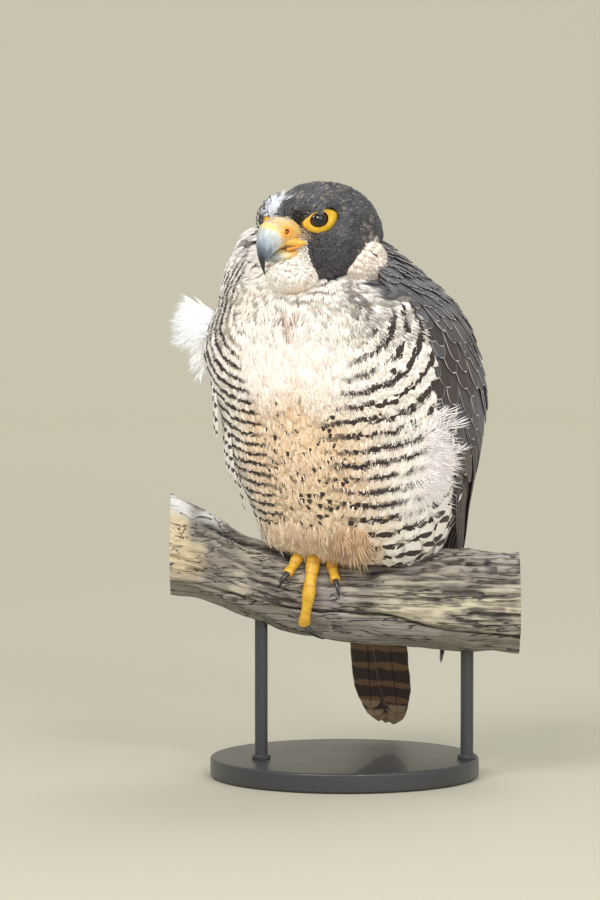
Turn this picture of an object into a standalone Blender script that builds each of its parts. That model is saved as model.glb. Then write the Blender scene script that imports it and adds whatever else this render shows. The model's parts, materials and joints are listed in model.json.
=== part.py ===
"""Peregrine falcon resting on one foot on a cut length of weathered wood.

The wood is held by a flat round base with two short rods. All sizes below are
millimetres and are turned into metres when a mesh is made. +Z is up and the
origin is the centre of the underside of the base.
"""

import math
import random

import bmesh
import bpy
import numpy as np
from mathutils import Vector

MM = 0.001
FIT_GAP = 0.32
SEED = 4217

# Base and rods
BASE_RADIUS = 84.0
BASE_HEIGHT = 12.0
BASE_BEVEL = 1.6
BASE_SIDES = 36
ROD_RADIUS = 4.0
ROD_SIDES = 20
ROD_LEFT_X = -52.0
ROD_RIGHT_X = 76.0
PERCH_TOP_Z = 141.0
PERCH_Y = -15.0

# Length of wood: x along it, height of its middle above the perch top, radius
PERCH_X_MIN = -108.0
PERCH_X_MAX = 108.0
PERCH_STATIONS = 17
PERCH_SIDES = 18
PERCH_MIDDLE = ((-108, 3), (-90, -2.5), (-59, -16), (-28, -25), (3, -28.5), (34, -30), (84, -32),
                (108, -32.5))
PERCH_RADIUS = ((-108, 32), (-90, 29.5), (-59, 26), (-28, 26.6), (3, 28.5), (34, 30), (84, 32), (108, 32))

# How far the body and the head are turned to the side, and where the head sits
BODY_YAW = math.radians(22)
HEAD_YAW = math.radians(43)
HEAD_CENTRE = (34.0, -2.4, 198.5)

# Torso: outline keyed by height above the perch top
SECTION_POWER = 2.3
FRONT = ((-6, -5), (0, 22), (15, 42), (40, 60), (75, 74), (110, 81), (140, 82), (160, 77), (175, 69),
         (190, 58), (205, 42), (212, 30))
BACK = ((-6, -35), (0, -58), (15, -72), (40, -82), (75, -84), (110, -80), (140, -70), (160, -56), (175, -42),
        (190, -26), (205, -8), (212, 2))
MIDDLE = ((-6, -20), (0, -20), (20, -22), (60, -12), (100, -2), (140, 8), (170, 15), (205, 15), (212, 15))
HALF_RIGHT = ((-6, 15), (0, 48), (8, 55), (20, 60), (39, 65), (64, 72), (95, 77), (126, 84), (138, 81),
              (157, 72), (175, 69), (194, 62), (201, 58), (207, 44), (212, 18))
HALF_LEFT = ((-6, 15), (0, 48), (8, 54), (20, 60), (33, 66), (64, 76), (107, 84), (135, 79), (154, 71),
             (164, 62), (172, 54), (180, 46), (188, 38), (194, 33), (205, 24), (212, 14))
TORSO_TOP = 172.0
TORSO_LEVELS = (-6, -2, 3, 10, 20, 32, 46, 61, 77, 93, 108, 122, 135, 148, 160, TORSO_TOP)
TORSO_SIDES = 24
DOWN_LOCKS = 7
DOWN_LENGTH = 29.0
DOWN_HEIGHTS = (151.0, 136.0)
DOWN_ANGLE = -66.0
DOWN_FAN = 0.44
DOWN_RADIUS = 1.7
# Flank feathers that hang past the side: root height, tip height, angle, lift of the tip
FLANK_TIPS = ((116, 72, -72, 4.6), (108, 62, -63, 3.4), (96, 50, -69, 4.2), (84, 40, -60, 3.0))
FLANK_RADII = (1.2, 2.3, 1.9, 0.7)
LOCK_SIDES = 4
NECK_LEVELS = (TORSO_TOP + FIT_GAP, 181, 190, 198, 204, 208, 211)
NECK_SIDES = 24

# Wing envelope keyed by height above the perch top
WING_MIDDLE = ((-77, -90), (-40, -72), (3, -50), (33, -20), (64, -12), (101, -2), (135, 7), (154, 11),
               (172, 15), (190, 15), (205, 15))
WING_LEFT_SIDE = ((-77, 30), (-40, 43), (3, 57), (33, 69), (64, 77), (101, 85), (135, 80), (154, 70.5),
                  (172, 52), (190, 31), (205, 18))
WING_RIGHT_SIDE = ((-77, 26), (-40, 38), (3, 51), (33, 61), (64, 68), (101, 74), (135, 76), (154, 69),
                   (172, 65), (190, 57), (198, 52), (205, 38))
WING_FRONT = ((-77, 20), (-40, 34), (3, 50), (33, 60), (64, 73), (101, 76), (135, 72), (154, 62),
              (172, 52), (190, 40), (205, 24))
WING_BACK = ((-77, 12), (-40, 24), (3, 34), (33, 66), (64, 78), (101, 84), (135, 80), (154, 72),
             (172, 58), (190, 36), (205, 20))
LEAD_LEFT = ((-77, 97), (-20, 96), (3, 86), (33, 80), (58, 70), (76, 58), (100, 47), (138, 49), (170, 52),
             (190, 60), (205, 66))
LEAD_RIGHT = ((-77, 99), (-20, 98), (3, 93), (33, 90), (60, 86), (100, 81), (140, 79), (172, 66), (190, 58),
              (205, 56))
WING_DORSAL_ANGLE = 175.0
WING_SHIFT_BACK = ((-77, 13), (-40, 5), (3, 0), (205, 0))
WING_CORE_DEPTH = 4.2
WING_CORE_BOTTOM = 22.0
WING_CORE_TOP_LEFT = 188.0
WING_CORE_TOP_RIGHT = 202.0
WING_CORE_LEVELS = 8
WING_CORE_COLUMNS = 6
WING_ROOM_OUT = 16.0
WING_ROOM_BELOW = 40.0
WING_EDGE_SHARE = 0.012

# Feather vanes
VANE_THICKNESS = 0.55
VANE_GAP = 0.34
VANE_CROWN = 0.22
MAX_ROLL = 0.30

# Tail: root and tip measured from the top of the perch
TAIL_ROOT = (17.0, 40.0, 30.0)
TAIL_TIP = (30.5, 100.0, -119.0)
TAIL_PAIRS = 6
TAIL_LAYER = 0.88
TAIL_HALF_WIDTH = 11.6
TAIL_STATIONS = 4
TAIL_COVERTS = 4
TAIL_SIDES = 14
# Core of the tail: place along it, half width, reach over and under the stack of vanes
TAIL_CORE = ((0, 17, 4.0, 5.0), (20, 18, 3.6, 4.5), (40, 17, 2.2, 3.0), (62, 14.5, 0.9, 0.9))
TAIL_VANE_ROOT = 26.0
TAIL_SPREAD = (1.0, 1.75)
TAIL_TIP_NARROWING = 0.34
COVERT_REACH = (24.0, 88.0)
COVERT_SPREAD = 11.0
COVERT_LIFTS = (0.75, 2.9)
COVERT_HALF_WIDTH = 6.0

# Head: radii of the plain form, then soft bumps (forward, left, up, height, spread)
HEAD_RINGS = 17
HEAD_SIDES = 26
HEAD_ROOM_RINGS = 14
HEAD_ROOM_SIDES = 22
HEAD_ROOM_GROW = 1.3
HEAD_RADIUS_FRONT = 37.0
HEAD_RADIUS_BACK = 43.0
HEAD_RADIUS_SIDE = 33.5
HEAD_RADIUS_UP = 31.6
HEAD_RADIUS_DOWN = 34.0
HEAD_BUMPS = ((27, 23, 16, 7.2, 7.0), (25, 19, 7, -3.4, 5.0), (34, 9, 2, -1.2, 7.0), (6, 29, -13, 2.4, 12.0),
              (33, 0, -25, 7.5, 10.0), (33, 0, 17, 1.6, 8.0))

# Bill: upper ridge and cutting edge as (forward, up), and half width
RIDGE = ((34, 12.6), (40, 12.6), (45, 10.8), (49.5, 7.4), (53, 2), (55, -5), (54.8, -12),
         (52.6, -18.5), (50.4, -23.4))
EDGE = ((29, -5), (34, -6.6), (38.5, -8.2), (43, -10), (46, -12), (48, -14.6), (49.2, -17.6),
        (49.9, -20.6), (50, -24))
BILL_WIDTH = (12.2, 11.4, 10.0, 8.4, 6.6, 4.9, 3.3, 1.9, 0.5)
CERE_END = 2.6
CERE_STATIONS = (0, 0.6, 1.2, 1.9, CERE_END)
UPPER_STATIONS = (CERE_END + 0.07, 3.2, 3.8, 4.4, 5.0, 5.6, 6.2, 6.8, 7.4, 8.0)
LOWER_TOP = ((28, -5), (33, -6.6), (38, -8.3), (42.5, -10.2), (45.6, -12.2))
LOWER_BOTTOM = ((27, -13), (32, -14.8), (37, -16.0), (42, -16.4), (45.4, -15.0))
LOWER_WIDTH = (10.6, 9.6, 8.2, 6.0, 2.6)
BILL_SIDES = 14
NOSTRIL_SIDES = 10
NOSTRIL = (41.2, 8.4, 2.2)
NOSTRIL_RADIUS = 1.75
NOSTRIL_PEG = 0.62
NOSTRIL_DEPTH = 2.6

# Eyes and lids
EYE_RADIUS = 8.2
EYE_OPENING = (24.7, 21.0, 9.6)
EYE_DEPTH = 6.3
EYE_FACING = (0.42, 0.90, 0.05)
LID_INNER = (6.1, 4.7)
LID_MIDDLE = (8.5, 6.4)
LID_OUTER = (10.6, 8.0)
LID_STEPS = 16
EYE_SEGMENTS = 12
EYE_RINGS = 8

# Thighs: middle as (forward, left, up) and radii
THIGH_RIGHT = ((20, -18, 24), (24, 25, 31))
THIGH_LEFT = ((13, 22, 27), (24, 24, 28))

SHANK_RIGHT_RADII = (5.8, 4.6, 4.3, 4.4, 4.8)
SHANK_LEFT_RADII = (6.6, 4.8, 4.4, 4.6)
SHANK_SIDES = 10
THIGH_SEGMENTS = 12
THIGH_RINGS = 8
THIGH_DROOP = 0.18

# Hollows left in the plumage round the feet: middle as (forward, left, up) and radii
ROOM_RIGHT_FOOT = ((1, -17, 1), (17, 21, 11))
ROOM_LEFT_FOOT = ((14.5, 21.5, 7.5), (20, 17, 15.5))

COLOURS = {
    "slate": (0.060, 0.065, 0.072, 1.0),
    "cream": (0.780, 0.700, 0.590, 1.0),
    "wing": (0.115, 0.112, 0.115, 1.0),
    "tail": (0.070, 0.052, 0.042, 1.0),
    "yellow": (0.820, 0.520, 0.040, 1.0),
    "bill": (0.330, 0.380, 0.430, 1.0),
    "black": (0.020, 0.018, 0.016, 1.0),
    "wood": (0.250, 0.225, 0.195, 1.0),
    "stand": (0.045, 0.045, 0.048, 1.0),
}


class Profile:
    """A curve through keys that never overshoots between two of them."""

    def __init__(self, keys):
        self.x = np.array([k[0] for k in keys], float)
        self.y = np.array([k[1] for k in keys], float)
        step = np.diff(self.x)
        rise = np.diff(self.y) / step
        slope = np.zeros(len(self.x))
        for i in range(1, len(self.x) - 1):
            if rise[i - 1] * rise[i] > 0:
                a = 2 * step[i] + step[i - 1]
                b = step[i] + 2 * step[i - 1]
                slope[i] = (a + b) / (a / rise[i - 1] + b / rise[i])
        slope[0] = rise[0]
        slope[-1] = rise[-1]
        self.slope = slope

    def __call__(self, at):
        at = min(max(at, self.x[0]), self.x[-1])
        i = int(min(np.searchsorted(self.x, at, side="right") - 1, len(self.x) - 2))
        h = self.x[i + 1] - self.x[i]
        t = (at - self.x[i]) / h
        a = self.y[i] * (2 * t**3 - 3 * t**2 + 1) + self.slope[i] * h * (t**3 - 2 * t**2 + t)
        b = self.y[i + 1] * (-2 * t**3 + 3 * t**2) + self.slope[i + 1] * h * (t**3 - t**2)
        return float(a + b)


def mix(a, b, t):
    """A value or a vector between two others."""
    return a + (b - a) * t


def smooth_step(t):
    """Eased 0 to 1."""
    t = min(max(t, 0.0), 1.0)
    return t * t * (3 - 2 * t)


def turned(yaw):
    """Forward and left directions of something turned to the side by yaw."""
    forward = Vector((-math.sin(yaw), -math.cos(yaw), 0.0))
    left = Vector((math.cos(yaw), -math.sin(yaw), 0.0))
    return forward, left


BODY_FORWARD, BODY_LEFT = turned(BODY_YAW)
HEAD_FORWARD, HEAD_LEFT = turned(HEAD_YAW)
UP = Vector((0.0, 0.0, 1.0))
PERCH_TOP = Vector((0.0, PERCH_Y, PERCH_TOP_Z))


def body_point(forward, left, up):
    """World place of a point given in the body's own directions."""
    return PERCH_TOP + BODY_FORWARD * forward + BODY_LEFT * left + UP * up


HEAD_MIDDLE = body_point(*HEAD_CENTRE)


def head_point(forward, left, up):
    """World place of a point given in the head's own directions."""
    return HEAD_MIDDLE + HEAD_FORWARD * forward + HEAD_LEFT * left + UP * up


# Scene, collections, materials

def clear_scene():
    for obj in list(bpy.data.objects):
        bpy.data.objects.remove(obj, do_unlink=True)
    for mesh in list(bpy.data.meshes):
        bpy.data.meshes.remove(mesh)
    for collection in list(bpy.data.collections):
        bpy.data.collections.remove(collection)


def new_collection(name):
    collection = bpy.data.collections.new(name)
    bpy.context.scene.collection.children.link(collection)
    return collection


clear_scene()
PARTS = new_collection("peregrine_falcon")
CUTTERS = new_collection("cutters")
VANES = new_collection("vanes")


def material(name):
    found = bpy.data.materials.get(name)
    if found:
        return found
    made = bpy.data.materials.new(name)
    made.use_nodes = True
    shader = made.node_tree.nodes["Principled BSDF"]
    shader.inputs["Base Color"].default_value = COLOURS[name]
    shader.inputs["Roughness"].default_value = 0.6
    return made


# Meshes

def add_object(name, points, faces, collection, colour=None):
    """An object from points in millimetres and faces."""
    mesh = bpy.data.meshes.new(name)
    mesh.from_pydata([tuple(Vector(p) * MM) for p in points], [], faces)
    mesh.validate()
    obj = bpy.data.objects.new(name, mesh)
    collection.objects.link(obj)
    tidy_mesh(obj)
    if colour:
        obj.data.materials.append(material(colour))
    if collection is CUTTERS:
        obj.hide_render = True
        obj.display_type = "WIRE"
    return obj


def tidy_mesh(obj):
    """Joins loose doubles and turns every face outward."""
    bm = bmesh.new()
    bm.from_mesh(obj.data)
    bmesh.ops.remove_doubles(bm, verts=bm.verts, dist=1e-6)
    bmesh.ops.recalc_face_normals(bm, faces=bm.faces)
    if bm.calc_volume(signed=True) < 0:
        bmesh.ops.reverse_faces(bm, faces=bm.faces)
    bm.to_mesh(obj.data)
    bm.free()
    obj.data.update()


def loft(name, rings, collection, colour=None, closed=False, poles=(None, None)):
    """A skin over rings of equal count, its ends capped, poled or joined to each other."""
    count = len(rings[0])
    points = [p for ring in rings for p in ring]
    faces = []
    spans = len(rings) if closed else len(rings) - 1
    for k in range(spans):
        a = k * count
        b = ((k + 1) % len(rings)) * count
        for i in range(count):
            j = (i + 1) % count
            faces.append((a + i, a + j, b + j, b + i))
    if not closed:
        for end, pole in enumerate(poles):
            base = 0 if end == 0 else (len(rings) - 1) * count
            ring = list(range(base, base + count))
            if pole is None:
                faces.append(ring)
            else:
                points.append(pole)
                tip = len(points) - 1
                for i in range(count):
                    faces.append((ring[i], ring[(i + 1) % count], tip))
    return add_object(name, points, faces, collection, colour)


def triangulated(obj):
    bm = bmesh.new()
    bm.from_mesh(obj.data)
    bmesh.ops.triangulate(bm, faces=bm.faces)
    bm.to_mesh(obj.data)
    bm.free()


def apply_modifiers(obj):
    graph = bpy.context.evaluated_depsgraph_get()
    mesh = bpy.data.meshes.new_from_object(obj.evaluated_get(graph))
    obj.modifiers.clear()
    old = obj.data
    obj.data = mesh
    bpy.data.meshes.remove(old)


def grown_copy(obj, by, name=None):
    """A cutter: the same form, its surface moved outward."""
    mesh = obj.data.copy()
    copy = bpy.data.objects.new(name or f"room_{obj.name}", mesh)
    CUTTERS.objects.link(copy)
    copy.hide_render = True
    copy.display_type = "WIRE"
    bm = bmesh.new()
    bm.from_mesh(mesh)
    bmesh.ops.triangulate(bm, faces=bm.faces)
    bm.normal_update()
    moves = []
    for vert in bm.verts:
        moves.append(vert.normal * (by * MM * min(vert.calc_shell_factor(), 1.6)))
    for vert, move in zip(bm.verts, moves):
        vert.co += move
    bm.to_mesh(mesh)
    bm.free()
    return copy


def open_edges(mesh):
    """Number of edges that don't have two faces, or -1 for an empty mesh."""
    if not mesh.polygons:
        return -1
    bm = bmesh.new()
    bm.from_mesh(mesh)
    count = sum(1 for edge in bm.edges if len(edge.link_faces) != 2)
    bm.free()
    return count


def boolean(obj, operation, cutter=None, collection=None):
    """One Boolean, applied. The second solver is used where the first leaves no closed form."""
    for solver in ("MANIFOLD", "EXACT"):
        change = obj.modifiers.new("change", "BOOLEAN")
        change.operation = operation
        change.solver = solver
        if collection:
            change.operand_type = "COLLECTION"
            change.collection = collection
        else:
            change.object = cutter
        graph = bpy.context.evaluated_depsgraph_get()
        mesh = bpy.data.meshes.new_from_object(obj.evaluated_get(graph))
        obj.modifiers.clear()
        if open_edges(mesh) == 0:
            break
    if open_edges(mesh) != 0:
        print(f"{obj.name}: {operation} by {cutter.name if cutter else collection.name} left no closed form")
        bpy.data.meshes.remove(mesh)
        return
    old = obj.data
    obj.data = mesh
    bpy.data.meshes.remove(old)


def cut(obj, cutter):
    """Takes the cutter's form out of the object."""
    boolean(obj, "DIFFERENCE", cutter=cutter)


def unite_vanes(obj):
    """Joins everything in the vanes collection to the object by one Boolean."""
    boolean(obj, "UNION", collection=VANES)
    for vane in list(VANES.objects):
        bpy.data.objects.remove(vane, do_unlink=True)


def keep_largest(obj):
    """Drops every loose closed surface but the one with the most volume."""
    bm = bmesh.new()
    bm.from_mesh(obj.data)
    bmesh.ops.triangulate(bm, faces=bm.faces)
    left = set(bm.faces)
    groups = []
    while left:
        seed = left.pop()
        group = {seed}
        edge_front = [seed]
        while edge_front:
            face = edge_front.pop()
            for edge in face.edges:
                for other in edge.link_faces:
                    if other in left:
                        left.discard(other)
                        group.add(other)
                        edge_front.append(other)
        groups.append(group)

    def volume(group):
        total = 0.0
        for face in group:
            a, b, c = (v.co for v in face.verts)
            total += a.dot(b.cross(c)) / 6.0
        return abs(total)

    best = max(groups, key=volume)
    drop = [f for group in groups if group is not best for f in group]
    if drop:
        bmesh.ops.delete(bm, geom=drop, context="FACES")
        loose = [v for v in bm.verts if not v.link_faces]
        bmesh.ops.delete(bm, geom=loose, context="VERTS")
    bm.to_mesh(obj.data)
    bm.free()


# Length of wood

PERCH_MIDDLE_AT = Profile(PERCH_MIDDLE)
PERCH_RADIUS_AT = Profile(PERCH_RADIUS)


def perch_surface(x, angle, lift=0.0):
    """Point on the wood: angle 0 faces the front, 90 degrees is the top."""
    wave = 0.035 * math.sin(3 * angle + x / 31) + 0.028 * math.sin(5 * angle - x / 23 + 1.0)
    wave += 0.018 * math.sin(9 * angle + x / 17)
    radius = PERCH_RADIUS_AT(x) * (1 + wave) + lift
    y = PERCH_Y - radius * math.cos(angle)
    z = PERCH_TOP_Z + PERCH_MIDDLE_AT(x) + radius * math.sin(angle)
    return Vector((x, y, z))


def make_perch():
    rings = []
    for k in range(PERCH_STATIONS):
        x = mix(PERCH_X_MIN, PERCH_X_MAX, k / (PERCH_STATIONS - 1))
        rings.append([perch_surface(x, 2 * math.pi * i / PERCH_SIDES) for i in range(PERCH_SIDES)])
    return loft("perch", rings, PARTS, "wood")


# Stand

def make_base():
    bpy.ops.mesh.primitive_cylinder_add(
        vertices=BASE_SIDES,
        radius=BASE_RADIUS * MM,
        depth=BASE_HEIGHT * MM,
        location=(0, 0, BASE_HEIGHT * MM / 2),
    )
    obj = bpy.context.active_object
    obj.name = "stand_base"
    for owner in list(obj.users_collection):
        owner.objects.unlink(obj)
    PARTS.objects.link(obj)
    bevel = obj.modifiers.new("rim", "BEVEL")
    bevel.width = BASE_BEVEL * MM
    bevel.segments = 1
    bevel.limit_method = "ANGLE"
    apply_modifiers(obj)
    world = obj.matrix_world.copy()
    obj.data.transform(world)
    obj.matrix_world.identity()
    obj.data.materials.append(material("stand"))
    return obj


def make_rod(name, x, perch_room):
    bottom = BASE_HEIGHT + FIT_GAP
    top = PERCH_TOP_Z + PERCH_MIDDLE_AT(x)
    rings = []
    for z in (bottom, top):
        rings.append([Vector((x + ROD_RADIUS * math.cos(a), PERCH_Y + ROD_RADIUS * math.sin(a), z))
                      for a in (2 * math.pi * i / ROD_SIDES for i in range(ROD_SIDES))])
    rod = loft(name, rings, PARTS, "stand")
    cut(rod, perch_room)
    keep_largest(rod)
    return rod


# Torso and neck

FRONT_AT = Profile(FRONT)
BACK_AT = Profile(BACK)
MIDDLE_AT = Profile(MIDDLE)
HALF_RIGHT_AT = Profile(HALF_RIGHT)
HALF_LEFT_AT = Profile(HALF_LEFT)


def torso_point(z, angle):
    """Point on the body: angle 0 is the front and 90 degrees the bird's left side."""
    c = math.cos(angle)
    s = math.sin(angle)
    c = math.copysign(abs(c) ** (2 / SECTION_POWER), c)
    s = math.copysign(abs(s) ** (2 / SECTION_POWER), s)
    middle = MIDDLE_AT(z)
    forward = middle + (FRONT_AT(z) - middle if c > 0 else middle - BACK_AT(z)) * c
    left = (HALF_LEFT_AT(z) if s > 0 else HALF_RIGHT_AT(z)) * s
    return body_point(forward, left, z)


def make_body(name, levels, sides, colour):
    rings = [[torso_point(z, 2 * math.pi * i / sides) for i in range(sides)] for z in levels]
    return loft(name, rings, PARTS, colour)


def torso_outward(z, angle):
    """Level direction away from the body at a place on it."""
    turn = torso_point(z, angle + 0.05) - torso_point(z, angle - 0.05)
    return turn.cross(UP).normalized()


def add_locks():
    """Tuft of down in front of the right wing, and flank feathers that hang free."""
    rng = random.Random(SEED + 11)
    for i in range(DOWN_LOCKS):
        t = i / (DOWN_LOCKS - 1)
        angle = math.radians(DOWN_ANGLE + rng.uniform(-6, 6))
        root = torso_point(mix(*DOWN_HEIGHTS, t), angle)
        ahead = Vector((-1.0, rng.uniform(-0.16, 0.16), mix(DOWN_FAN, -DOWN_FAN, t))).normalized()
        length = DOWN_LENGTH * rng.uniform(0.86, 1.0)
        path = [root + ahead * length * share for share in (-0.12, 0.3, 0.7, 1.0)]
        path[-1].z -= 1.6
        radii = [DOWN_RADIUS * share for share in (1.0, 1.25, 0.9, 0.3)]
        tube(f"down_{i}", path, radii, LOCK_SIDES, VANES)
    for i, (top, tip, degrees, lift) in enumerate(FLANK_TIPS):
        angle = math.radians(degrees)
        path = []
        for k in range(4):
            z = mix(top, tip, k / 3)
            path.append(torso_point(z, angle) + torso_outward(z, angle) * mix(-2.6, lift, k / 3))
        tube(f"flank_{i}", path, FLANK_RADII, LOCK_SIDES, VANES)


# Head

def bump(point, bumps):
    """Sum of the soft bumps at a point, alike on both sides."""
    total = 0.0
    for forward, left, up, height, spread in bumps:
        near = (point[0] - forward) ** 2 + (abs(point[1]) - left) ** 2 + (point[2] - up) ** 2
        total += height * math.exp(-near / (2 * spread**2))
    return total


def head_surface(direction):
    """Local point of the head's form in a direction given as forward, left, up."""
    f, s, u = direction
    length = HEAD_RADIUS_FRONT if f > 0 else HEAD_RADIUS_BACK
    height = HEAD_RADIUS_UP if u > 0 else HEAD_RADIUS_DOWN
    taper = 1 - 0.20 * max(f, 0) ** 2
    reach = 1 / math.sqrt((f / length) ** 2 + (s / (HEAD_RADIUS_SIDE * taper)) ** 2 + (u / height) ** 2)
    point = (f * reach, s * reach, u * reach)
    grow = bump(point, HEAD_BUMPS)
    return (f * (reach + grow), s * (reach + grow), u * (reach + grow))


def make_head(name, rings_count, sides, grow, collection, colour=None):
    """Head form as rings from the face to the nape, moved out by grow."""
    rings = []
    for k in range(1, rings_count):
        tilt = math.pi * k / rings_count
        ring = []
        for i in range(sides):
            a = 2 * math.pi * i / sides
            direction = Vector((math.cos(tilt), math.sin(tilt) * math.cos(a), math.sin(tilt) * math.sin(a)))
            ring.append(head_point(*(Vector(head_surface(direction)) + direction * grow)))
        rings.append(ring)
    poles = []
    for direction in (Vector((1, 0, 0)), Vector((-1, 0, 0))):
        poles.append(head_point(*(Vector(head_surface(direction)) + direction * grow)))
    return loft(name, rings, collection, colour, poles=poles)


# Bill

def section_between(top, bottom, width, sides, flat=0.0):
    """Ring standing between an upper and a lower point of the head's middle plane."""
    ring = []
    for i in range(sides):
        a = 2 * math.pi * i / sides
        along = (1 + math.cos(a)) / 2
        if flat:
            along = max(along, flat)
        forward = mix(bottom[0], top[0], along)
        up = mix(bottom[1], top[1], along)
        ring.append(head_point(forward, width * math.sin(a), up))
    return ring


def bill_at(table, k):
    """Pair or number between two stations of a bill table."""
    i = min(int(k), len(table) - 2)
    t = k - i
    if isinstance(table[0], tuple):
        return tuple(mix(a, b, t) for a, b in zip(table[i], table[i + 1]))
    return mix(table[i], table[i + 1], t)


def make_bill_part(name, stations, colour):
    rings = []
    for k in stations:
        ring = section_between(bill_at(RIDGE, k), bill_at(EDGE, k), bill_at(BILL_WIDTH, k), BILL_SIDES)
        rings.append(ring)
    return loft(name, rings, PARTS, colour)


def make_lower_bill():
    rings = []
    gap = FIT_GAP
    for top, bottom, width in zip(LOWER_TOP, LOWER_BOTTOM, LOWER_WIDTH):
        rings.append(section_between((top[0], top[1] - gap), bottom, width, BILL_SIDES))
    return loft("bill_lower", rings, PARTS, "bill")


def nostril_cutter(side):
    """Ring-shaped cutter that leaves the peg in the middle of the nostril."""
    out = Vector((0.30, 0.95 * side, 0.12)).normalized()
    across = out.cross(Vector((0, 0, 1))).normalized()
    upward = across.cross(out).normalized()
    rings = []
    outside = 3.0
    for radius, depth in ((NOSTRIL_RADIUS, outside), (NOSTRIL_RADIUS, -NOSTRIL_DEPTH),
                          (NOSTRIL_PEG, -NOSTRIL_DEPTH), (NOSTRIL_PEG, outside)):
        ring = []
        for i in range(NOSTRIL_SIDES):
            a = 2 * math.pi * i / NOSTRIL_SIDES
            local = Vector((NOSTRIL[0], NOSTRIL[1] * side, NOSTRIL[2])) + out * depth
            local += (across * math.cos(a) + upward * math.sin(a)) * radius
            ring.append(head_point(*local))
        rings.append(ring)
    return loft(f"nostril_{'left' if side > 0 else 'right'}", rings, CUTTERS, closed=True)


# Eyes and lids

def eye_axes(side):
    """Middle of the eye opening and its outward, forward and upward directions in the head."""
    out = Vector((EYE_FACING[0], EYE_FACING[1] * side, EYE_FACING[2])).normalized()
    up = (Vector((-0.10, 0, 1)) - out * out.dot(Vector((-0.10, 0, 1)))).normalized()
    fore = up.cross(out) * side
    place = Vector((EYE_OPENING[0], EYE_OPENING[1] * side, EYE_OPENING[2]))
    return place, out, fore.normalized(), up


def make_eye(name, side):
    place, out, _, _ = eye_axes(side)
    middle = head_point(*(place - out * EYE_DEPTH))
    bpy.ops.mesh.primitive_uv_sphere_add(
        segments=EYE_SEGMENTS, ring_count=EYE_RINGS, radius=EYE_RADIUS * MM, location=middle * MM
    )
    obj = bpy.context.active_object
    obj.name = name
    for owner in list(obj.users_collection):
        owner.objects.unlink(obj)
    PARTS.objects.link(obj)
    world = obj.matrix_world.copy()
    obj.data.transform(world)
    obj.matrix_world.identity()
    obj.data.materials.append(material("black"))
    return obj


def make_lid(name, side):
    """Almond ring round the eye, its inner edge lying on the ball."""
    place, out, fore, up = eye_axes(side)

    def at(size, angle, lift):
        corner = 1 + 0.10 * max(0.0, -math.cos(angle)) ** 6
        a = size[0] * corner * math.cos(angle)
        b = size[1] * math.sin(angle)
        b -= 1.1 * math.cos(angle) * size[0] / LID_OUTER[0]
        return head_point(*(place + fore * a + up * b + out * lift))

    def ball_height(size, angle, above):
        a = size[0] * math.cos(angle)
        b = size[1] * math.sin(angle)
        return math.sqrt(max((EYE_RADIUS + above) ** 2 - a * a - b * b, 1.0)) - EYE_DEPTH

    rings = []
    for i in range(LID_STEPS):
        angle = 2 * math.pi * i / LID_STEPS
        rings.append([
            at(LID_INNER, angle, ball_height(LID_INNER, angle, FIT_GAP + 0.15)),
            at(LID_INNER, angle, ball_height(LID_INNER, angle, 1.05)),
            at(LID_MIDDLE, angle, 0.35),
            at(LID_OUTER, angle, -0.7),
            at(LID_OUTER, angle, -3.4),
            at(LID_MIDDLE, angle, -2.2),
        ])
    return loft(name, rings, PARTS, "yellow", closed=True)


def make_socket(side):
    """Cutter for the hollow that the eye and its lid sit in."""
    place, out, fore, up = eye_axes(side)
    wide = 0.45
    rings = []
    for size, lift in ((LID_OUTER, 6.0), (LID_OUTER, -3.9), ((EYE_RADIUS, EYE_RADIUS), -7.0),
                       ((EYE_RADIUS * 0.72, EYE_RADIUS * 0.72), -EYE_DEPTH - EYE_RADIUS - 0.6)):
        ring = []
        for i in range(LID_STEPS):
            angle = 2 * math.pi * i / LID_STEPS
            a = (size[0] * (1 + 0.10 * max(0.0, -math.cos(angle)) ** 6) + wide) * math.cos(angle)
            b = (size[1] + wide) * math.sin(angle) - 1.1 * math.cos(angle) * size[0] / LID_OUTER[0]
            ring.append(head_point(*(place + fore * a + up * b + out * lift)))
        rings.append(ring)
    return loft(f"socket_{'left' if side > 0 else 'right'}", rings, CUTTERS)


# Wings

WING_MIDDLE_AT = Profile(WING_MIDDLE)
WING_SIDE_AT = {1: Profile(WING_LEFT_SIDE), -1: Profile(WING_RIGHT_SIDE)}
WING_FRONT_AT = Profile(WING_FRONT)
WING_BACK_AT = Profile(WING_BACK)
LEAD_AT = {1: Profile(LEAD_LEFT), -1: Profile(LEAD_RIGHT)}
WING_SHIFT_AT = Profile(WING_SHIFT_BACK)


def wing_envelope(side, z, angle):
    """Point of the folded wing's skin; the angle runs from the front round to the back."""
    c = math.cos(angle)
    s = math.sin(angle)
    middle = WING_MIDDLE_AT(z)
    if side < 0:
        middle -= WING_SHIFT_AT(z)
    reach = WING_FRONT_AT(z) if c > 0 else WING_BACK_AT(z)
    return body_point(middle + reach * c, side * WING_SIDE_AT[side](z) * s, z)


def wing_surface(side, z, angle, lift):
    """Point at a height over the wing's skin, and how far one radian goes there."""
    here = wing_envelope(side, z, angle)
    turn = (wing_envelope(side, z, angle + 0.02) - wing_envelope(side, z, angle - 0.02)) / 0.04
    rise = (wing_envelope(side, z + 0.6, angle) - wing_envelope(side, z - 0.6, angle)) / 1.2
    normal = turn.cross(rise) * side
    normal.normalize()
    return here + normal * lift, max(turn.length, 8.0)


def wing_angle(side, z, share):
    """Angle at a share of the way from the leading edge to the back edge."""
    lead = math.radians(LEAD_AT[side](z))
    return mix(lead, math.radians(WING_DORSAL_ANGLE), share)


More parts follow.
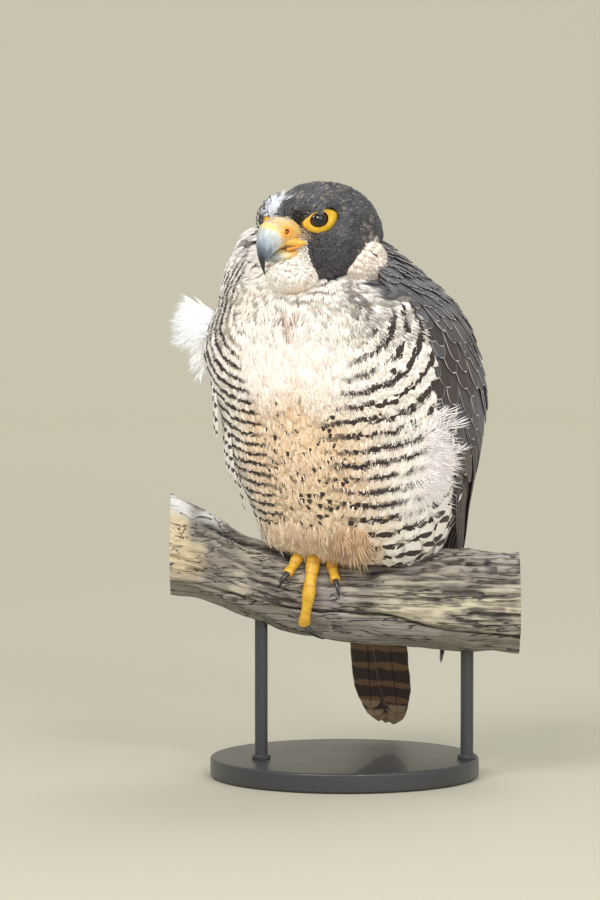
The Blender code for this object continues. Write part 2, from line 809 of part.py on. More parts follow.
def wing_slab(name, side, inner, outer, levels, collection, colour=None):
    """Closed shell between two heights over the wing's skin, its rings at the given levels.

    Its quads are split here, so that a wing and the room cut for it have the same creases.
    """
    shares = [i / (WING_CORE_COLUMNS - 1) for i in range(WING_CORE_COLUMNS)]
    edge = 0.0 if collection is CUTTERS else WING_EDGE_SHARE
    shares[0] += edge
    shares[-1] -= edge
    count = 2 * len(shares)
    points = []
    quads = []
    for z in levels:
        points += [wing_surface(side, z, wing_angle(side, z, share), outer)[0] for share in shares]
        points += [wing_surface(side, z, wing_angle(side, z, share), inner)[0] for share in reversed(shares)]
    for k in range(len(levels) - 1):
        a = k * count
        b = a + count
        for i in range(count):
            j = (i + 1) % count
            quads.append((a + i, a + j, b + j, b + i))
    for i in range(len(shares) - 1):
        quads.append((i, count - 1 - i, count - 2 - i, i + 1))
        a = (len(levels) - 1) * count
        quads.append((a + i, a + i + 1, a + count - 2 - i, a + count - 1 - i))
    faces = []
    for p, q, r, t in quads:
        faces.append((p, q, r))
        faces.append((p, r, t))
    return add_object(name, points, faces, collection, colour)


def wing_levels(side):
    """Heights of the rings of a wing's core, from its top down."""
    top = WING_CORE_TOP_LEFT if side > 0 else WING_CORE_TOP_RIGHT
    return [mix(top, WING_CORE_BOTTOM, k / (WING_CORE_LEVELS - 1)) for k in range(WING_CORE_LEVELS)]


def vane_solid(name, rows):
    """Thin closed plate: each row holds its three top points and three bottom points."""
    points = []
    faces = []
    for top, bottom in rows:
        points.extend(top)
        points.extend(bottom)
    count = len(rows)
    for k in range(count - 1):
        a = k * 6
        b = a + 6
        for i in range(2):
            faces.append((a + i, a + i + 1, b + i + 1))
            faces.append((a + i, b + i + 1, b + i))
            faces.append((a + 3 + i, b + 3 + i + 1, a + 3 + i + 1))
            faces.append((a + 3 + i, b + 3 + i, b + 3 + i + 1))
        faces.append((a, b, b + 3))
        faces.append((a, b + 3, a + 3))
        faces.append((a + 2, b + 5, b + 2))
        faces.append((a + 2, a + 5, b + 5))
    last = (count - 1) * 6
    for a, flip in ((0, False), (last, True)):
        for i in range(2):
            quads = ((a + i, a + 3 + i, a + 4 + i), (a + i, a + 4 + i, a + 1 + i))
            for tri in quads:
                faces.append(tuple(reversed(tri)) if flip else tri)
    return add_object(name, points, faces, VANES)


def wing_vane(name, side, heights, tier, shares, spread, half_width):
    """Vane lying on the wing, from its root height down to its tip height.

    Its place round the wing, its lift and its tilt follow the height and not the
    length of the vane, so that two neighbours keep their distance all the way.
    """
    rows = []
    low = min(tier.tips)
    shared = [mix(max(tier.roots), low, k / (tier.stations - 1)) for k in range(tier.stations)]
    step = (shared[0] - shared[1]) * 0.35
    levels = [heights[0]] + [z for z in shared[1:-1] if z > heights[1] + step] + [heights[1]]
    for z in levels:
        s = (heights[0] - z) / (heights[0] - heights[1])
        along = min(max((tier.roots[0] - z) / (tier.roots[0] - tier.tips[0]), 0.0), 1.0)
        angle = wing_angle(side, z, mix(shares[0], shares[1], along))
        lift = mix(tier.lifts[0], tier.lifts[1], min(1.0, along / tier.lifts[2]))
        width = half_width * vane_outline(s)
        reach = wing_surface(side, z, angle, 0.0)[1]
        spacing = arc_length(side, z) * mix(spread[0], spread[1], along)
        roll = min((VANE_THICKNESS + VANE_GAP + VANE_CROWN) / spacing, MAX_ROLL)
        first = wing_angle(side, z, WING_EDGE_SHARE)
        last = wing_angle(side, z, 1 - WING_EDGE_SHARE)
        top = []
        bottom = []
        for column in (-1, 0, 1):
            turn = min(max(angle + column * width / reach, first), last)
            here = lift - roll * (turn - angle) * reach
            crown = VANE_CROWN if column == 0 else 0.0
            top.append(wing_surface(side, z, turn, here + VANE_THICKNESS / 2 + crown)[0])
            bottom.append(wing_surface(side, z, turn, here - VANE_THICKNESS / 2)[0])
        rows.append((top, bottom))
    if side < 0:
        rows = [(top[::-1], bottom[::-1]) for top, bottom in rows]
    return vane_solid(name, rows)


def vane_outline(s):
    """Half width of a vane along its length as a share of the widest."""
    if s < 0.35:
        return mix(0.55, 1.0, smooth_step(s / 0.35))
    if s < 0.70:
        return 1.0
    return mix(1.0, 0.2, ((s - 0.70) / 0.30) ** 1.5)


def arc_length(side, z):
    """Length round the wing at a height, from edge to edge."""
    steps = 8
    total = 0.0
    before = None
    for i in range(steps + 1):
        here = wing_envelope(side, z, wing_angle(side, z, i / steps))
        if before is not None:
            total += (here - before).length
        before = here
    return total


class Tier:
    """One row of vanes: how many, where they root and end, how wide, how high they lie."""

    def __init__(self, name, count, roots, tips, root_shares, tip_shares, half_width, lifts, stations):
        self.name = name
        self.count = count
        self.roots = roots
        self.tips = tips
        self.root_shares = root_shares
        self.tip_shares = tip_shares
        self.half_width = half_width
        self.lifts = lifts
        self.stations = stations


# Heights and shares are given for the first and the last vane, counted from the leading edge.
# Lifts are those of root and tip, and the share of the length by which the second is reached.
WING_TIERS = (
    Tier("primary", 6, (66, 62), (-79, -26), (0.11, 0.38), (0.16, 0.70), 8.2, (-1.8, 0.4, 0.30), 5),
    Tier("secondary", 5, (94, 94), (-4, -12), (0.36, 0.82), (0.32, 0.82), 9.8, (-1.9, 2.4, 0.35), 4),
    Tier("tertial", 2, (108, 108), (14, 24), (0.90, 0.97), (0.88, 0.96), 7.6, (-2.0, 4.8, 0.35), 4),
    Tier("greater", 6, (103, 103), (57, 64), (0.07, 0.72), (0.07, 0.72), 9.6, (-2.3, 4.0, 0.5), 3),
    Tier("median", 5, (134, 134), (92, 97), (0.09, 0.79), (0.08, 0.79), 11.6, (-2.3, 3.4, 0.5), 3),
    Tier("lesser", 5, (159, 159), (123, 127), (0.10, 0.78), (0.10, 0.78), 11.0, (-2.3, 3.2, 0.5), 3),
    Tier("scapular", 2, (152, 152), (94, 104), (0.90, 0.98), (0.88, 0.96), 8.4, (-2.3, 5.2, 0.5), 3),
)
RAISED_SHOULDER = Tier("raised", 5, (186, 186), (152, 155), (0.14, 0.82), (0.13, 0.82), 10.4,
                       (-2.3, 3.0, 0.5), 3)
ROOT_JITTER = 1.5
WIDTH_JITTER = 0.06


def make_wing(name, side):
    rng = random.Random(SEED + side)
    wing = wing_slab(name, side, -WING_CORE_DEPTH, 0.0, wing_levels(side), PARTS, "wing")
    tiers = WING_TIERS if side > 0 else WING_TIERS + (RAISED_SHOULDER,)
    for tier in tiers:
        spread = [(ends[1] - ends[0]) / (tier.count - 1) for ends in (tier.root_shares, tier.tip_shares)]
        for i in range(tier.count):
            t = i / (tier.count - 1)
            heights = [mix(*tier.roots, t), mix(*tier.tips, t) + rng.uniform(-ROOT_JITTER, ROOT_JITTER)]
            shares = [mix(*tier.root_shares, t), mix(*tier.tip_shares, t)]
            wide = tier.half_width * rng.uniform(1 - WIDTH_JITTER, 1 + WIDTH_JITTER)
            wing_vane(f"{name}_{tier.name}_{i}", side, heights, tier, shares, spread, wide)
    unite_vanes(wing)
    keep_largest(wing)
    return wing


# Tail

TAIL_START = PERCH_TOP + Vector(TAIL_ROOT)
TAIL_END = PERCH_TOP + Vector(TAIL_TIP)
TAIL_LENGTH = (TAIL_END - TAIL_START).length
TAIL_ALONG = (TAIL_END - TAIL_START).normalized()
TAIL_SIDE = (BODY_LEFT - TAIL_ALONG * BODY_LEFT.dot(TAIL_ALONG)).normalized()
TAIL_UNDER = TAIL_SIDE.cross(TAIL_ALONG).normalized()
if TAIL_UNDER.y > 0:
    TAIL_UNDER = -TAIL_UNDER


def tail_point(along, aside, under):
    return TAIL_START + TAIL_ALONG * along + TAIL_SIDE * aside + TAIL_UNDER * under


def tail_vane(name, stations, width, place, level, face):
    """Flat vane of the tail: its half width, sideways place and level follow its length."""
    rows = []
    for k in range(stations):
        s = k / (stations - 1)
        along, aside = place(s)
        half = width(s)
        top = []
        bottom = []
        for column in (-1, 0, 1):
            crown = VANE_CROWN if column == 0 else 0.0
            middle = level(s) - crown * 0.8
            top.append(tail_point(along, aside + column * half, middle + face * VANE_THICKNESS / 2))
            bottom.append(tail_point(along, aside + column * half, middle - face * VANE_THICKNESS / 2))
        rows.append((top, bottom))
    vane_solid(name, rows)


def rectrix_width(s):
    """Half width of a long tail feather along its length."""
    width = TAIL_HALF_WIDTH * mix(0.72, 1.0, min(1, s * 1.6))
    if s > 0.7:
        width *= mix(1.0, TAIL_TIP_NARROWING, ((s - 0.7) / 0.3) ** 2)
    return width


def make_tail():
    rng = random.Random(SEED + 7)
    depth = TAIL_LAYER * (2 * TAIL_PAIRS - 1)
    rings = []
    for along, half, over, under in TAIL_CORE:
        middle = depth / 2 + (under - over) / 2
        high = depth / 2 + (under + over) / 2
        rings.append([tail_point(along, half * math.cos(a), middle + high * math.sin(a))
                      for a in (2 * math.pi * i / TAIL_SIDES for i in range(TAIL_SIDES))])
    tail = loft("tail", rings, PARTS, "tail")
    for pair in range(TAIL_PAIRS):
        for side in (-1, 1):
            layer = 2 * pair + (1 if side > 0 else 0)
            length = TAIL_LENGTH - 0.5 * pair**2 + rng.uniform(-1, 1)
            spread = side * (TAIL_SPREAD[0] + TAIL_SPREAD[1] * pair)

            def place(s, length=length, spread=spread):
                along = mix(TAIL_VANE_ROOT, length, s)
                return along, spread * mix(0.45, 1.0, along / TAIL_LENGTH)

            name = f"rectrix_{pair}_{'left' if side > 0 else 'right'}"
            tail_vane(name, TAIL_STATIONS, rectrix_width, place, lambda s, n=layer: TAIL_LAYER * n, -1)
    for face in (1, -1):
        for i in range(TAIL_COVERTS):
            spread = mix(-COVERT_SPREAD, COVERT_SPREAD, i / (TAIL_COVERTS - 1))
            end = COVERT_REACH[1] - 0.10 * spread**2 + rng.uniform(-1.5, 1.5)

            def place(s, end=end, spread=spread):
                return mix(COVERT_REACH[0], end, s), spread * mix(0.9, 1.0, s)

            def level(s, face=face, raised=TAIL_LAYER * (i % 2)):
                lift = mix(*COVERT_LIFTS, s) + raised
                return depth + lift if face > 0 else -lift

            name = f"tail_covert_{face}_{i}"
            tail_vane(name, 4, lambda s: COVERT_HALF_WIDTH * vane_outline(s), place, level, face)
    unite_vanes(tail)
    keep_largest(tail)
    return tail


# Thighs, feet, claws

def make_rounded(name, form, droop, collection, colour=None):
    """Egg-shaped form given in the body's directions, its lower end drawn in by droop."""
    (forward, left, up), (rf, rl, ru) = form
    bpy.ops.mesh.primitive_uv_sphere_add(segments=THIGH_SEGMENTS, ring_count=THIGH_RINGS, radius=1.0)
    ball = bpy.context.active_object
    points = []
    for vert in ball.data.vertices:
        d = vert.co.normalized()
        narrow = 1.0 - droop * max(0.0, -d.z)
        points.append(body_point(forward + rf * d.x * narrow, left + rl * d.y * narrow, up + ru * d.z))
    faces = [tuple(p.vertices) for p in ball.data.polygons]
    bpy.data.objects.remove(ball, do_unlink=True)
    return add_object(name, points, faces, collection, colour)


def tube(name, path, radii, sides, collection, colour=None):
    """Round form along a path, its ends drawn in to a point just past the last rings."""
    rings = []
    side = None
    for k, point in enumerate(path):
        ahead = path[min(k + 1, len(path) - 1)] - path[max(k - 1, 0)]
        ahead.normalize()
        if side is None:
            side = ahead.orthogonal().normalized()
        side = (side - ahead * side.dot(ahead)).normalized()
        other = ahead.cross(side)
        rings.append([point + (side * math.cos(a) + other * math.sin(a)) * radii[k]
                      for a in (2 * math.pi * i / sides for i in range(sides))])
    first = path[0] + (path[0] - path[1]).normalized() * radii[0] * 0.45
    last = path[-1] + (path[-1] - path[-2]).normalized() * radii[-1] * 0.45
    return loft(name, rings, collection, colour, poles=(first, last))


def toe_path(x_from, x_to, a_from, a_to, radius, steps):
    """Path that lies on the wood, its thickness swelling at every joint."""
    path = []
    radii = []
    for k in range(steps):
        t = k / (steps - 1)
        here = radius * mix(1.06, 0.80, t) * (1 + 0.10 * math.cos(t * math.pi * 6))
        angle = math.radians(mix(a_from, a_to, t))
        x = mix(x_from, x_to, t)
        path.append(perch_surface(x, angle, here - 0.5))
        radii.append(here)
    return path, radii


def claw_path(start, direction, curl, length, steps):
    """Path of a claw that bends from one direction to another."""
    path = [start.copy()]
    point = start.copy()
    for k in range(steps):
        t = k / (steps - 1)
        point = point + (direction.lerp(curl, t)).normalized() * (length / steps)
        path.append(point.copy())
    return path


def claw_radii(base, steps):
    return [base * (1 - 0.86 * (k / steps) ** 1.15) for k in range(steps + 1)]


def finish_foot(foot, claws):
    """Joins the toes to the foot and fits the claws to the ends of the toes."""
    rooms = [grown_copy(piece, FIT_GAP) for piece in [foot] + list(VANES.objects)]
    unite_vanes(foot)
    keep_largest(foot)
    for claw in claws:
        whole = grown_copy(claw, FIT_GAP)
        for room in rooms:
            cut(claw, room)
        keep_largest(claw)
        rooms.append(whole)
    return foot, claws, rooms


# Toes of the standing foot: place along the wood and angle round it, at root and tip
RIGHT_TOES = (
    ("middle", -17.0, -25.5, 84.0, -34.0, 4.5, 10),
    ("outer", -20.0, -35.5, 84.0, 26.0, 4.0, 7),
    ("inner", -12.5, -6.0, 84.0, 24.0, 4.0, 7),
    ("hind", -16.0, -12.0, 96.0, 138.0, 4.2, 6),
)
CLAW_LENGTH = {"middle": 17.0, "outer": 13.0, "inner": 14.0, "hind": 16.0}
CLAW_STEPS = 5
CLAW_SIDES = 7
TOE_SIDES = 8


def make_right_foot():
    ankle = perch_surface(-17, math.radians(90), 5.0)
    knee = body_point(4, -19, 40)
    path = [mix(ankle, knee, k / 4) for k in range(5)]
    foot = tube("foot_right", path, SHANK_RIGHT_RADII, SHANK_SIDES, PARTS, "yellow")
    claws = []
    for toe, x_from, x_to, a_from, a_to, radius, steps in RIGHT_TOES:
        path, radii = toe_path(x_from, x_to, a_from, a_to, radius, steps)
        tube(f"toe_right_{toe}", path, radii, TOE_SIDES, VANES)
        ahead = (path[-1] - path[-2]).normalized()
        outward = path[-1] - Vector((path[-1].x, PERCH_Y, PERCH_TOP_Z + PERCH_MIDDLE_AT(path[-1].x)))
        outward.normalize()
        start = path[-1] - ahead * 0.6 + outward * 0.9
        if toe == "middle":
            first = (ahead * 0.55 + outward * 0.65 + Vector((0.6, 0, 0))).normalized()
            curl = (ahead * 0.55 - outward * 0.25 + Vector((1.0, 0, 0))).normalized()
        else:
            first = (ahead + outward * 0.55).normalized()
            curl = (ahead * 0.75 - outward * 0.85).normalized()
        line = claw_path(start, first, curl, CLAW_LENGTH[toe], CLAW_STEPS)
        claw = tube(f"claw_right_{toe}", line, claw_radii(2.1, CLAW_STEPS), CLAW_SIDES, PARTS, "black")
        claws.append(claw)
    return finish_foot(foot, claws)


# Toes of the drawn-up foot: place to the left, forward, and how far each one curls
LEFT_TOES = (
    ("inner", 13.5, 24.0, 190.0, 3.6),
    ("middle", 21.5, 25.5, 205.0, 3.9),
    ("outer", 29.5, 23.0, 190.0, 3.6),
    ("hind", 20.0, 8.0, -150.0, 3.6),
)
LEFT_CURL_RADIUS = 7.4
LEFT_FOOT_UP = 10.0


def make_left_foot():
    ankle = body_point(15, 21.5, LEFT_FOOT_UP + 6.0)
    knee = body_point(2, 20, 26)
    path = [mix(ankle, knee, k / 3) for k in range(4)]
    foot = tube("foot_left", path, SHANK_LEFT_RADII, SHANK_SIDES, PARTS, "yellow")
    claws = []
    for toe, left, forward, sweep, radius in LEFT_TOES:
        path = []
        radii = []
        turn = math.copysign(1, sweep)
        for k in range(6):
            t = k / 5
            a = math.radians(abs(sweep)) * t
            reach = LEFT_CURL_RADIUS
            out = forward - turn * 6.5 + turn * reach * math.sin(a)
            up = LEFT_FOOT_UP - 1.0 + reach * math.cos(a)
            path.append(body_point(out, mix(21.0, left, smooth_step(t * 2)), up))
            radii.append(radius * mix(1.08, 0.80, t) * (1 + 0.08 * math.cos(t * math.pi * 4)))
        tube(f"toe_left_{toe}", path, radii, TOE_SIDES, VANES)
        ahead = (path[-1] - path[-2]).normalized()
        inward = body_point(forward - turn * 6.5, left, LEFT_FOOT_UP - 1.0) - path[-1]
        inward.normalize()
        start = path[-1] - ahead * 0.6 - inward * 0.8
        line = claw_path(start, ahead, (ahead * 0.8 + UP * 0.3).normalized(), 9.0, CLAW_STEPS)
        claw = tube(f"claw_left_{toe}", line, claw_radii(1.9, CLAW_STEPS), CLAW_SIDES, PARTS, "black")
        claws.append(claw)
    return finish_foot(foot, claws)


def main():
    perch = make_perch()
    perch_room = grown_copy(perch, FIT_GAP)
    make_base()
    make_rod("stand_rod_left", ROD_LEFT_X, perch_room)
    make_rod("stand_rod_right", ROD_RIGHT_X, perch_room)

    torso = make_body("torso", TORSO_LEVELS, TORSO_SIDES, "cream")
    add_locks()
    unite_vanes(torso)
    neck = make_body("neck", NECK_LEVELS, NECK_SIDES, "cream")
    head = make_head("head", HEAD_RINGS, HEAD_SIDES, 0.0, PARTS, "slate")
    head_room = make_head("room_head", HEAD_ROOM_RINGS, HEAD_ROOM_SIDES, HEAD_ROOM_GROW, CUTTERS)
    cut(neck, head_room)
    cut(torso, head_room)

    eyes = [make_eye("eye_left", 1), make_eye("eye_right", -1)]
    lids = [make_lid("lid_left", 1), make_lid("lid_right", -1)]
    for eye, lid, side in zip(eyes, lids, (1, -1)):
        eye_room = grown_copy(eye, FIT_GAP)
        cut(head, make_socket(side))
        cut(head, eye_room)
        cut(lid, eye_room)
        keep_largest(lid)
    keep_largest(head)

    cere = make_bill_part("cere", CERE_STATIONS, "yellow")
    upper = make_bill_part("bill_upper", UPPER_STATIONS, "bill")
    lower = make_lower_bill()
    upper_room = grown_copy(upper, FIT_GAP)
    cere_room = grown_copy(cere, FIT_GAP)
    cut(lower, upper_room)
    cut(lower, cere_room)
    for side in (1, -1):
        cut(cere, nostril_cutter(side))
    for piece in (cere, upper, lower):
        cut(piece, head_room)
        keep_largest(piece)
    bill_rooms = [cere_room, upper_room, grown_copy(lower, FIT_GAP)]

    for name, side in (("wing_left", 1), ("wing_right", -1)):
        levels = wing_levels(side)
        levels = [levels[0] + 2 * FIT_GAP] + levels + [WING_CORE_BOTTOM - WING_ROOM_BELOW]
        room = wing_slab(f"room_{name}", side, -WING_CORE_DEPTH - FIT_GAP, WING_ROOM_OUT, levels, CUTTERS)
        cut(torso, room)
        cut(neck, room)
        wing = make_wing(name, side)
        cut(wing, head_room)
        keep_largest(wing)

    foot_right, claws_right, rooms_right = make_right_foot()
    foot_left, claws_left, rooms_left = make_left_foot()
    for foot, claws in ((foot_right, claws_right), (foot_left, claws_left)):
        for claw in claws:
            cut(claw, perch_room)
            keep_largest(claw)
        cut(foot, perch_room)
        keep_largest(foot)
    thigh_right = make_rounded("leg_right", THIGH_RIGHT, THIGH_DROOP, PARTS, "cream")
    thigh_left = make_rounded("leg_left", THIGH_LEFT, THIGH_DROOP, PARTS, "cream")
    thigh_rooms = [grown_copy(thigh_right, FIT_GAP), grown_copy(thigh_left, FIT_GAP)]
    foot_rooms = [make_rounded("room_right_foot", ROOM_RIGHT_FOOT, 0.0, CUTTERS),
                  make_rounded("room_left_foot", ROOM_LEFT_FOOT, 0.0, CUTTERS)]
    cut(thigh_left, thigh_rooms[0])
    cut(thigh_left, foot_rooms[1])
    cut(thigh_left, rooms_left[0])
    for room in rooms_right:
        cut(thigh_right, room)
    for piece in (thigh_right, thigh_left):
        cut(piece, perch_room)
        keep_largest(piece)
    for room in thigh_rooms + foot_rooms + rooms_right + [perch_room]:
        cut(torso, room)
    for room in bill_rooms:
        cut(torso, room)
        cut(neck, room)
    keep_largest(torso)
    keep_largest(neck)

    tail = make_tail()
    torso_whole = make_body("torso_whole", TORSO_LEVELS, TORSO_SIDES, "cream")
    cut(tail, grown_copy(torso_whole, FIT_GAP))
    bpy.data.objects.remove(torso_whole, do_unlink=True)
    keep_largest(tail)

    for obj in PARTS.objects:
        triangulated(obj)
        count = len(obj.data.polygons)
        print(f"{obj.name}: {count} triangles")
    print("total", sum(len(obj.data.polygons) for obj in PARTS.objects))


main()
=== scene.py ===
"""Looks of a peregrine falcon that rests on one foot on a cut length of wood.

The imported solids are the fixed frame. One skin takes the place of the flesh, and
feathers, scutes, horn and wood grain are meshes over it. Sizes are millimetres
until a mesh is made. The markings follow from each feather's place on the bird,
so that the skin and the plumage share them.
"""

import json
import logging
import math
from dataclasses import dataclass, field
from enum import Enum
from typing import Callable, Sequence, Union

import bmesh
import bpy
import numpy as np
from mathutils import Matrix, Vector

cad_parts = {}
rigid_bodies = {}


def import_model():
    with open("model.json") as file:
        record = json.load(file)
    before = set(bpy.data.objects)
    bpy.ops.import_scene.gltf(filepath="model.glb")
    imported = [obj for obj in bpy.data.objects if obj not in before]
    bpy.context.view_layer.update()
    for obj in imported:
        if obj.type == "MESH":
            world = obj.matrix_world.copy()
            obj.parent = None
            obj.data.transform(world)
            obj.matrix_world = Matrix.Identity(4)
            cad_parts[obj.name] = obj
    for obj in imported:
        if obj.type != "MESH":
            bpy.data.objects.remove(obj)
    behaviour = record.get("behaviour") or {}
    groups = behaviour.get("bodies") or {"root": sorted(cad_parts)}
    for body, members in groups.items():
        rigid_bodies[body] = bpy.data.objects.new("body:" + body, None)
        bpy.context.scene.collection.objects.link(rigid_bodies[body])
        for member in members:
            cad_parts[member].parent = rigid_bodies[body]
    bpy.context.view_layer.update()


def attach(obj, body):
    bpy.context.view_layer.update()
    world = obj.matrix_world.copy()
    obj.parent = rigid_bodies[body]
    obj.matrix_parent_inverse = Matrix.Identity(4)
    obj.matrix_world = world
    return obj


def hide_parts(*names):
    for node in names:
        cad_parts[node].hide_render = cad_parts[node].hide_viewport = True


log = logging.getLogger("peregrine")

MM = 0.001
SEED = 4217
ROOT = "root"
PATCH = 0.003

Array = np.ndarray
Number = Union[float, Array]
Keys = Sequence[tuple[float, float]]
Colour = tuple[float, float, float]


# Curves, directions and noise


class Profile:
    """A curve through keys that never overshoots between two of them."""

    def __init__(self, keys: Keys) -> None:
        """Works out the slope at every key.

        Args:
            keys: Pairs of a place and the value there, in rising order.
        """
        self.x = np.array([k[0] for k in keys], float)
        self.y = np.array([k[1] for k in keys], float)
        step = np.diff(self.x)
        rise = np.diff(self.y) / step
        slope = np.zeros(len(self.x))
        for i in range(1, len(self.x) - 1):
            if rise[i - 1] * rise[i] > 0:
                a = 2 * step[i] + step[i - 1]
                b = step[i] + 2 * step[i - 1]
                slope[i] = (a + b) / (a / rise[i - 1] + b / rise[i])
        slope[0] = rise[0]
        slope[-1] = rise[-1]
        self.slope = slope

    def __call__(self, at: Number) -> Array:
        """Value of the curve.

        Args:
            at: Places along the curve.

        Returns:
            The values there, held level past the first and last key.
        """
        at = np.clip(np.asarray(at, float), self.x[0], self.x[-1])
        i = np.clip(np.searchsorted(self.x, at, side="right") - 1, 0, len(self.x) - 2)
        h = self.x[i + 1] - self.x[i]
        t = (at - self.x[i]) / h
        first = self.y[i] * (2 * t**3 - 3 * t**2 + 1) + self.slope[i] * h * (t**3 - 2 * t**2 + t)
        second = self.y[i + 1] * (3 * t**2 - 2 * t**3) + self.slope[i + 1] * h * (t**3 - t**2)
        return first + second


def mix(a: Number, b: Number, t: Number) -> Number:
    """A value between two others."""
    return a + (b - a) * t


def ease(t: Number) -> Array:
    """Eased 0 to 1."""
    t = np.clip(t, 0.0, 1.0)
    return t * t * (3 - 2 * t)


def step(low: float, high: float, value: Number) -> Array:
    """Eased 0 to 1 while the value goes from low to high."""
    return ease((np.asarray(value, float) - low) / (high - low))


def blend_colour(a: Array, b: Union[Array, Colour], share: Number) -> Array:
    """Colours between two others.

    Args:
        a: Colours, one to a row.
        b: Colours, or one colour.
        share: How much of b each row takes.

    Returns:
        The mixed colours.
    """
    share = np.asarray(share, float)
    if share.ndim:
        share = share[:, None]
    return a * (1 - share) + np.asarray(b, float) * share


def unit(v: Array) -> Array:
    """Vectors of length 1."""
    return v / np.maximum(np.linalg.norm(v, axis=-1, keepdims=True), 1e-9)


def grain(shape: tuple[int, int], cells: tuple[int, int], rng: np.random.Generator) -> Array:
    """Smooth noise on a grid whose second side closes on itself.

    Args:
        shape: Size of the grid.
        cells: Number of random cells along each side.
        rng: Source of the random numbers.

    Returns:
        Values from -1 to 1.
    """
    values = rng.uniform(-1, 1, (cells[0] + 1, cells[1]))
    x = np.linspace(0, cells[0] - 1e-6, shape[0])
    y = np.arange(shape[1]) / shape[1] * cells[1]
    xi = x.astype(int)
    yi = y.astype(int)
    tx = ease(x - xi)[:, None]
    ty = ease(y - yi)[None, :]
    yj = (yi + 1) % cells[1]
    a = values[np.ix_(xi, yi)]
    b = values[np.ix_(xi + 1, yi)]
    c = values[np.ix_(xi, yj)]
    d = values[np.ix_(xi + 1, yj)]
    return mix(mix(a, b, tx), mix(c, d, tx), ty)


def clouds(points: Array, size: float, seed: int) -> Array:
    """Smooth noise in space.

    Args:
        points: Places, one to a row.
        size: Width of one random cell.
        seed: Which noise.

    Returns:
        Values from -1 to 1.
    """
    cell = 32
    values = np.random.default_rng(seed).uniform(-1, 1, (cell, cell, cell))
    at = points / size + 1000.0
    base = np.floor(at).astype(int)
    t = ease(at - base)
    total = np.zeros(len(points))
    for i in (0, 1):
        for j in (0, 1):
            for k in (0, 1):
                weight = np.abs(1 - i - t[:, 0]) * np.abs(1 - j - t[:, 1]) * np.abs(1 - k - t[:, 2])
                corner = (base + (i, j, k)) % cell
                total += weight * values[corner[:, 0], corner[:, 1], corner[:, 2]]
    return total


@dataclass(frozen=True)
class Bearing:
    """A part's own directions: forward, left and up from its middle."""

    centre: tuple[float, float, float]
    yaw: float

    @property
    def forward(self) -> Array:
        """Direction in which the part faces."""
        return np.array((-math.sin(self.yaw), -math.cos(self.yaw), 0.0))

    @property
    def left(self) -> Array:
        """Direction of the part's left side."""
        return np.array((math.cos(self.yaw), -math.sin(self.yaw), 0.0))

    def place(self, forward: Number, left: Number, up: Number) -> Array:
        """World places of points given in the part's directions."""
        forward, left, up = np.broadcast_arrays(forward, left, up)
        flat = forward[..., None] * self.forward + left[..., None] * self.left
        return np.array(self.centre) + flat + up[..., None] * np.array((0.0, 0.0, 1.0))

    def local(self, points: Array) -> tuple[Array, Array, Array]:
        """Forward, left and up of world places."""
        d = points - np.array(self.centre)
        return d @ self.forward, d @ self.left, d[..., 2]

    def turn(self, vectors: Array) -> Array:
        """World directions of vectors given as forward, left, up."""
        flat = vectors[..., :1] * self.forward + vectors[..., 1:2] * self.left
        return flat + vectors[..., 2:3] * np.array((0.0, 0.0, 1.0))


PERCH_TOP = (0.0, -15.0, 141.0)
BODY = Bearing(PERCH_TOP, math.radians(22))
HEAD = Bearing(tuple(BODY.place(34.0, -2.4, 198.5)), math.radians(43))


# Meshes


@dataclass
class Weave:
    """Vertices, faces and attributes of a mesh while it is gathered."""

    points: list[Array] = field(default_factory=list)
    faces: list[Array] = field(default_factory=list)
    data: dict[str, list[Array]] = field(default_factory=dict)
    count: int = 0

    def add(self, points: Array, faces: Array, **data: Array) -> None:
        """Adds one form.

        Args:
            points: Its vertices, in millimetres.
            faces: Its faces, numbered from its own first vertex.
            **data: One value or vector a vertex under each name.
        """
        self.points.append(points.reshape(-1, 3))
        self.faces.append(faces + self.count)
        for name, values in data.items():
            self.data.setdefault(name, []).append(values)
        self.count += len(self.points[-1])

    def mesh(self, name: str) -> bpy.types.Mesh:
        """Everything added so far as one mesh, in metres."""
        points = np.concatenate(self.points) * MM
        made = bpy.data.meshes.new(name)
        made.vertices.add(len(points))
        made.vertices.foreach_set("co", points.astype(np.float32).ravel())
        sizes = np.concatenate([np.full(len(f), f.shape[1]) for f in self.faces])
        corners = np.concatenate([f.ravel() for f in self.faces])
        made.loops.add(len(corners))
        made.loops.foreach_set("vertex_index", corners.astype(np.int32))
        made.polygons.add(len(sizes))
        starts = np.concatenate(([0], np.cumsum(sizes)[:-1]))
        made.polygons.foreach_set("loop_start", starts.astype(np.int32))
        made.update(calc_edges=True)
        made.validate()
        for key, values in self.data.items():
            store(made, key, np.concatenate(values))
        made.polygons.foreach_set("use_smooth", np.ones(len(made.polygons), bool))
        made.update()
        return made


def store(mesh: bpy.types.Mesh, name: str, values: Array) -> None:
    """Keeps one value, vector or colour a vertex on a mesh.

    Args:
        mesh: The mesh.
        name: Name of the attribute. Names that end in uv become UV maps.
        values: One row a vertex.
    """
    if name.endswith("uv"):
        layer = mesh.uv_layers.new(name="OFBake" if name == "bake_uv" else name)
        corner = np.empty(len(mesh.loops), np.int32)
        mesh.loops.foreach_get("vertex_index", corner)
        layer.data.foreach_set("uv", values[corner].astype(np.float32).ravel())
        return
    kinds = {1: "FLOAT", 2: "FLOAT2", 3: "FLOAT_VECTOR"}
    width = 1 if values.ndim == 1 else values.shape[1]
    if name == "tint":
        attribute = mesh.attributes.new(name, "FLOAT_COLOR", "POINT")
        full = np.ones((len(values), 4), np.float32)
        full[:, :3] = values
        attribute.data.foreach_set("color", full.ravel())
        return
    attribute = mesh.attributes.new(name, kinds[width], "POINT")
    key = "value" if width == 1 else "vector"
    attribute.data.foreach_set(key, values.astype(np.float32).ravel())


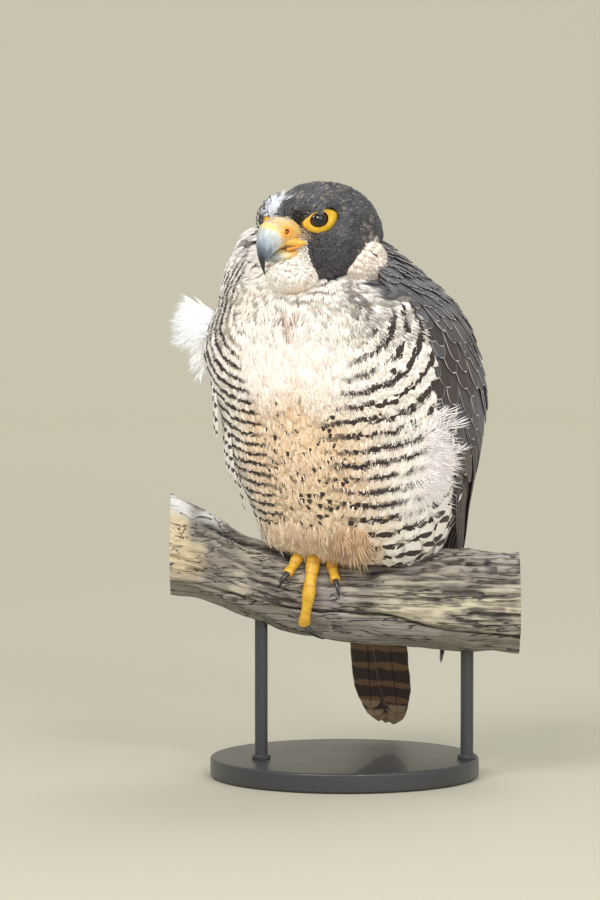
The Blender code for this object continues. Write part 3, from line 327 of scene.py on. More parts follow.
def grid_faces(rows: int, columns: int, closed: bool, flip: bool = False) -> Array:
    """Quads of a grid of vertices.

    Args:
        rows: Number of rows.
        columns: Number of vertices in a row.
        closed: Whether each row is a ring.
        flip: Whether the faces look the other way.

    Returns:
        One quad to a row.
    """
    k = np.arange(rows - 1)[:, None]
    i = np.arange(columns if closed else columns - 1)[None, :]
    j = (i + 1) % columns
    quads = np.stack(np.broadcast_arrays(k * columns + i, k * columns + j, (k + 1) * columns + j,
                                         (k + 1) * columns + i), axis=-1).reshape(-1, 4)
    return quads[:, ::-1] if flip else quads


def tube_rings(path: Array, radii: Array, sides: int, flat: float = 1.0, up: Union[Array, None] = None) -> Array:
    """Rings round a path.

    Args:
        path: Middle of each ring.
        radii: Radius of each ring.
        sides: Vertices in a ring.
        flat: Height of a ring as a share of its width.
        up: Direction to which a ring's height is turned.

    Returns:
        Rings of vertices.
    """
    ahead = unit(np.gradient(path, axis=0))
    lift = np.array((0.0, 0.0, 1.0)) if up is None else up
    lift = np.broadcast_to(lift, ahead.shape)
    across = unit(np.cross(ahead, lift) + 1e-6)
    lift = unit(np.cross(across, ahead))
    a = np.linspace(0, 2 * np.pi, sides, endpoint=False)
    ring = across[:, None] * np.cos(a)[None, :, None] + lift[:, None] * (np.sin(a) * flat)[None, :, None]
    return path[:, None] + ring * np.asarray(radii)[:, None, None]


def add_lathe(weave: Weave, rings: Array, **data: Array) -> None:
    """Adds a closed form over rings, its ends drawn to a point in their middle.

    Args:
        weave: Where the form goes.
        rings: Rings of vertices from one end to the other.
        **data: Values a vertex, given for the rings and carried to the ends.
    """
    rows, sides = rings.shape[:2]
    middle = rings.mean(axis=(0, 1))
    points = np.concatenate((rings.reshape(-1, 3), rings[0].mean(0)[None], rings[-1].mean(0)[None]))
    quads = grid_faces(rows, sides, True)
    i = np.arange(sides)
    j = (i + 1) % sides
    first = np.stack((j, i, np.full(sides, rows * sides)), axis=1)
    base = (rows - 1) * sides
    last = np.stack((base + i, base + j, np.full(sides, rows * sides + 1)), axis=1)
    mid = rings[rows // 2]
    turn = np.cross(mid[1] - mid[0], rings[min(rows // 2 + 1, rows - 1), 0] - rings[max(rows // 2 - 1, 0), 0])
    inward = float(turn @ (mid[0] - mid.mean(0))) < 0
    extra = {k: np.concatenate((v, v[:1], v[-1:])) for k, v in data.items()}
    start = weave.count
    weave.add(points, quads[:, ::-1] if inward else quads, **extra)
    for cap in (first, last):
        weave.faces.append((cap[:, ::-1] if inward else cap) + start)
    del middle


def mesh_object(name: str, mesh: bpy.types.Mesh, *materials: bpy.types.Material) -> bpy.types.Object:
    """An object for a mesh, in the scene, with its materials."""
    obj = bpy.data.objects.new(name, mesh)
    bpy.context.scene.collection.objects.link(obj)
    for material in materials:
        obj.data.materials.append(material)
    return obj


def fit_piece(obj: bpy.types.Object, slot: str, *nodes: str) -> bpy.types.Object:
    """Fixes a finished piece to the frame and reports it.

    Args:
        obj: The piece.
        slot: Material slot of the record; not used.
        *nodes: Nodes of the solids that the piece stands for.

    Returns:
        The same piece.
    """
    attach(obj, ROOT)
    if nodes:
        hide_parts(*nodes)
    triangles = sum(len(p.vertices) - 2 for p in obj.data.polygons)
    log.info("%s: %d triangles for %s", obj.name, triangles, ", ".join(nodes) or "the looks alone")
    return obj


# Shader language


class Socket:
    """A shader socket or number that takes part in sums as a Python value does."""

    def __init__(self, paint: "Paint", link: object) -> None:
        """Wraps a socket of a material.

        Args:
            paint: The material's node builder.
            link: The output socket, or a number.
        """
        self.paint = paint
        self.link = link

    def _do(self, operation: str, *values: object) -> "Socket":
        """One Math node."""
        return self.paint.node("ShaderNodeMath", {"operation": operation}, dict(enumerate(values)))

    def __add__(self, other: object) -> "Socket":
        """Sum."""
        return self._do("ADD", self, other)

    def __radd__(self, other: object) -> "Socket":
        """Sum with the socket on the right."""
        return self._do("ADD", other, self)

    def __sub__(self, other: object) -> "Socket":
        """Difference."""
        return self._do("SUBTRACT", self, other)

    def __rsub__(self, other: object) -> "Socket":
        """Difference with the socket on the right."""
        return self._do("SUBTRACT", other, self)

    def __mul__(self, other: object) -> "Socket":
        """Product."""
        return self._do("MULTIPLY", self, other)

    def __rmul__(self, other: object) -> "Socket":
        """Product with the socket on the right."""
        return self._do("MULTIPLY", other, self)

    def __truediv__(self, other: object) -> "Socket":
        """Quotient."""
        return self._do("DIVIDE", self, other)

    def __pow__(self, other: object) -> "Socket":
        """Power."""
        return self._do("POWER", self, other)

    def __abs__(self) -> "Socket":
        """Size without its sign."""
        return self._do("ABSOLUTE", self)

    def sine(self) -> "Socket":
        """Sine."""
        return self._do("SINE", self)

    def least(self, other: object) -> "Socket":
        """The smaller of two."""
        return self._do("MINIMUM", self, other)

    def most(self, other: object) -> "Socket":
        """The larger of two."""
        return self._do("MAXIMUM", self, other)

    def over(self, low: float, high: float) -> "Socket":
        """Eased 0 to 1 while the value goes from low to high."""
        settings = {"interpolation_type": "SMOOTHSTEP", "clamp": True}
        if low < high:
            values = {"Value": self, "From Min": low, "From Max": high, "To Min": 0.0, "To Max": 1.0}
        else:
            values = {"Value": self, "From Min": high, "From Max": low, "To Min": 1.0, "To Max": 0.0}
        return self.paint.node("ShaderNodeMapRange", settings, values)


class Paint:
    """Builds one material's nodes."""

    def __init__(self, name: str) -> None:
        """Starts a material with its Principled shader.

        Args:
            name: Name of the material.
        """
        self.material = bpy.data.materials.new(name)
        self.material.use_nodes = True
        self.tree = self.material.node_tree
        self.shader = self.tree.nodes["Principled BSDF"]

    def node(self, kind: str, settings: dict, values: dict, output: Union[int, str] = 0) -> Socket:
        """Adds a node.

        Args:
            kind: Type of the node.
            settings: Properties that are set first.
            values: Values or links of its sockets, by name or number.
            output: Which output is wanted.

        Returns:
            That output.
        """
        made = self.tree.nodes.new(kind)
        for key, value in settings.items():
            if key == "stops":
                ramp = made.color_ramp
                while len(ramp.elements) < len(value):
                    ramp.elements.new(1.0)
                for element, (place, colour) in zip(ramp.elements, value):
                    element.position = place
                    element.color = (*colour, 1.0)
            else:
                setattr(made, key, value)
        for key, value in values.items():
            self._set(made.inputs[key], value)
        return Socket(self, made.outputs[output])

    def _set(self, socket: bpy.types.NodeSocket, value: object) -> None:
        """Links or sets one input."""
        if isinstance(value, Socket):
            self.tree.links.new(value.link, socket)
        elif isinstance(value, (tuple, list)) and len(value) == 3 and socket.type == "RGBA":
            socket.default_value = (*value, 1.0)
        else:
            socket.default_value = value

    def put(self, name: str, value: object) -> None:
        """Sets or links an input of the shader."""
        self._set(self.shader.inputs[name], value)

    def attribute(self, name: str, output: str = "Fac") -> Socket:
        """An attribute of the mesh."""
        return self.node("ShaderNodeAttribute", {"attribute_name": name}, {}, output)

    def place(self) -> Socket:
        """Object coordinates."""
        return self.node("ShaderNodeTexCoord", {}, {}, "Object")

    def stretched(self, vector: Socket, scale: Colour, turn: Colour = (0.0, 0.0, 0.0)) -> Socket:
        """Coordinates scaled and turned."""
        return self.node("ShaderNodeMapping", {}, {"Vector": vector, "Scale": scale, "Rotation": turn})

    def parts(self, vector: Socket) -> tuple[Socket, Socket, Socket]:
        """The three numbers of a vector."""
        made = self.tree.nodes.new("ShaderNodeSeparateXYZ")
        self.tree.links.new(vector.link, made.inputs[0])
        return tuple(Socket(self, made.outputs[i]) for i in range(3))

    def noise(self, vector: Socket, scale: float, detail: float = 3.0, rough: float = 0.55) -> Socket:
        """Noise from 0 to 1."""
        values = {"Vector": vector, "Scale": scale, "Detail": detail, "Roughness": rough}
        return self.node("ShaderNodeTexNoise", {}, values, "Fac")

    def cells(self, vector: Socket, scale: float, output: str = "Distance", random: float = 1.0) -> Socket:
        """Distance to the nearest of scattered points."""
        return self.node("ShaderNodeTexVoronoi", {}, {"Vector": vector, "Scale": scale, "Randomness": random}, output)

    def blend(self, share: object, a: object, b: object, way: str = "MIX") -> Socket:
        """Colour between two others."""
        made = self.tree.nodes.new("ShaderNodeMix")
        made.data_type = "RGBA"
        made.blend_type = way
        made.clamp_factor = True
        self._set(made.inputs[0], share)
        self._set(made.inputs[6], a)
        self._set(made.inputs[7], b)
        return Socket(self, made.outputs[2])

    def bump(self, height: Socket, depth: float, strength: float = 1.0) -> None:
        """Feeds a height to the shader's normal."""
        values = {"Height": height, "Distance": depth, "Strength": strength}
        self.put("Normal", self.node("ShaderNodeBump", {}, values, "Normal"))


# Finishes


@dataclass(frozen=True)
class PlumageFinish:
    """Matt feather with bars, spots, a pale rim and barbs, and a faint glow in its own colour that is painted light."""

    name: str
    bar: Colour = (0.052, 0.038, 0.032)
    rim: Colour = (0.60, 0.55, 0.50)
    rim_side: float = 0.86
    rim_tip: float = 0.955
    bar_period: float = 8.6
    duty: tuple[float, float] = (0.22, 0.42)
    streak: float = 0.16
    roughness: float = 0.78
    shaft: float = 0.0
    # Strength of the glow: painted light that lifts the shade between the feathers.
    glow: float = 0.10

    def make(self) -> bpy.types.Material:
        """Builds the material."""
        p = Paint(self.name)
        tint = p.attribute("tint", "Color")
        bars, spots, rim = p.parts(p.attribute("marks", "Vector"))
        chance = p.attribute("chance")
        vane = p.node("ShaderNodeUVMap", {"uv_map": "vane_uv"}, {})
        across, along, _ = p.parts(vane)
        place = p.place()
        side = abs(across * 2.0 - 1.0)
        ragged = p.noise(place, 420.0, 2.0)
        wobble = p.noise(place, 48.0, 2.0)
        phase = p.attribute("flow") / self.bar_period + (wobble - 0.5) * 0.50 + (chance - 0.5) * 0.30
        phase = phase + (ragged - 0.5) * 0.16
        wave = (phase * (2 * math.pi)).sine() - side * side * 0.55
        bar = wave.over(*self.duty) * bars
        away = ((side * 0.80) ** 2.0 + (abs(along - 0.82) * 5.2) ** 2.0) ** 0.5
        spot = (away + (ragged - 0.5) * 0.30).over(0.72, 0.56) * spots
        colour = p.blend((bar.most(spot)).least(1.0), tint, self.bar)
        loose = (ragged - 0.5) * 0.05
        edge = (side + loose).over(self.rim_side, self.rim_side + 0.05)
        tip = (along + loose * 0.4).over(self.rim_tip, self.rim_tip + 0.015)
        colour = p.blend(edge.most(tip) * rim, colour, self.rim)
        lines = p.noise(p.stretched(vane, (26.0, 2.2, 1.0)), 1.0, 3.0)
        shade = (lines - 0.5) * self.streak * 2.0 + (chance - 0.5) * 0.08
        if self.shaft:
            quill = (across - 0.5 + (ragged - 0.5) * 0.02).over(-0.035, -0.015)
            quill = quill * (across - 0.5).over(0.035, 0.015) * self.shaft
            colour = p.blend(quill, colour, (0.012, 0.010, 0.009))
        bright = p.blend(shade.over(0.0, 0.5), colour, (1.0, 0.98, 0.95), "SOFT_LIGHT")
        dark = p.blend((shade * -1.0).over(0.0, 0.5), bright, (0.10, 0.09, 0.08), "MULTIPLY")
        p.put("Base Color", dark)
        # Painted light: the feathers glow in their own colour, in place of light shining through them, and this lifts
        # the shade between them.
        p.put("Emission Color", dark)
        p.put("Emission Strength", self.glow)
        p.put("Roughness", self.roughness)
        p.put("Specular IOR Level", 0.22)
        p.put("Sheen Weight", 0.10)
        p.put("Sheen Roughness", 0.5)
        p.bump(lines, 0.0002, 0.5)
        return p.material


@dataclass(frozen=True)
class SkinFinish:
    """Bare yellow skin of feet, cere and lids, with fine scales."""

    name: str
    colour: Colour = (0.78, 0.46, 0.020)
    deep: Colour = (0.62, 0.26, 0.012)
    scale: float = 520.0
    depth: float = 0.00022
    mottled: float = 0.45
    roughness: float = 0.42

    def make(self) -> bpy.types.Material:
        """Builds the material. The tint attribute is laid over the plain colour."""
        p = Paint(self.name)
        place = p.place()
        tint = p.attribute("tint", "Color")
        scales = p.cells(place, self.scale)
        patch = p.noise(place, 130.0, 4.0)
        colour = p.blend(patch.over(0.42, 0.68) * self.mottled, self.colour, self.deep)
        colour = p.blend(scales.over(0.42, 0.70) * 0.35, colour, self.deep)
        colour = p.blend(1.0, colour, tint, "MULTIPLY")
        p.put("Base Color", colour)
        p.put("Roughness", patch * 0.2 + (self.roughness - 0.08))
        p.put("Coat Weight", 0.08)
        p.put("Subsurface Weight", 0.08)
        p.put("Subsurface Radius", (0.0012, 0.0006, 0.0002))
        p.bump(scales, self.depth, 0.7)
        return p.material


@dataclass(frozen=True)
class HornFinish:
    """Horn of the bill and claws. The tint attribute carries its colour."""

    name: str
    streak: Colour = (420.0, 420.0, 60.0)
    light: float = 0.35
    roughness: float = 0.34
    coat: float = 0.25

    def make(self) -> bpy.types.Material:
        """Builds the material."""
        p = Paint(self.name)
        tint = p.attribute("tint", "Color")
        place = p.place()
        lines = p.noise(p.stretched(place, self.streak), 1.0, 4.0, 0.6)
        flecks = p.noise(place, 900.0, 2.0)
        colour = p.blend((lines.over(0.52, 0.74)) * self.light, tint, (0.74, 0.76, 0.78))
        colour = p.blend(flecks.over(0.58, 0.70) * self.light * 0.6, colour, (0.05, 0.05, 0.055))
        p.put("Base Color", colour)
        p.put("Roughness", lines * 0.25 + (self.roughness - 0.1))
        p.put("Coat Weight", self.coat)
        p.bump(lines, 0.00008, 0.5)
        return p.material


@dataclass(frozen=True)
class EyeFinish:
    """Dark wet eye with a brown iris and a black pupil."""

    name: str
    iris: Colour = (0.030, 0.012, 0.006)
    pupil: Colour = (0.002, 0.002, 0.003)

    def make(self) -> bpy.types.Material:
        """Builds the material. The chance attribute is the distance from the eye's axis."""
        p = Paint(self.name)
        from_axis = p.attribute("chance")
        fibres = p.noise(p.place(), 900.0, 3.0)
        ring = (from_axis + (fibres - 0.5) * 0.05).over(0.40, 0.46)
        colour = p.blend(ring, self.pupil, self.iris)
        colour = p.blend(from_axis.over(0.66, 0.78), colour, (0.008, 0.006, 0.006))
        p.put("Base Color", colour)
        p.put("Roughness", 0.10)
        p.put("Coat Weight", 0.85)
        p.put("Coat Roughness", 0.02)
        p.put("Specular IOR Level", 0.2)
        return p.material


@dataclass(frozen=True)
class WoodFinish:
    """Bare weathered wood. The tint attribute carries its bands."""

    name: str
    roughness: float = 0.86

    def make(self) -> bpy.types.Material:
        """Builds the material."""
        p = Paint(self.name)
        tint = p.attribute("tint", "Color")
        place = p.place()
        fine = p.noise(p.stretched(place, (60.0, 620.0, 620.0)), 1.0, 5.0, 0.65)
        dust = p.noise(place, 1300.0, 2.0)
        grain = p.noise(p.stretched(place, (9.0, 120.0, 120.0)), 1.0, 3.0, 0.60)
        split = abs(grain - 0.5).over(0.022, 0.005)
        colour = p.blend(fine.over(0.50, 0.68) * 0.40, tint, (0.50, 0.47, 0.42), "MIX")
        colour = p.blend(fine.over(0.45, 0.32) * 0.55, colour, (0.10, 0.09, 0.08), "MULTIPLY")
        colour = p.blend(split * 0.85, colour, (0.030, 0.025, 0.022))
        colour = p.blend(dust.over(0.60, 0.72) * 0.25, colour, (0.03, 0.028, 0.026))
        p.put("Base Color", colour)
        p.put("Roughness", self.roughness)
        p.put("Specular IOR Level", 0.25)
        p.bump(fine * 0.6 + dust * 0.15 - split * 0.5, 0.0009, 0.9)
        return p.material


@dataclass(frozen=True)
class StandFinish:
    """Satin dark paint on steel."""

    name: str
    colour: Colour = (0.040, 0.040, 0.042)

    def make(self) -> bpy.types.Material:
        """Builds the material."""
        p = Paint(self.name)
        speck = p.noise(p.place(), 700.0, 4.0)
        cloud = p.noise(p.place(), 22.0, 3.0)
        p.put("Base Color", p.blend(speck.over(0.5, 0.8) * 0.5, self.colour, (0.075, 0.075, 0.077)))
        p.put("Roughness", cloud * 0.16 + 0.34)
        p.put("Metallic", 0.0)
        p.put("Coat Weight", 0.15)
        p.bump(speck, 0.00006, 0.4)
        return p.material


@dataclass(frozen=True)
class StageFinish:
    """Plain pale surface of the floor and the backdrop, which glow more the farther back they lie: painted light."""

    name: str
    colour: Colour = (0.52, 0.49, 0.385)

    def make(self) -> bpy.types.Material:
        """Builds the material."""
        p = Paint(self.name)
        p.put("Base Color", p.blend(p.noise(p.place(), 3.0) * 0.06, self.colour, (0.46, 0.43, 0.34)))
        # Painted light: the emission grows from none at 0.6 m to the full colour at 3.6 m back, so the far floor and
        # the backdrop glow.
        far = p.parts(p.place())[1].over(0.6, 3.6)
        p.put("Emission Color", p.blend(far, (0.0, 0.0, 0.0), self.colour))
        p.put("Emission Strength", 0.40)
        p.put("Roughness", 0.9)
        return p.material


# Forms of the bird, the same as those of the solids


@dataclass(frozen=True)
class TorsoForm:
    """Outline of the body, keyed by height above the top of the wood."""

    front: Keys = ((-6, -5), (0, 22), (15, 42), (40, 60), (75, 74), (110, 81), (140, 82), (160, 77), (175, 69),
                   (190, 58), (205, 42), (212, 30))
    back: Keys = ((-6, -35), (0, -58), (15, -72), (40, -82), (75, -84), (110, -80), (140, -70), (160, -56),
                  (175, -42), (190, -26), (205, -8), (212, 2))
    middle: Keys = ((-6, -20), (0, -20), (20, -22), (60, -12), (100, -2), (140, 8), (170, 15), (205, 15), (212, 15))
    half_right: Keys = ((-6, 15), (0, 48), (8, 55), (20, 60), (39, 65), (64, 72), (95, 77), (126, 84), (138, 81),
                        (157, 72), (175, 69), (194, 62), (201, 58), (207, 44), (212, 18))
    half_left: Keys = ((-6, 15), (0, 48), (8, 54), (20, 60), (33, 66), (64, 76), (107, 84), (135, 79), (154, 71),
                       (164, 62), (172, 54), (180, 46), (188, 38), (194, 33), (205, 24), (212, 14))
    section_power: float = 2.3

    def surface(self, z: Number, angle: Number, lift: Number = 0.0) -> Array:
        """World places on the body.

        Args:
            z: Heights above the top of the wood.
            angle: Angles from the front round to the left side.
            lift: Distance from the surface, outward.

        Returns:
            One place to a row.
        """
        z, angle = np.broadcast_arrays(np.asarray(z, float), np.asarray(angle, float))
        here = self._bare(z, angle)
        if np.any(np.asarray(lift) != 0):
            here = here + self.outward(z, angle) * np.asarray(lift)[..., None]
        return here

    def _bare(self, z: Array, angle: Array) -> Array:
        """Places on the surface itself."""
        c = np.cos(angle)
        s = np.sin(angle)
        c = np.sign(c) * np.abs(c) ** (2 / self.section_power)
        s = np.sign(s) * np.abs(s) ** (2 / self.section_power)
        middle = Profile(self.middle)(z)
        reach = np.where(c > 0, Profile(self.front)(z) - middle, middle - Profile(self.back)(z))
        half = np.where(s > 0, Profile(self.half_left)(z), Profile(self.half_right)(z))
        return BODY.place(middle + reach * c, half * s, z)

    def outward(self, z: Array, angle: Array) -> Array:
        """Directions away from the surface."""
        round_it = self._bare(z, angle + 0.03) - self._bare(z, angle - 0.03)
        up = self._bare(z + 0.8, angle) - self._bare(z - 0.8, angle)
        return unit(np.cross(round_it, up))

    def angle_of(self, points: Array) -> tuple[Array, Array]:
        """Angle and height of world places near the body."""
        forward, left, up = BODY.local(points)
        return np.arctan2(left, forward - Profile(self.middle)(up)), up


@dataclass(frozen=True)
class HeadForm:
    """Form of the head, given by its radii and soft bumps."""

    front: float = 37.0
    back: float = 43.0
    side: float = 33.5
    up: float = 31.6
    down: float = 34.0
    bumps: tuple = ((27, 23, 16, 7.2, 7.0), (25, 19, 7, -3.4, 5.0), (34, 9, 2, -1.2, 7.0), (6, 29, -13, 2.4, 12.0),
                    (33, 0, -25, 7.5, 10.0), (33, 0, 17, 1.6, 8.0))

    def local(self, direction: Array, lift: Number = 0.0) -> Array:
        """Places on the head as forward, left and up from its middle.

        Args:
            direction: Unit directions as forward, left, up.
            lift: Distance from the surface, outward.

        Returns:
            One place to a row.
        """
        f, s, u = direction[..., 0], direction[..., 1], direction[..., 2]
        length = np.where(f > 0, self.front, self.back)
        height = np.where(u > 0, self.up, self.down)
        taper = 1 - 0.20 * np.maximum(f, 0) ** 2
        reach = 1 / np.sqrt((f / length) ** 2 + (s / (self.side * taper)) ** 2 + (u / height) ** 2)
        point = direction * reach[..., None]
        grow = np.zeros(f.shape)
        for bf, bs, bu, high, spread in self.bumps:
            near = (point[..., 0] - bf) ** 2 + (np.abs(point[..., 1]) - bs) ** 2 + (point[..., 2] - bu) ** 2
            grow += high * np.exp(-near / (2 * spread**2))
        return direction * (reach + grow + lift)[..., None]

    def direction(self, theta: Number, phi: Number) -> Array:
        """Unit directions at angles round from the bill and up from level."""
        theta, phi = np.broadcast_arrays(np.asarray(theta, float), np.asarray(phi, float))
        return np.stack((np.cos(phi) * np.cos(theta), np.cos(phi) * np.sin(theta), np.sin(phi)), axis=-1)

    def surface(self, theta: Number, phi: Number, lift: Number = 0.0) -> Array:
        """World places on the head."""
        local = self.local(self.direction(theta, phi), lift)
        return HEAD.place(local[..., 0], local[..., 1], local[..., 2])

    def outward(self, theta: Array, phi: Array) -> Array:
        """Directions away from the head."""
        east = self.surface(theta + 0.03, phi) - self.surface(theta - 0.03, phi)
        north = self.surface(theta, phi + 0.03) - self.surface(theta, phi - 0.03)
        return unit(np.cross(east, north))

    def angles_of(self, points: Array) -> tuple[Array, Array]:
        """Angles round and up of world places near the head."""
        f, s, u = HEAD.local(points)
        return np.arctan2(s, f), np.arctan2(u, np.hypot(f, s))


@dataclass(frozen=True)
class WingForm:
    """Curved sheet on which one folded wing lies."""

    side: int
    middle: Keys = ((-77, -90), (-40, -72), (3, -50), (33, -20), (64, -12), (101, -2), (135, 7), (154, 11),
                    (172, 15), (190, 15), (205, 15))
    left_side: Keys = ((-77, 30), (-40, 43), (3, 57), (33, 69), (64, 77), (101, 85), (135, 80), (154, 70.5),
                       (172, 52), (190, 31), (205, 18))
    right_side: Keys = ((-77, 26), (-40, 38), (3, 51), (33, 61), (64, 68), (101, 74), (135, 76), (154, 69),
                        (172, 65), (190, 57), (198, 52), (205, 38))
    front: Keys = ((-77, 20), (-40, 34), (3, 50), (33, 60), (64, 73), (101, 76), (135, 72), (154, 62),
                   (172, 52), (190, 40), (205, 24))
    back: Keys = ((-77, 12), (-40, 24), (3, 34), (33, 66), (64, 78), (101, 84), (135, 80), (154, 72),
                  (172, 58), (190, 36), (205, 20))
    lead_left: Keys = ((-77, 97), (-20, 96), (3, 86), (33, 80), (58, 70), (76, 58), (100, 47), (138, 49),
                       (170, 52), (190, 60), (205, 66))
    lead_right: Keys = ((-77, 99), (-20, 98), (3, 93), (33, 90), (60, 86), (100, 81), (140, 79), (172, 66),
                        (190, 58), (205, 56))
    shift_back: Keys = ((-77, 13), (-40, 5), (3, 0), (205, 0))
    dorsal: float = 175.0

    def lead(self, z: Number) -> Array:
        """Angle of the leading edge at a height."""
        return np.radians(Profile(self.lead_left if self.side > 0 else self.lead_right)(z))

    def angle(self, z: Number, share: Number) -> Array:
        """Angle at a share of the way from the leading edge to the back edge."""
        return mix(self.lead(z), math.radians(self.dorsal), share)

    def _bare(self, z: Array, angle: Array) -> Array:
        """Places on the sheet itself."""
        c = np.cos(angle)
        s = np.sin(angle)
        middle = Profile(self.middle)(z)
        if self.side < 0:
            middle = middle - Profile(self.shift_back)(z)
        reach = np.where(c > 0, Profile(self.front)(z), Profile(self.back)(z))
        half = Profile(self.left_side if self.side > 0 else self.right_side)(z)
        return BODY.place(middle + reach * c, self.side * half * s, z)

    def surface(self, z: Number, angle: Number, lift: Number = 0.0) -> tuple[Array, Array]:
        """Places over the sheet and how far one radian goes there.

        Args:
            z: Heights.
            angle: Angles from the front round to the back.
            lift: Distance from the sheet, outward.

        Returns:
            The places and the reach of one radian.
        """
        z, angle = np.broadcast_arrays(np.asarray(z, float), np.asarray(angle, float))
        here = self._bare(z, angle)
        turn = (self._bare(z, angle + 0.02) - self._bare(z, angle - 0.02)) / 0.04
        rise = (self._bare(z + 0.6, angle) - self._bare(z - 0.6, angle)) / 1.2
        normal = unit(np.cross(turn, rise) * self.side)
        return here + normal * np.asarray(lift)[..., None], np.maximum(np.linalg.norm(turn, axis=-1), 8.0)


TORSO = TorsoForm()
SKULL = HeadForm()
WING_LEFT = WingForm(1)
WING_RIGHT = WingForm(-1)
SWELLS = (
    ((36.0, 9.0, -25.0), (15.0, 15.5, 10.5)),
    ((-8.0, 27.5, -17.5), (15.0, 14.0, 15.0)),
    ((-15.0, -19.0, -17.0), (15.0, 14.0, 15.0)),
    ((27.0, -21.5, 9.5), (6.5, 5.5, 9.0)),
    ((26.0, 14.0, 17.0), (6.0, 5.0, 5.0)),
)


# Markings


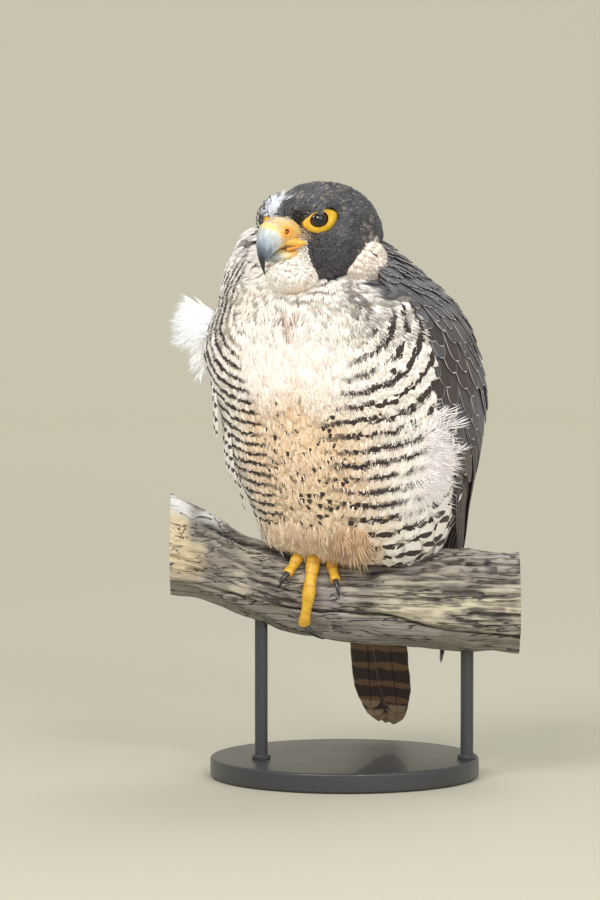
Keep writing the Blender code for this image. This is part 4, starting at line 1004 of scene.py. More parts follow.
class Markings:
    """Colours and marks at places on the bird."""

    throat_height = 190.0
    arc = 80.0
    cream = np.array((0.88, 0.82, 0.745))
    white = np.array((0.87, 0.82, 0.76))
    buff = np.array((0.80, 0.58, 0.35))
    peach = np.array((0.86, 0.70, 0.53))
    slate = np.array((0.098, 0.094, 0.098))
    mantle = np.array((0.105, 0.098, 0.102))
    tan = np.array((0.46, 0.34, 0.22))
    helmet_low: Keys = ((0, 17), (14, 18), (20, 9), (25, -3), (29, -22), (36, -40), (48, -52), (60, -52), (71, -46),
                        (76, -29), (81, -16), (90, -6), (104, -4), (120, -5), (134, -11), (144, -24), (151, -54), (180, -62))

    @classmethod
    def flow(cls, points: Array) -> Array:
        """Distance from the throat along the body, which the bars follow."""
        angle, z = TORSO.angle_of(points)
        drop = np.maximum(cls.throat_height - z, 4.0)
        across = cls.arc * np.abs(angle)
        return (across**3 + drop**3) ** (1 / 3) * mix(1.0, 1.38, step(0.1, -0.3, angle))

    @classmethod
    def lie(cls, z: Array, angle: Array) -> tuple[Array, Array]:
        """How far feathers lean round the body and down it."""
        drop = np.maximum(cls.throat_height - z, 10.0)
        across = cls.arc * np.abs(angle)
        total = np.hypot(across**2, drop**2)
        return np.sign(angle) * across**2 / total, -(drop**2) / total

    @classmethod
    def body(cls, points: Array) -> tuple[Array, Array]:
        """Colour and marks of the body's plumage.

        Args:
            points: World places of the feathers' roots.

        Returns:
            Colours, and the strengths of bars, spots and pale rims.
        """
        angle, z = TORSO.angle_of(points)
        degrees = np.degrees(angle)
        patch = clouds(points, 16.0, 3)
        fine = clouds(points, 6.0, 5)
        tint = np.tile(cls.cream, (len(points), 1))
        flank = step(22, 48, np.abs(degrees - 2) + patch * 8)
        tint = blend_colour(tint, cls.white, flank * 0.8)
        belly = step(118, 88, z + patch * 14) * step(46, 18, np.abs(degrees - 0) + patch * 8)
        tint = blend_colour(tint, cls.buff, belly * 0.85)
        low = step(52, 20, z + patch * 10) * step(46, 24, np.abs(degrees + 14))
        tint = blend_colour(tint, cls.peach, low * 0.7)
        tint = blend_colour(tint, cls.peach, step(0.15, 0.7, patch) * 0.30)
        # Painted shade: a brown V on the breast's midline stands for the shade in a dent of the plumage.
        arms = np.abs(degrees + 4) - 0.40 * np.maximum(z - 145, 0)
        dent_shade = np.exp(-((arms / 2.4) ** 2)) * step(140, 145, z) * step(160, 150, z)
        tint = blend_colour(tint, (0.40, 0.22, 0.11), np.clip(dent_shade, 0, 1) * 0.85)
        left_top = 94 + 66 * step(0, 56, degrees)
        right_top = 92 + 92 * step(-14, -46, degrees)
        top = np.where(degrees > 0, left_top, right_top)
        bars = step(6, -8, z - top + patch * 12) * step(8, 22, np.abs(degrees + 1) + fine * 6)
        gaps = step(-0.60, -0.32, clouds(points * (1, 1, 1.5), 7.0, 37))
        bars = bars * mix(1.0, gaps, step(-8, 12, degrees) * step(74, 60, degrees))
        back = step(95, 108, np.abs(degrees))
        bars = np.maximum(bars, back * step(60, 50, z))
        bars = bars * step(2, 10, z + 12 * step(20, 34, np.abs(degrees - 2)))
        chance = np.random.default_rng(SEED + 5).uniform(0, 1, len(points))
        spots = 0.30 * step(112, 100, z + patch * 8) * step(26, 16, np.abs(degrees - 2)) * step(16, 34, z)
        spots = np.maximum(spots, 0.006 * step(172, 150, z) * (1 - bars))
        spots = (chance < spots) * 1.0
        nape = step(100, 122, np.abs(degrees) + patch * 5) * step(44, 62, z)
        tint = blend_colour(tint, cls.mantle, nape)
        collar = step(150, 166, z) * step(60, 74, degrees)
        collar = np.maximum(collar, step(157, 162, z + patch * 3) * step(37, 45, degrees))
        tint = blend_colour(tint, cls.slate * 1.2, np.clip(collar, 0, 1))
        smudge = np.exp(-(((degrees - 29 - (168 - z) * 0.12) / 5.5) ** 2 + ((z - 160) / 15) ** 4))
        tint = blend_colour(tint, (0.16, 0.13, 0.12), np.clip(smudge * 1.2, 0, 1) * (chance < 0.62) * 0.8)
        shoulder = step(184, 194, z) * step(-20, -34, degrees) * (1 - nape)
        tint = blend_colour(tint, (0.13, 0.11, 0.10), shoulder * step(-0.1, 0.35, fine))
        marks = np.stack((bars * (1 - nape) * (1 - collar), spots * (1 - nape), nape * 0.8), axis=1)
        return tint, marks

    @classmethod
    def head(cls, points: Array) -> tuple[Array, Array]:
        """Colour and marks of the head's plumage.

        Args:
            points: World places of the feathers' roots.

        Returns:
            Colours, and the strengths of bars, spots and pale rims.
        """
        theta, phi = SKULL.angles_of(points)
        side = np.degrees(np.abs(theta))
        high = np.degrees(phi)
        patch = clouds(points, 5.0, 11)
        fine = clouds(points, 2.2, 13)
        tint = np.tile((0.87, 0.81, 0.73), (len(points), 1))
        chin = np.exp(-(((side - 22) / 15) ** 2 + ((high + 40) / 8) ** 2))
        tint = blend_colour(tint, (0.66, 0.47, 0.28), np.clip(chin, 0, 1) * 0.85)
        rim = step(12, 0, high - Profile(cls.helmet_low)(side)) * step(60, 80, side)
        tint = blend_colour(tint, (0.72, 0.56, 0.42), rim * 0.35)
        dark = step(-2.5, 2.5, high - Profile(cls.helmet_low)(side) + patch * 5)
        helmet = np.tile(cls.slate, (len(points), 1)) * (1 + 0.28 * patch + 0.3 * fine)[:, None]
        ear = step(70, 84, side) * step(128, 116, side) * step(26, 12, high) * step(-34, -22, high)
        chance = np.random.default_rng(SEED + 7).uniform(0, 1, len(points))
        ear = ear * step(-0.5, 0.2, patch)
        helmet = blend_colour(helmet, (0.40, 0.34, 0.30), ear * (chance < 0.44 + 0.25 * fine) * 0.85)
        helmet = blend_colour(helmet, (0.085, 0.058, 0.048), ear * (chance > 0.75) * 0.8)
        cap = step(110, 140, side) * step(-10, 20, high)
        helmet = blend_colour(helmet, (0.135, 0.140, 0.158), cap * 0.8)
        crown = step(20, 34, high) * step(125, 90, side)
        helmet = blend_colour(helmet, (0.30, 0.26, 0.22), crown * (chance < 0.20 + 0.12 * patch) * 0.75)
        lower = step(0, -12, high) * (1 - ear)
        helmet = blend_colour(helmet, (0.055, 0.053, 0.056), lower * 0.55)
        fleck = step(0.72, 0.80, fine) * (1 - ear) * (chance < 0.5) * step(55, 62, side)
        helmet = blend_colour(helmet, (0.42, 0.39, 0.36), fleck * 0.7)
        tint = blend_colour(tint, helmet, dark)
        turned = np.degrees(theta)
        frost = step(17, 10, np.abs(turned + 19)) * step(42, 34, high) * step(14, 20, high)
        tint = blend_colour(tint, (0.78, 0.79, 0.82), frost * step(-0.55, -0.05, fine + patch * 0.5))
        lores = step(13, 17, side) * step(33, 25, side) * step(15, 9, high) * step(-8, -2, high)
        tint = blend_colour(tint, cls.tan, lores * 0.85)
        wedge = np.exp(-(((side - 15) / 8) ** 4 + ((high - 17) / 8) ** 4)) * step(-10, 5, np.degrees(theta))
        tint = blend_colour(tint, (0.030, 0.024, 0.020), np.clip(wedge * 1.3, 0, 1))
        marks = np.zeros((len(points), 3))
        return tint, marks


# Feathers over the skin


class Vane(Enum):
    """Kinds of small feather that are scattered over the skin."""

    TUFT = "tuft"
    PLUME = "plume"
    SCALE = "scale"
    DOWN = "down"


@dataclass
class Feathers:
    """Places, directions, sizes and colours of many small feathers."""

    root: Array
    lie: Array
    out: Array
    length: Array
    width: Array
    depth: Array
    tint: Array
    marks: Array
    unwrap: Array
    chance: Array

    def taken(self, keep: Array) -> "Feathers":
        """The feathers that a mask keeps."""
        return Feathers(*(getattr(self, f)[keep] for f in self.__dataclass_fields__))

    def turns(self) -> Array:
        """Euler turns that lay each feather along its direction."""
        y = unit(self.lie)
        x = unit(np.cross(y, self.out))
        z = np.cross(x, y)
        turn_x = np.arctan2(y[:, 2], z[:, 2])
        turn_y = np.arcsin(np.clip(-x[:, 2], -1, 1))
        turn_z = np.arctan2(x[:, 1], x[:, 0])
        return np.stack((turn_x, turn_y, turn_z), axis=1)


@dataclass(frozen=True)
class VaneShapes:
    """Small feathers that the scatter repeats, one unit long and two wide."""

    variants: int = 3

    def tuft(self, rng: np.random.Generator) -> Weave:
        """Five soft blades that spread from one root."""
        weave = Weave()
        for c in (-0.9, -0.45, 0.0, 0.45, 0.9):
            c = c + rng.uniform(-0.08, 0.08)
            reach = 1.0 - 0.22 * c * c + rng.uniform(-0.10, 0.06)
            high = 0.16 * (1 - abs(c)) + rng.uniform(-0.03, 0.05)
            spine = np.array(((0.45 * c, 0.0, 0.0), (0.85 * c, reach * 0.5, high), (c * 0.95, reach, high * 0.35)))
            self._blade(weave, spine, (0.26, 0.36), 0.10)
        return weave

    def plume(self, rng: np.random.Generator) -> Weave:
        """Broad soft feather whose end is a ragged line."""
        weave = Weave()
        across = np.linspace(-1, 1, 5)
        rows = []
        for s, w in ((0.0, 0.45), (0.40, 0.96), (0.76, 0.94), (1.0, 0.60)):
            end = step(0.7, 1.0, s) * (0.24 * across**2 + rng.uniform(-0.08, 0.08, 5))
            high = 0.10 * math.sin(math.pi * min(s * 0.85 + 0.08, 1.0)) * (1 - 0.40 * across**2)
            rows.append(np.stack((across * w, s - end, high), axis=1))
        top = np.array(rows)
        under = top[:, ::-1] - (0, 0, 0.025)
        ring = np.concatenate((top, under), axis=1)
        uv = np.stack((ring[..., 0] / np.abs(top[..., 0]).max(axis=1)[:, None] * 0.5 + 0.5, ring[..., 1]), axis=-1)
        weave.add(ring, grid_faces(4, 10, True), vane_uv=np.clip(uv.reshape(-1, 2), 0, 1))
        ends = np.array([(k, k + 1, 8 - k, 9 - k) for k in range(4)])
        weave.faces.append(ends[:, ::-1])
        weave.faces.append(ends + 30)
        return weave

    def scale(self, rng: np.random.Generator) -> Weave:
        """Round-ended feather like those on back and wing."""
        weave = Weave()
        end = rng.uniform(0.50, 0.60)
        self._vane(weave, (0.0, 0.2, 0.45, 0.7, 0.86, 0.95, 1.0), (0.45, 0.85, 1.0, 0.97, 0.80, end, 0.16), 0.22, 0.05)
        return weave

    def down(self, rng: np.random.Generator) -> Weave:
        """Three thin filaments that curve apart."""
        weave = Weave()
        for c in (-0.8, 0.0, 0.8):
            bend = rng.uniform(-0.3, 0.3)
            spine = np.array(((0.1 * c, 0.0, 0.0), (0.45 * c + bend * 0.3, 0.36, 0.12), (0.8 * c + bend, 0.72, 0.16),
                              (c + bend * 1.6, 1.0, 0.10)))
            self._blade(weave, spine, (0.11, 0.10, 0.07), 0.05)
        return weave

    @staticmethod
    def _blade(weave: Weave, spine: Array, half: Sequence[float], thick: float) -> None:
        """Adds a pointed blade of three-cornered section along a spine."""
        rows = len(spine) - 1
        rings = []
        for k in range(rows):
            w = half[k]
            rings.append(spine[k] + np.array(((-w, 0, 0), (w, 0, 0), (0, 0, thick))))
        points = np.concatenate((np.concatenate(rings), spine[-1:]))
        quads = grid_faces(rows, 3, True)
        base = (rows - 1) * 3
        tip = np.array([(base + i, base + (i + 1) % 3, rows * 3) for i in range(3)])
        uv = np.clip(np.stack(((points[:, 0] + 1) / 2, points[:, 1]), axis=1), 0, 1)
        start = weave.count
        weave.add(points, quads, vane_uv=uv)
        weave.faces.append(tip + start)
        weave.faces.append(np.array([(2, 1, 0)]) + start)

    @staticmethod
    def _vane(weave: Weave, along: Sequence[float], half: Sequence[float], crown: float, thick: float) -> None:
        """Adds a thin cupped vane, thickest along its middle."""
        rows = []
        uvs = []
        for s, w in zip(along, half):
            high = crown * math.sin(math.pi * min(s * 0.9 + 0.05, 1.0))
            rows.append(((-w, s, high - crown * 0.4 * w), (0, s, high + thick), (w, s, high - crown * 0.4 * w),
                         (0, s, high)))
            uvs.append(((0, s), (0.5, s), (1, s), (0.5, s)))
        points = np.array(rows, float).reshape(-1, 3)
        quads = grid_faces(len(rows), 4, True, True)
        start = weave.count
        weave.add(points, quads, vane_uv=np.array(uvs, float).reshape(-1, 2))
        last = (len(rows) - 1) * 4
        weave.faces.append(np.array([(0, 1, 2, 3)]) + start)
        weave.faces.append(np.array([(3, 2, 1, 0)]) + start + last)

    def collection(self, kind: Vane) -> bpy.types.Collection:
        """Variants of one kind, ready for the scatter.

        Args:
            kind: Which feather.

        Returns:
            A collection linked to the scene.
        """
        found = bpy.data.collections.new(f"vanes_{kind.value}")
        bpy.context.scene.collection.children.link(found)
        rng = np.random.default_rng(SEED + list(Vane).index(kind))
        for i in range(self.variants):
            weave: Weave = getattr(self, kind.value)(rng)
            mesh = weave.mesh(f"{kind.value}_{i}")
            for vertex in mesh.vertices:
                vertex.co *= 1 / MM
            found.objects.link(bpy.data.objects.new(f"{kind.value}_{i}", mesh))
        return found


class Scatter:
    """Geometry Nodes tree that sets small feathers on points."""

    def __init__(self) -> None:
        """Builds the tree with its named inputs."""
        tree = bpy.data.node_groups.new("feather_scatter", "GeometryNodeTree")
        face = tree.interface
        self.ids: dict[str, str] = {}
        sockets = (("Geometry", "NodeSocketGeometry"), ("Vanes", "NodeSocketCollection"),
                   ("Finish", "NodeSocketMaterial"), ("Variants", "NodeSocketInt"), ("Seed", "NodeSocketInt"),
                   ("Size", "NodeSocketFloat"))
        for name, kind in sockets:
            self.ids[name] = face.new_socket(name, in_out="INPUT", socket_type=kind).identifier
        face.new_socket("Geometry", in_out="OUTPUT", socket_type="NodeSocketGeometry")
        self.tree = tree
        start = tree.nodes.new("NodeGroupInput")
        end = tree.nodes.new("NodeGroupOutput")
        vanes = tree.nodes.new("GeometryNodeCollectionInfo")
        vanes.inputs["Separate Children"].default_value = True
        vanes.inputs["Reset Children"].default_value = True
        pick = tree.nodes.new("FunctionNodeRandomValue")
        pick.data_type = "INT"
        less = tree.nodes.new("ShaderNodeMath")
        less.operation = "SUBTRACT"
        less.inputs[1].default_value = 1.0
        place = tree.nodes.new("GeometryNodeInstanceOnPoints")
        place.inputs["Pick Instance"].default_value = True
        grow = tree.nodes.new("ShaderNodeVectorMath")
        grow.operation = "SCALE"
        real = tree.nodes.new("GeometryNodeRealizeInstances")
        dress = tree.nodes.new("GeometryNodeSetMaterial")
        link = tree.links.new
        link(start.outputs["Vanes"], vanes.inputs["Collection"])
        link(start.outputs["Variants"], less.inputs[0])
        link(less.outputs[0], pick.inputs[5])
        link(start.outputs["Seed"], pick.inputs["Seed"])
        link(start.outputs["Geometry"], place.inputs["Points"])
        link(vanes.outputs[0], place.inputs["Instance"])
        link(pick.outputs[2], place.inputs["Instance Index"])
        link(self._named("turn"), place.inputs["Rotation"])
        link(self._named("size"), grow.inputs[0])
        link(start.outputs["Size"], grow.inputs["Scale"])
        link(grow.outputs[0], place.inputs["Scale"])
        link(place.outputs[0], real.inputs[0])
        link(real.outputs[0], dress.inputs["Geometry"])
        link(start.outputs["Finish"], dress.inputs["Material"])
        link(dress.outputs[0], end.inputs[0])

    def _named(self, name: str) -> bpy.types.NodeSocket:
        """Output of a vector attribute."""
        node = self.tree.nodes.new("GeometryNodeInputNamedAttribute")
        node.data_type = "FLOAT_VECTOR"
        node.inputs["Name"].default_value = name
        return node.outputs["Attribute"]

    def spread(self, name: str, feathers: Feathers, vanes: bpy.types.Collection, finish: bpy.types.Material,
               variants: int, seed: int) -> bpy.types.Object:
        """Turns points into feathers and the result into a plain mesh.

        Args:
            name: Name of the piece.
            feathers: Where the feathers go.
            vanes: The shapes that are repeated.
            finish: Their material.
            variants: How many shapes there are.
            seed: Which shape goes where.

        Returns:
            The finished object.
        """
        points = Weave()
        points.points.append(feathers.root)
        mesh = bpy.data.meshes.new(name)
        mesh.vertices.add(len(feathers.root))
        mesh.vertices.foreach_set("co", (feathers.root * MM).astype(np.float32).ravel())
        size = np.stack((feathers.width / 2, feathers.length, feathers.depth), axis=1) * MM
        for key, values in (("turn", feathers.turns()), ("size", size), ("tint", feathers.tint),
                            ("marks", feathers.marks), ("chance", feathers.chance),
                            ("unwrap", np.c_[feathers.unwrap, np.zeros(len(size))])):
            store(mesh, key, values)
        obj = mesh_object(name, mesh)
        change = obj.modifiers.new("scatter", "NODES")
        change.node_group = self.tree
        for key, value in (("Vanes", vanes), ("Finish", finish), ("Variants", variants), ("Seed", seed),
                           ("Size", 1.0)):
            change[self.ids[key]] = value
        graph = bpy.context.evaluated_depsgraph_get()
        made = bpy.data.meshes.new_from_object(obj.evaluated_get(graph))
        obj.modifiers.clear()
        obj.data = made
        bpy.data.meshes.remove(mesh)
        self._finish_mesh(made)
        return obj

    @staticmethod
    def _finish_mesh(mesh: bpy.types.Mesh) -> None:
        """Adds the flow and the bake map, and drops what only the scatter needed."""
        count = len(mesh.vertices)
        points = np.empty(count * 3, np.float32)
        mesh.vertices.foreach_get("co", points)
        store(mesh, "flow", Markings.flow(points.reshape(-1, 3) / MM))
        unwrap = np.empty(count * 3, np.float32)
        mesh.attributes["unwrap"].data.foreach_get("vector", unwrap)
        unwrap = unwrap.reshape(-1, 3)[:, :2]
        corner = np.empty(len(mesh.loops), np.int32)
        mesh.loops.foreach_get("vertex_index", corner)
        vane = np.empty(len(mesh.loops) * 2, np.float32)
        mesh.attributes["vane_uv"].data.foreach_get("vector", vane)
        bake = unwrap[corner] + (vane.reshape(-1, 2) - 0.5) * PATCH
        layer = mesh.uv_layers.new(name="OFBake")
        layer.data.foreach_set("uv", bake.astype(np.float32).ravel())
        for name in ("turn", "size", "unwrap"):
            mesh.attributes.remove(mesh.attributes[name])
        mesh.polygons.foreach_set("use_smooth", np.ones(len(mesh.polygons), bool))
        mesh.update()


@dataclass
class Plumage:
    """Small feathers of the body and the head."""

    spacing: float = 2.95
    head_spacing: float = 1.45
    shapes: VaneShapes = field(default_factory=VaneShapes)

    def body_points(self) -> Feathers:
        """Feathers of breast, belly, flanks, neck and rump."""
        rng = np.random.default_rng(SEED)
        zs = []
        angles = []
        z = -4.0
        row = 0
        while z < 209.0:
            around = np.linalg.norm(np.diff(TORSO.surface(np.full(73, z), np.linspace(-np.pi, np.pi, 73)), axis=0),
                                    axis=1).sum()
            count = int(around / self.spacing)
            a = (np.arange(count) + 0.5 * (row % 2)) / count * 2 * np.pi - np.pi
            angles.append(a + rng.normal(0, 0.34 / count * 2 * np.pi, count))
            zs.append(np.full(count, z) + rng.normal(0, self.spacing * 0.40, count))
            z += self.spacing
            row += 1
        z = np.concatenate(zs)
        angle = np.concatenate(angles)
        keep = np.ones(len(z), bool)
        for wing in (WING_LEFT, WING_RIGHT):
            mine = angle * wing.side > 0
            cover = np.abs(angle) > wing.lead(z) + math.radians(7)
            keep &= ~(mine & cover & (z > 30) & (np.abs(angle) < math.radians(168)))
        z = z[keep]
        angle = angle[keep]
        out = TORSO.outward(z, angle)
        round_it = unit(TORSO.surface(z, angle + 0.03) - TORSO.surface(z, angle - 0.03))
        up = unit(sunk_to_head(TORSO.surface(z, angle), 5.0)[0] - sunk_to_head(TORSO.surface(z - 1.5, angle), 5.0)[0])
        out = unit(out - up * np.sum(out * up, axis=1, keepdims=True))
        lean, drop = Markings.lie(z, angle)
        lean = lean * mix(1.0, 0.35, step(148, 168, z) * step(-30, -10, np.degrees(angle)))
        drop = np.minimum(drop, -0.45)
        behind = step(math.radians(105), math.radians(130), np.abs(angle))
        lean = lean * (1 - behind)
        drop = drop * (1 - behind) - behind
        swirl = clouds(TORSO.surface(z, angle), 22.0, 17) * 0.22 + rng.normal(0, 0.07, len(z))
        lie = unit(round_it * (lean + swirl)[:, None] + up * drop[:, None])
        clump = clouds(TORSO.surface(z, angle), 17.0, 23)
        root, ratio = sunk_to_head(TORSO.surface(z, angle, -1.5 + 0.5 * clump), 5.0)
        belly = step(60, 20, z)
        flank = step(20, 44, np.abs(np.degrees(angle) - 2)) * step(160, 140, z)
        length = rng.uniform(0.88, 1.12, len(z)) * mix(mix(12.0, 15.0, flank), 17.0, belly)
        length = length * mix(1.0, 0.70, step(160, 196, z))
        rise = rng.normal(0.062, 0.012, len(z)) + 0.03 * clouds(root, 9.0, 29) + 0.10 * step(30, 8, z)
        lie = unit(lie + out * rise[:, None])
        width = length * mix(0.44, 0.66, flank)
        tint, marks = Markings.body(root)
        tint = tint * rng.normal(1.0, 0.02, (len(z), 1))
        unwrap = unwrap_of(root, np.zeros(len(z)))
        made = Feathers(root, lie, out, length, width, length * 0.30, np.clip(tint, 0, 1), marks, unwrap,
                        rng.uniform(0, 1, len(z)))
        return made.taken(ratio > mix(0.985, 0.90, step(40, 55, np.degrees(angle))))

    def head_points(self) -> Feathers:
        """Feathers of the head, smallest round the bill and the eyes."""
        rng = np.random.default_rng(SEED + 1)
        phis = []
        thetas = []
        step_angle = self.head_spacing / 33.0
        phi = -1.45
        while phi < 1.55:
            count = max(int(2 * np.pi * math.cos(phi) / step_angle), 3)
            thetas.append((np.arange(count) + rng.uniform(-0.35, 0.35, count)) / count * 2 * np.pi - np.pi)
            phis.append(np.full(count, phi) + rng.uniform(-0.35, 0.35, count) * step_angle)
            phi += step_angle
        theta = np.concatenate(thetas)
        phi = np.concatenate(phis)
        local = SKULL.local(SKULL.direction(theta, phi))
        f, left, u = local[:, 0], local[:, 1], local[:, 2]
        keep = ~((f > 31) & (np.abs(left) < 10.0) & (u < 9.5) & (u > -13.5))
        keep &= ~((u < -27) & (f < -4))
        for side in (1, -1):
            ahead, above = Eye(side).seen_at(local)
            keep &= (((ahead - (1.8 if side > 0 else 2.9)) / (11.0 if side > 0 else 9.9)) ** 2 + ((above + 0.4) / mix(7.3, 4.6 + 3.4 * step(-1, 7, ahead), above > 0)) ** 2) > 1.0
        theta, phi, local = theta[keep], phi[keep], local[keep]
        out = SKULL.outward(theta, phi)
        high = np.degrees(phi)
        chin = step(-14, -40, high) * step(70, 40, np.degrees(np.abs(theta)))
        back = np.stack((mix(-1.0, 0.25, chin), 0 * high, mix(mix(-0.25, -0.85, step(10, -35, high)), -1.0, chin)), 1)
        lie = HEAD.turn(back)
        lie = lie - out * np.sum(lie * out, axis=1, keepdims=True)
        near = np.linalg.norm(local - (42.0, 0.0, -2.0), axis=1)
        eye = np.linalg.norm(np.abs(local) - np.array((24.7, 21.0, 9.6)), axis=1)
        length = mix(2.6, 6.4, step(8, 40, near)) * mix(0.60, 1.0, step(9, 17, eye))
        brow = step(22, 30, np.degrees(np.abs(theta))) * step(62, 50, np.degrees(np.abs(theta)))
        brow = brow * step(16, 20, high) * step(44, 34, high)
        length = length * rng.uniform(0.85, 1.15, len(phi)) * mix(1.0, 1.35, chin) * mix(1.0, 1.3, brow)
        root = SKULL.surface(theta, phi, -1.3 + 0.5 * clouds(local, 7.0, 31) + brow * mix(0.9, 2.4, theta < 0))
        front = chin * step(34, 20, np.degrees(np.abs(theta))) * step(-66, -50, high)
        lie = unit(unit(lie) + out * (0.17 + 0.05 * rng.normal(size=len(phi)) + 0.15 * (front + brow))[:, None])
        tint, marks = Markings.head(root)
        tint = tint * rng.normal(1.0, 0.12, (len(phi), 1))
        return Feathers(root, lie, out, length, length * 0.46, length * 0.50, np.clip(tint, 0, 1), marks,
                        unwrap_of(root, np.ones(len(phi))), rng.uniform(0, 1, len(phi)))

    def swell_points(self, place: tuple, size: tuple) -> Feathers:
        """Full soft feathers on a swelling of chin, cheek or brow.

        Args:
            place: Its middle, in the head's directions.
            size: Its radii.

        Returns:
            The feathers.
        """
        rng = np.random.default_rng(SEED + 6 + int(place[0]) % 7)
        d = unit(rng.normal(size=(int(5.2 * size[0] * size[2]), 3)))
        local = np.array(place) + np.array(size) * d
        ratio = np.linalg.norm(local, axis=1) / np.linalg.norm(SKULL.local(unit(local)), axis=1)
        keep = (ratio > 0.98) & ~((np.abs(local[:, 1]) < 9) & (local[:, 2] > -15.5) & (local[:, 0] > 32))
        for side in (1, -1):
            ahead, above = Eye(side).seen_at(local)
            clear = ((ahead - 1.8) / 11.0) ** 2 + ((above + 0.4) / mix(7.4, 5.0 + 3.4 * step(-1, 7, ahead), above > 0)) ** 2
            keep &= (clear > 1.0) | ((place[1] < -20) & (ahead < -4.5))
        d, local = d[keep], local[keep]
        out = HEAD.turn(unit(d / np.array(size)))
        lie = HEAD.turn(np.tile((-0.45, 0.0, mix(-1.0, 0.3, place[2] > 0)), (len(d), 1)) + rng.normal(0, 0.12, (len(d), 3)))
        lie = unit(unit(lie - out * np.sum(lie * out, axis=1, keepdims=True)) + out * 0.09)
        length = rng.uniform(3.8, 6.2, len(d)) * min(size) / 11.0
        tint, marks = Markings.head(HEAD.place(local[:, 0], local[:, 1], local[:, 2]))
        if place[0] > 30 and place[2] < 0:
            tint = np.where(tint.mean(axis=1, keepdims=True) > 0.42, tint, (0.84, 0.77, 0.68))
        tint = tint * rng.normal(1.0, 0.02, (len(d), 1))
        root = HEAD.place(*(local - 0.8 * d).T)
        return Feathers(root, lie, out, length, length * 0.44, length * 0.35, np.clip(tint, 0, 1), marks,
                        unwrap_of(root, np.ones(len(d))), rng.uniform(0, 1, len(d)))


@dataclass(frozen=True)
class Spray:
    """Loose feathers that stand free: where they root, which way and how far they go."""

    name: str
    count: int
    centre: tuple[float, float, float]
    reach: tuple[float, float, float]
    way: tuple[float, float, float]
    fan: float
    length: tuple[float, float]
    width: float
    tint: Colour
    kind: Vane = Vane.DOWN
    lift: float = -2.0
    on_head: bool = False
    centred: float = 0.0
    flat: float = 0.0

    def feathers(self) -> Feathers:
        """Scatters the spray's feathers.

        Returns:
            Their places, directions and colours.
        """
        rng = np.random.default_rng(SEED + len(self.name) * 7 + self.count)
        spot = rng.normal(0, 0.45, (self.count, 3)).clip(-1.7, 1.7)
        a = self.centre[0] + spot[:, 0] * self.reach[0]
        b = self.centre[1] + spot[:, 1] * self.reach[1]
        lift = self.lift + spot[:, 2] * self.reach[2]
        if self.on_head:
            theta, phi = np.radians(a), np.radians(b)
            root, out = SKULL.surface(theta, phi, lift), SKULL.outward(theta, phi)
        else:
            angle = np.radians(a)
            root, out = TORSO.surface(b, angle, lift), TORSO.outward(b, angle)
        way = np.tile(np.array(self.way, float), (self.count, 1))
        way = way + rng.normal(0, 1, (self.count, 3)) * self.fan
        way[:, 2] += self.centred * spot[:, 1]
        length = rng.uniform(*self.length, self.count)
        way = unit(way)
        way = way - out * np.sum(way * out, axis=1, keepdims=True) * self.flat
        tint = np.array(self.tint) * rng.normal(1.0, 0.09, (self.count, 1))
        marks = np.zeros((self.count, 3))
        if not self.on_head and self.lift > -1.0:
            found, bars = Markings.body(root)
            tint = mix(tint, found, 0.6)
            marks[:, :2] = bars[:, :2] * (self.lift > -0.4)
        share = np.ones(self.count) * self.on_head
        return Feathers(root, unit(way), out, length, length * self.width, length * 0.5, np.clip(tint, 0, 1),
                        marks, unwrap_of(root, share), rng.uniform(0, 1, self.count))


SPRAYS = (
    Spray("shoulder_down", 480, (-68, 141, 0), (5, 8, 2), (-1.0, -0.10, 0.06), 0.24, (11, 26), 0.50, (0.95, 0.95, 0.94),
          centred=0.30),
    Spray("shoulder_wisps", 60, (-70, 124, 0), (5, 10, 2), (-0.75, -0.15, -0.75), 0.22, (9, 18), 0.30,
          (0.94, 0.93, 0.90)),
    Spray("flank_fan", 420, (61, 59, 0), (11, 25, 2), (0.85, -0.36, -0.14), 0.26, (8, 19), 0.40, (0.78, 0.73, 0.71),
          centred=0.50, flat=0.30),
    Spray("forehead_lace", 95, (-22, 26, 0), (14, 12, 1), (-0.1, -0.2, 0.9), 0.6, (3.0, 6.5), 0.6,
          (0.78, 0.80, 0.86), lift=-0.2, on_head=True, flat=0.75),
    Spray("trouser_fringe", 560, (-16, 16, 0), (32, 9, 1), (0.0, -0.10, -1.0), 0.20, (8, 14), 0.42,
          (0.82, 0.66, 0.46), lift=-0.5, flat=0.75),
    Spray("inner_fluff", 420, (16, 13, 0), (15, 8, 3), (0.05, -0.08, -1.0), 0.18, (10, 18), 0.42, (0.70, 0.50, 0.32),
          lift=-1.8, flat=0.6),
    Spray("flank_down", 1500, (50, 56, 0), (24, 36, 1.2), (0.0, -0.10, -1.0), 0.16, (6, 10), 0.42, (0.90, 0.87, 0.82),
          lift=1.9, flat=0.9),
    Spray("belly_down", 420, (-8, 60, 0), (36, 26, 1), (0.0, -0.10, -1.0), 0.16, (5, 8), 0.42, (0.88, 0.80, 0.68),
          lift=0.0, flat=0.9),
    Spray("breast_down", 1300, (0, 126, 0), (38, 34, 1), (0.0, -0.10, -1.0), 0.20, (7, 12), 0.42, (0.92, 0.88, 0.82),
          lift=-0.2, flat=0.85),
)


# Flesh


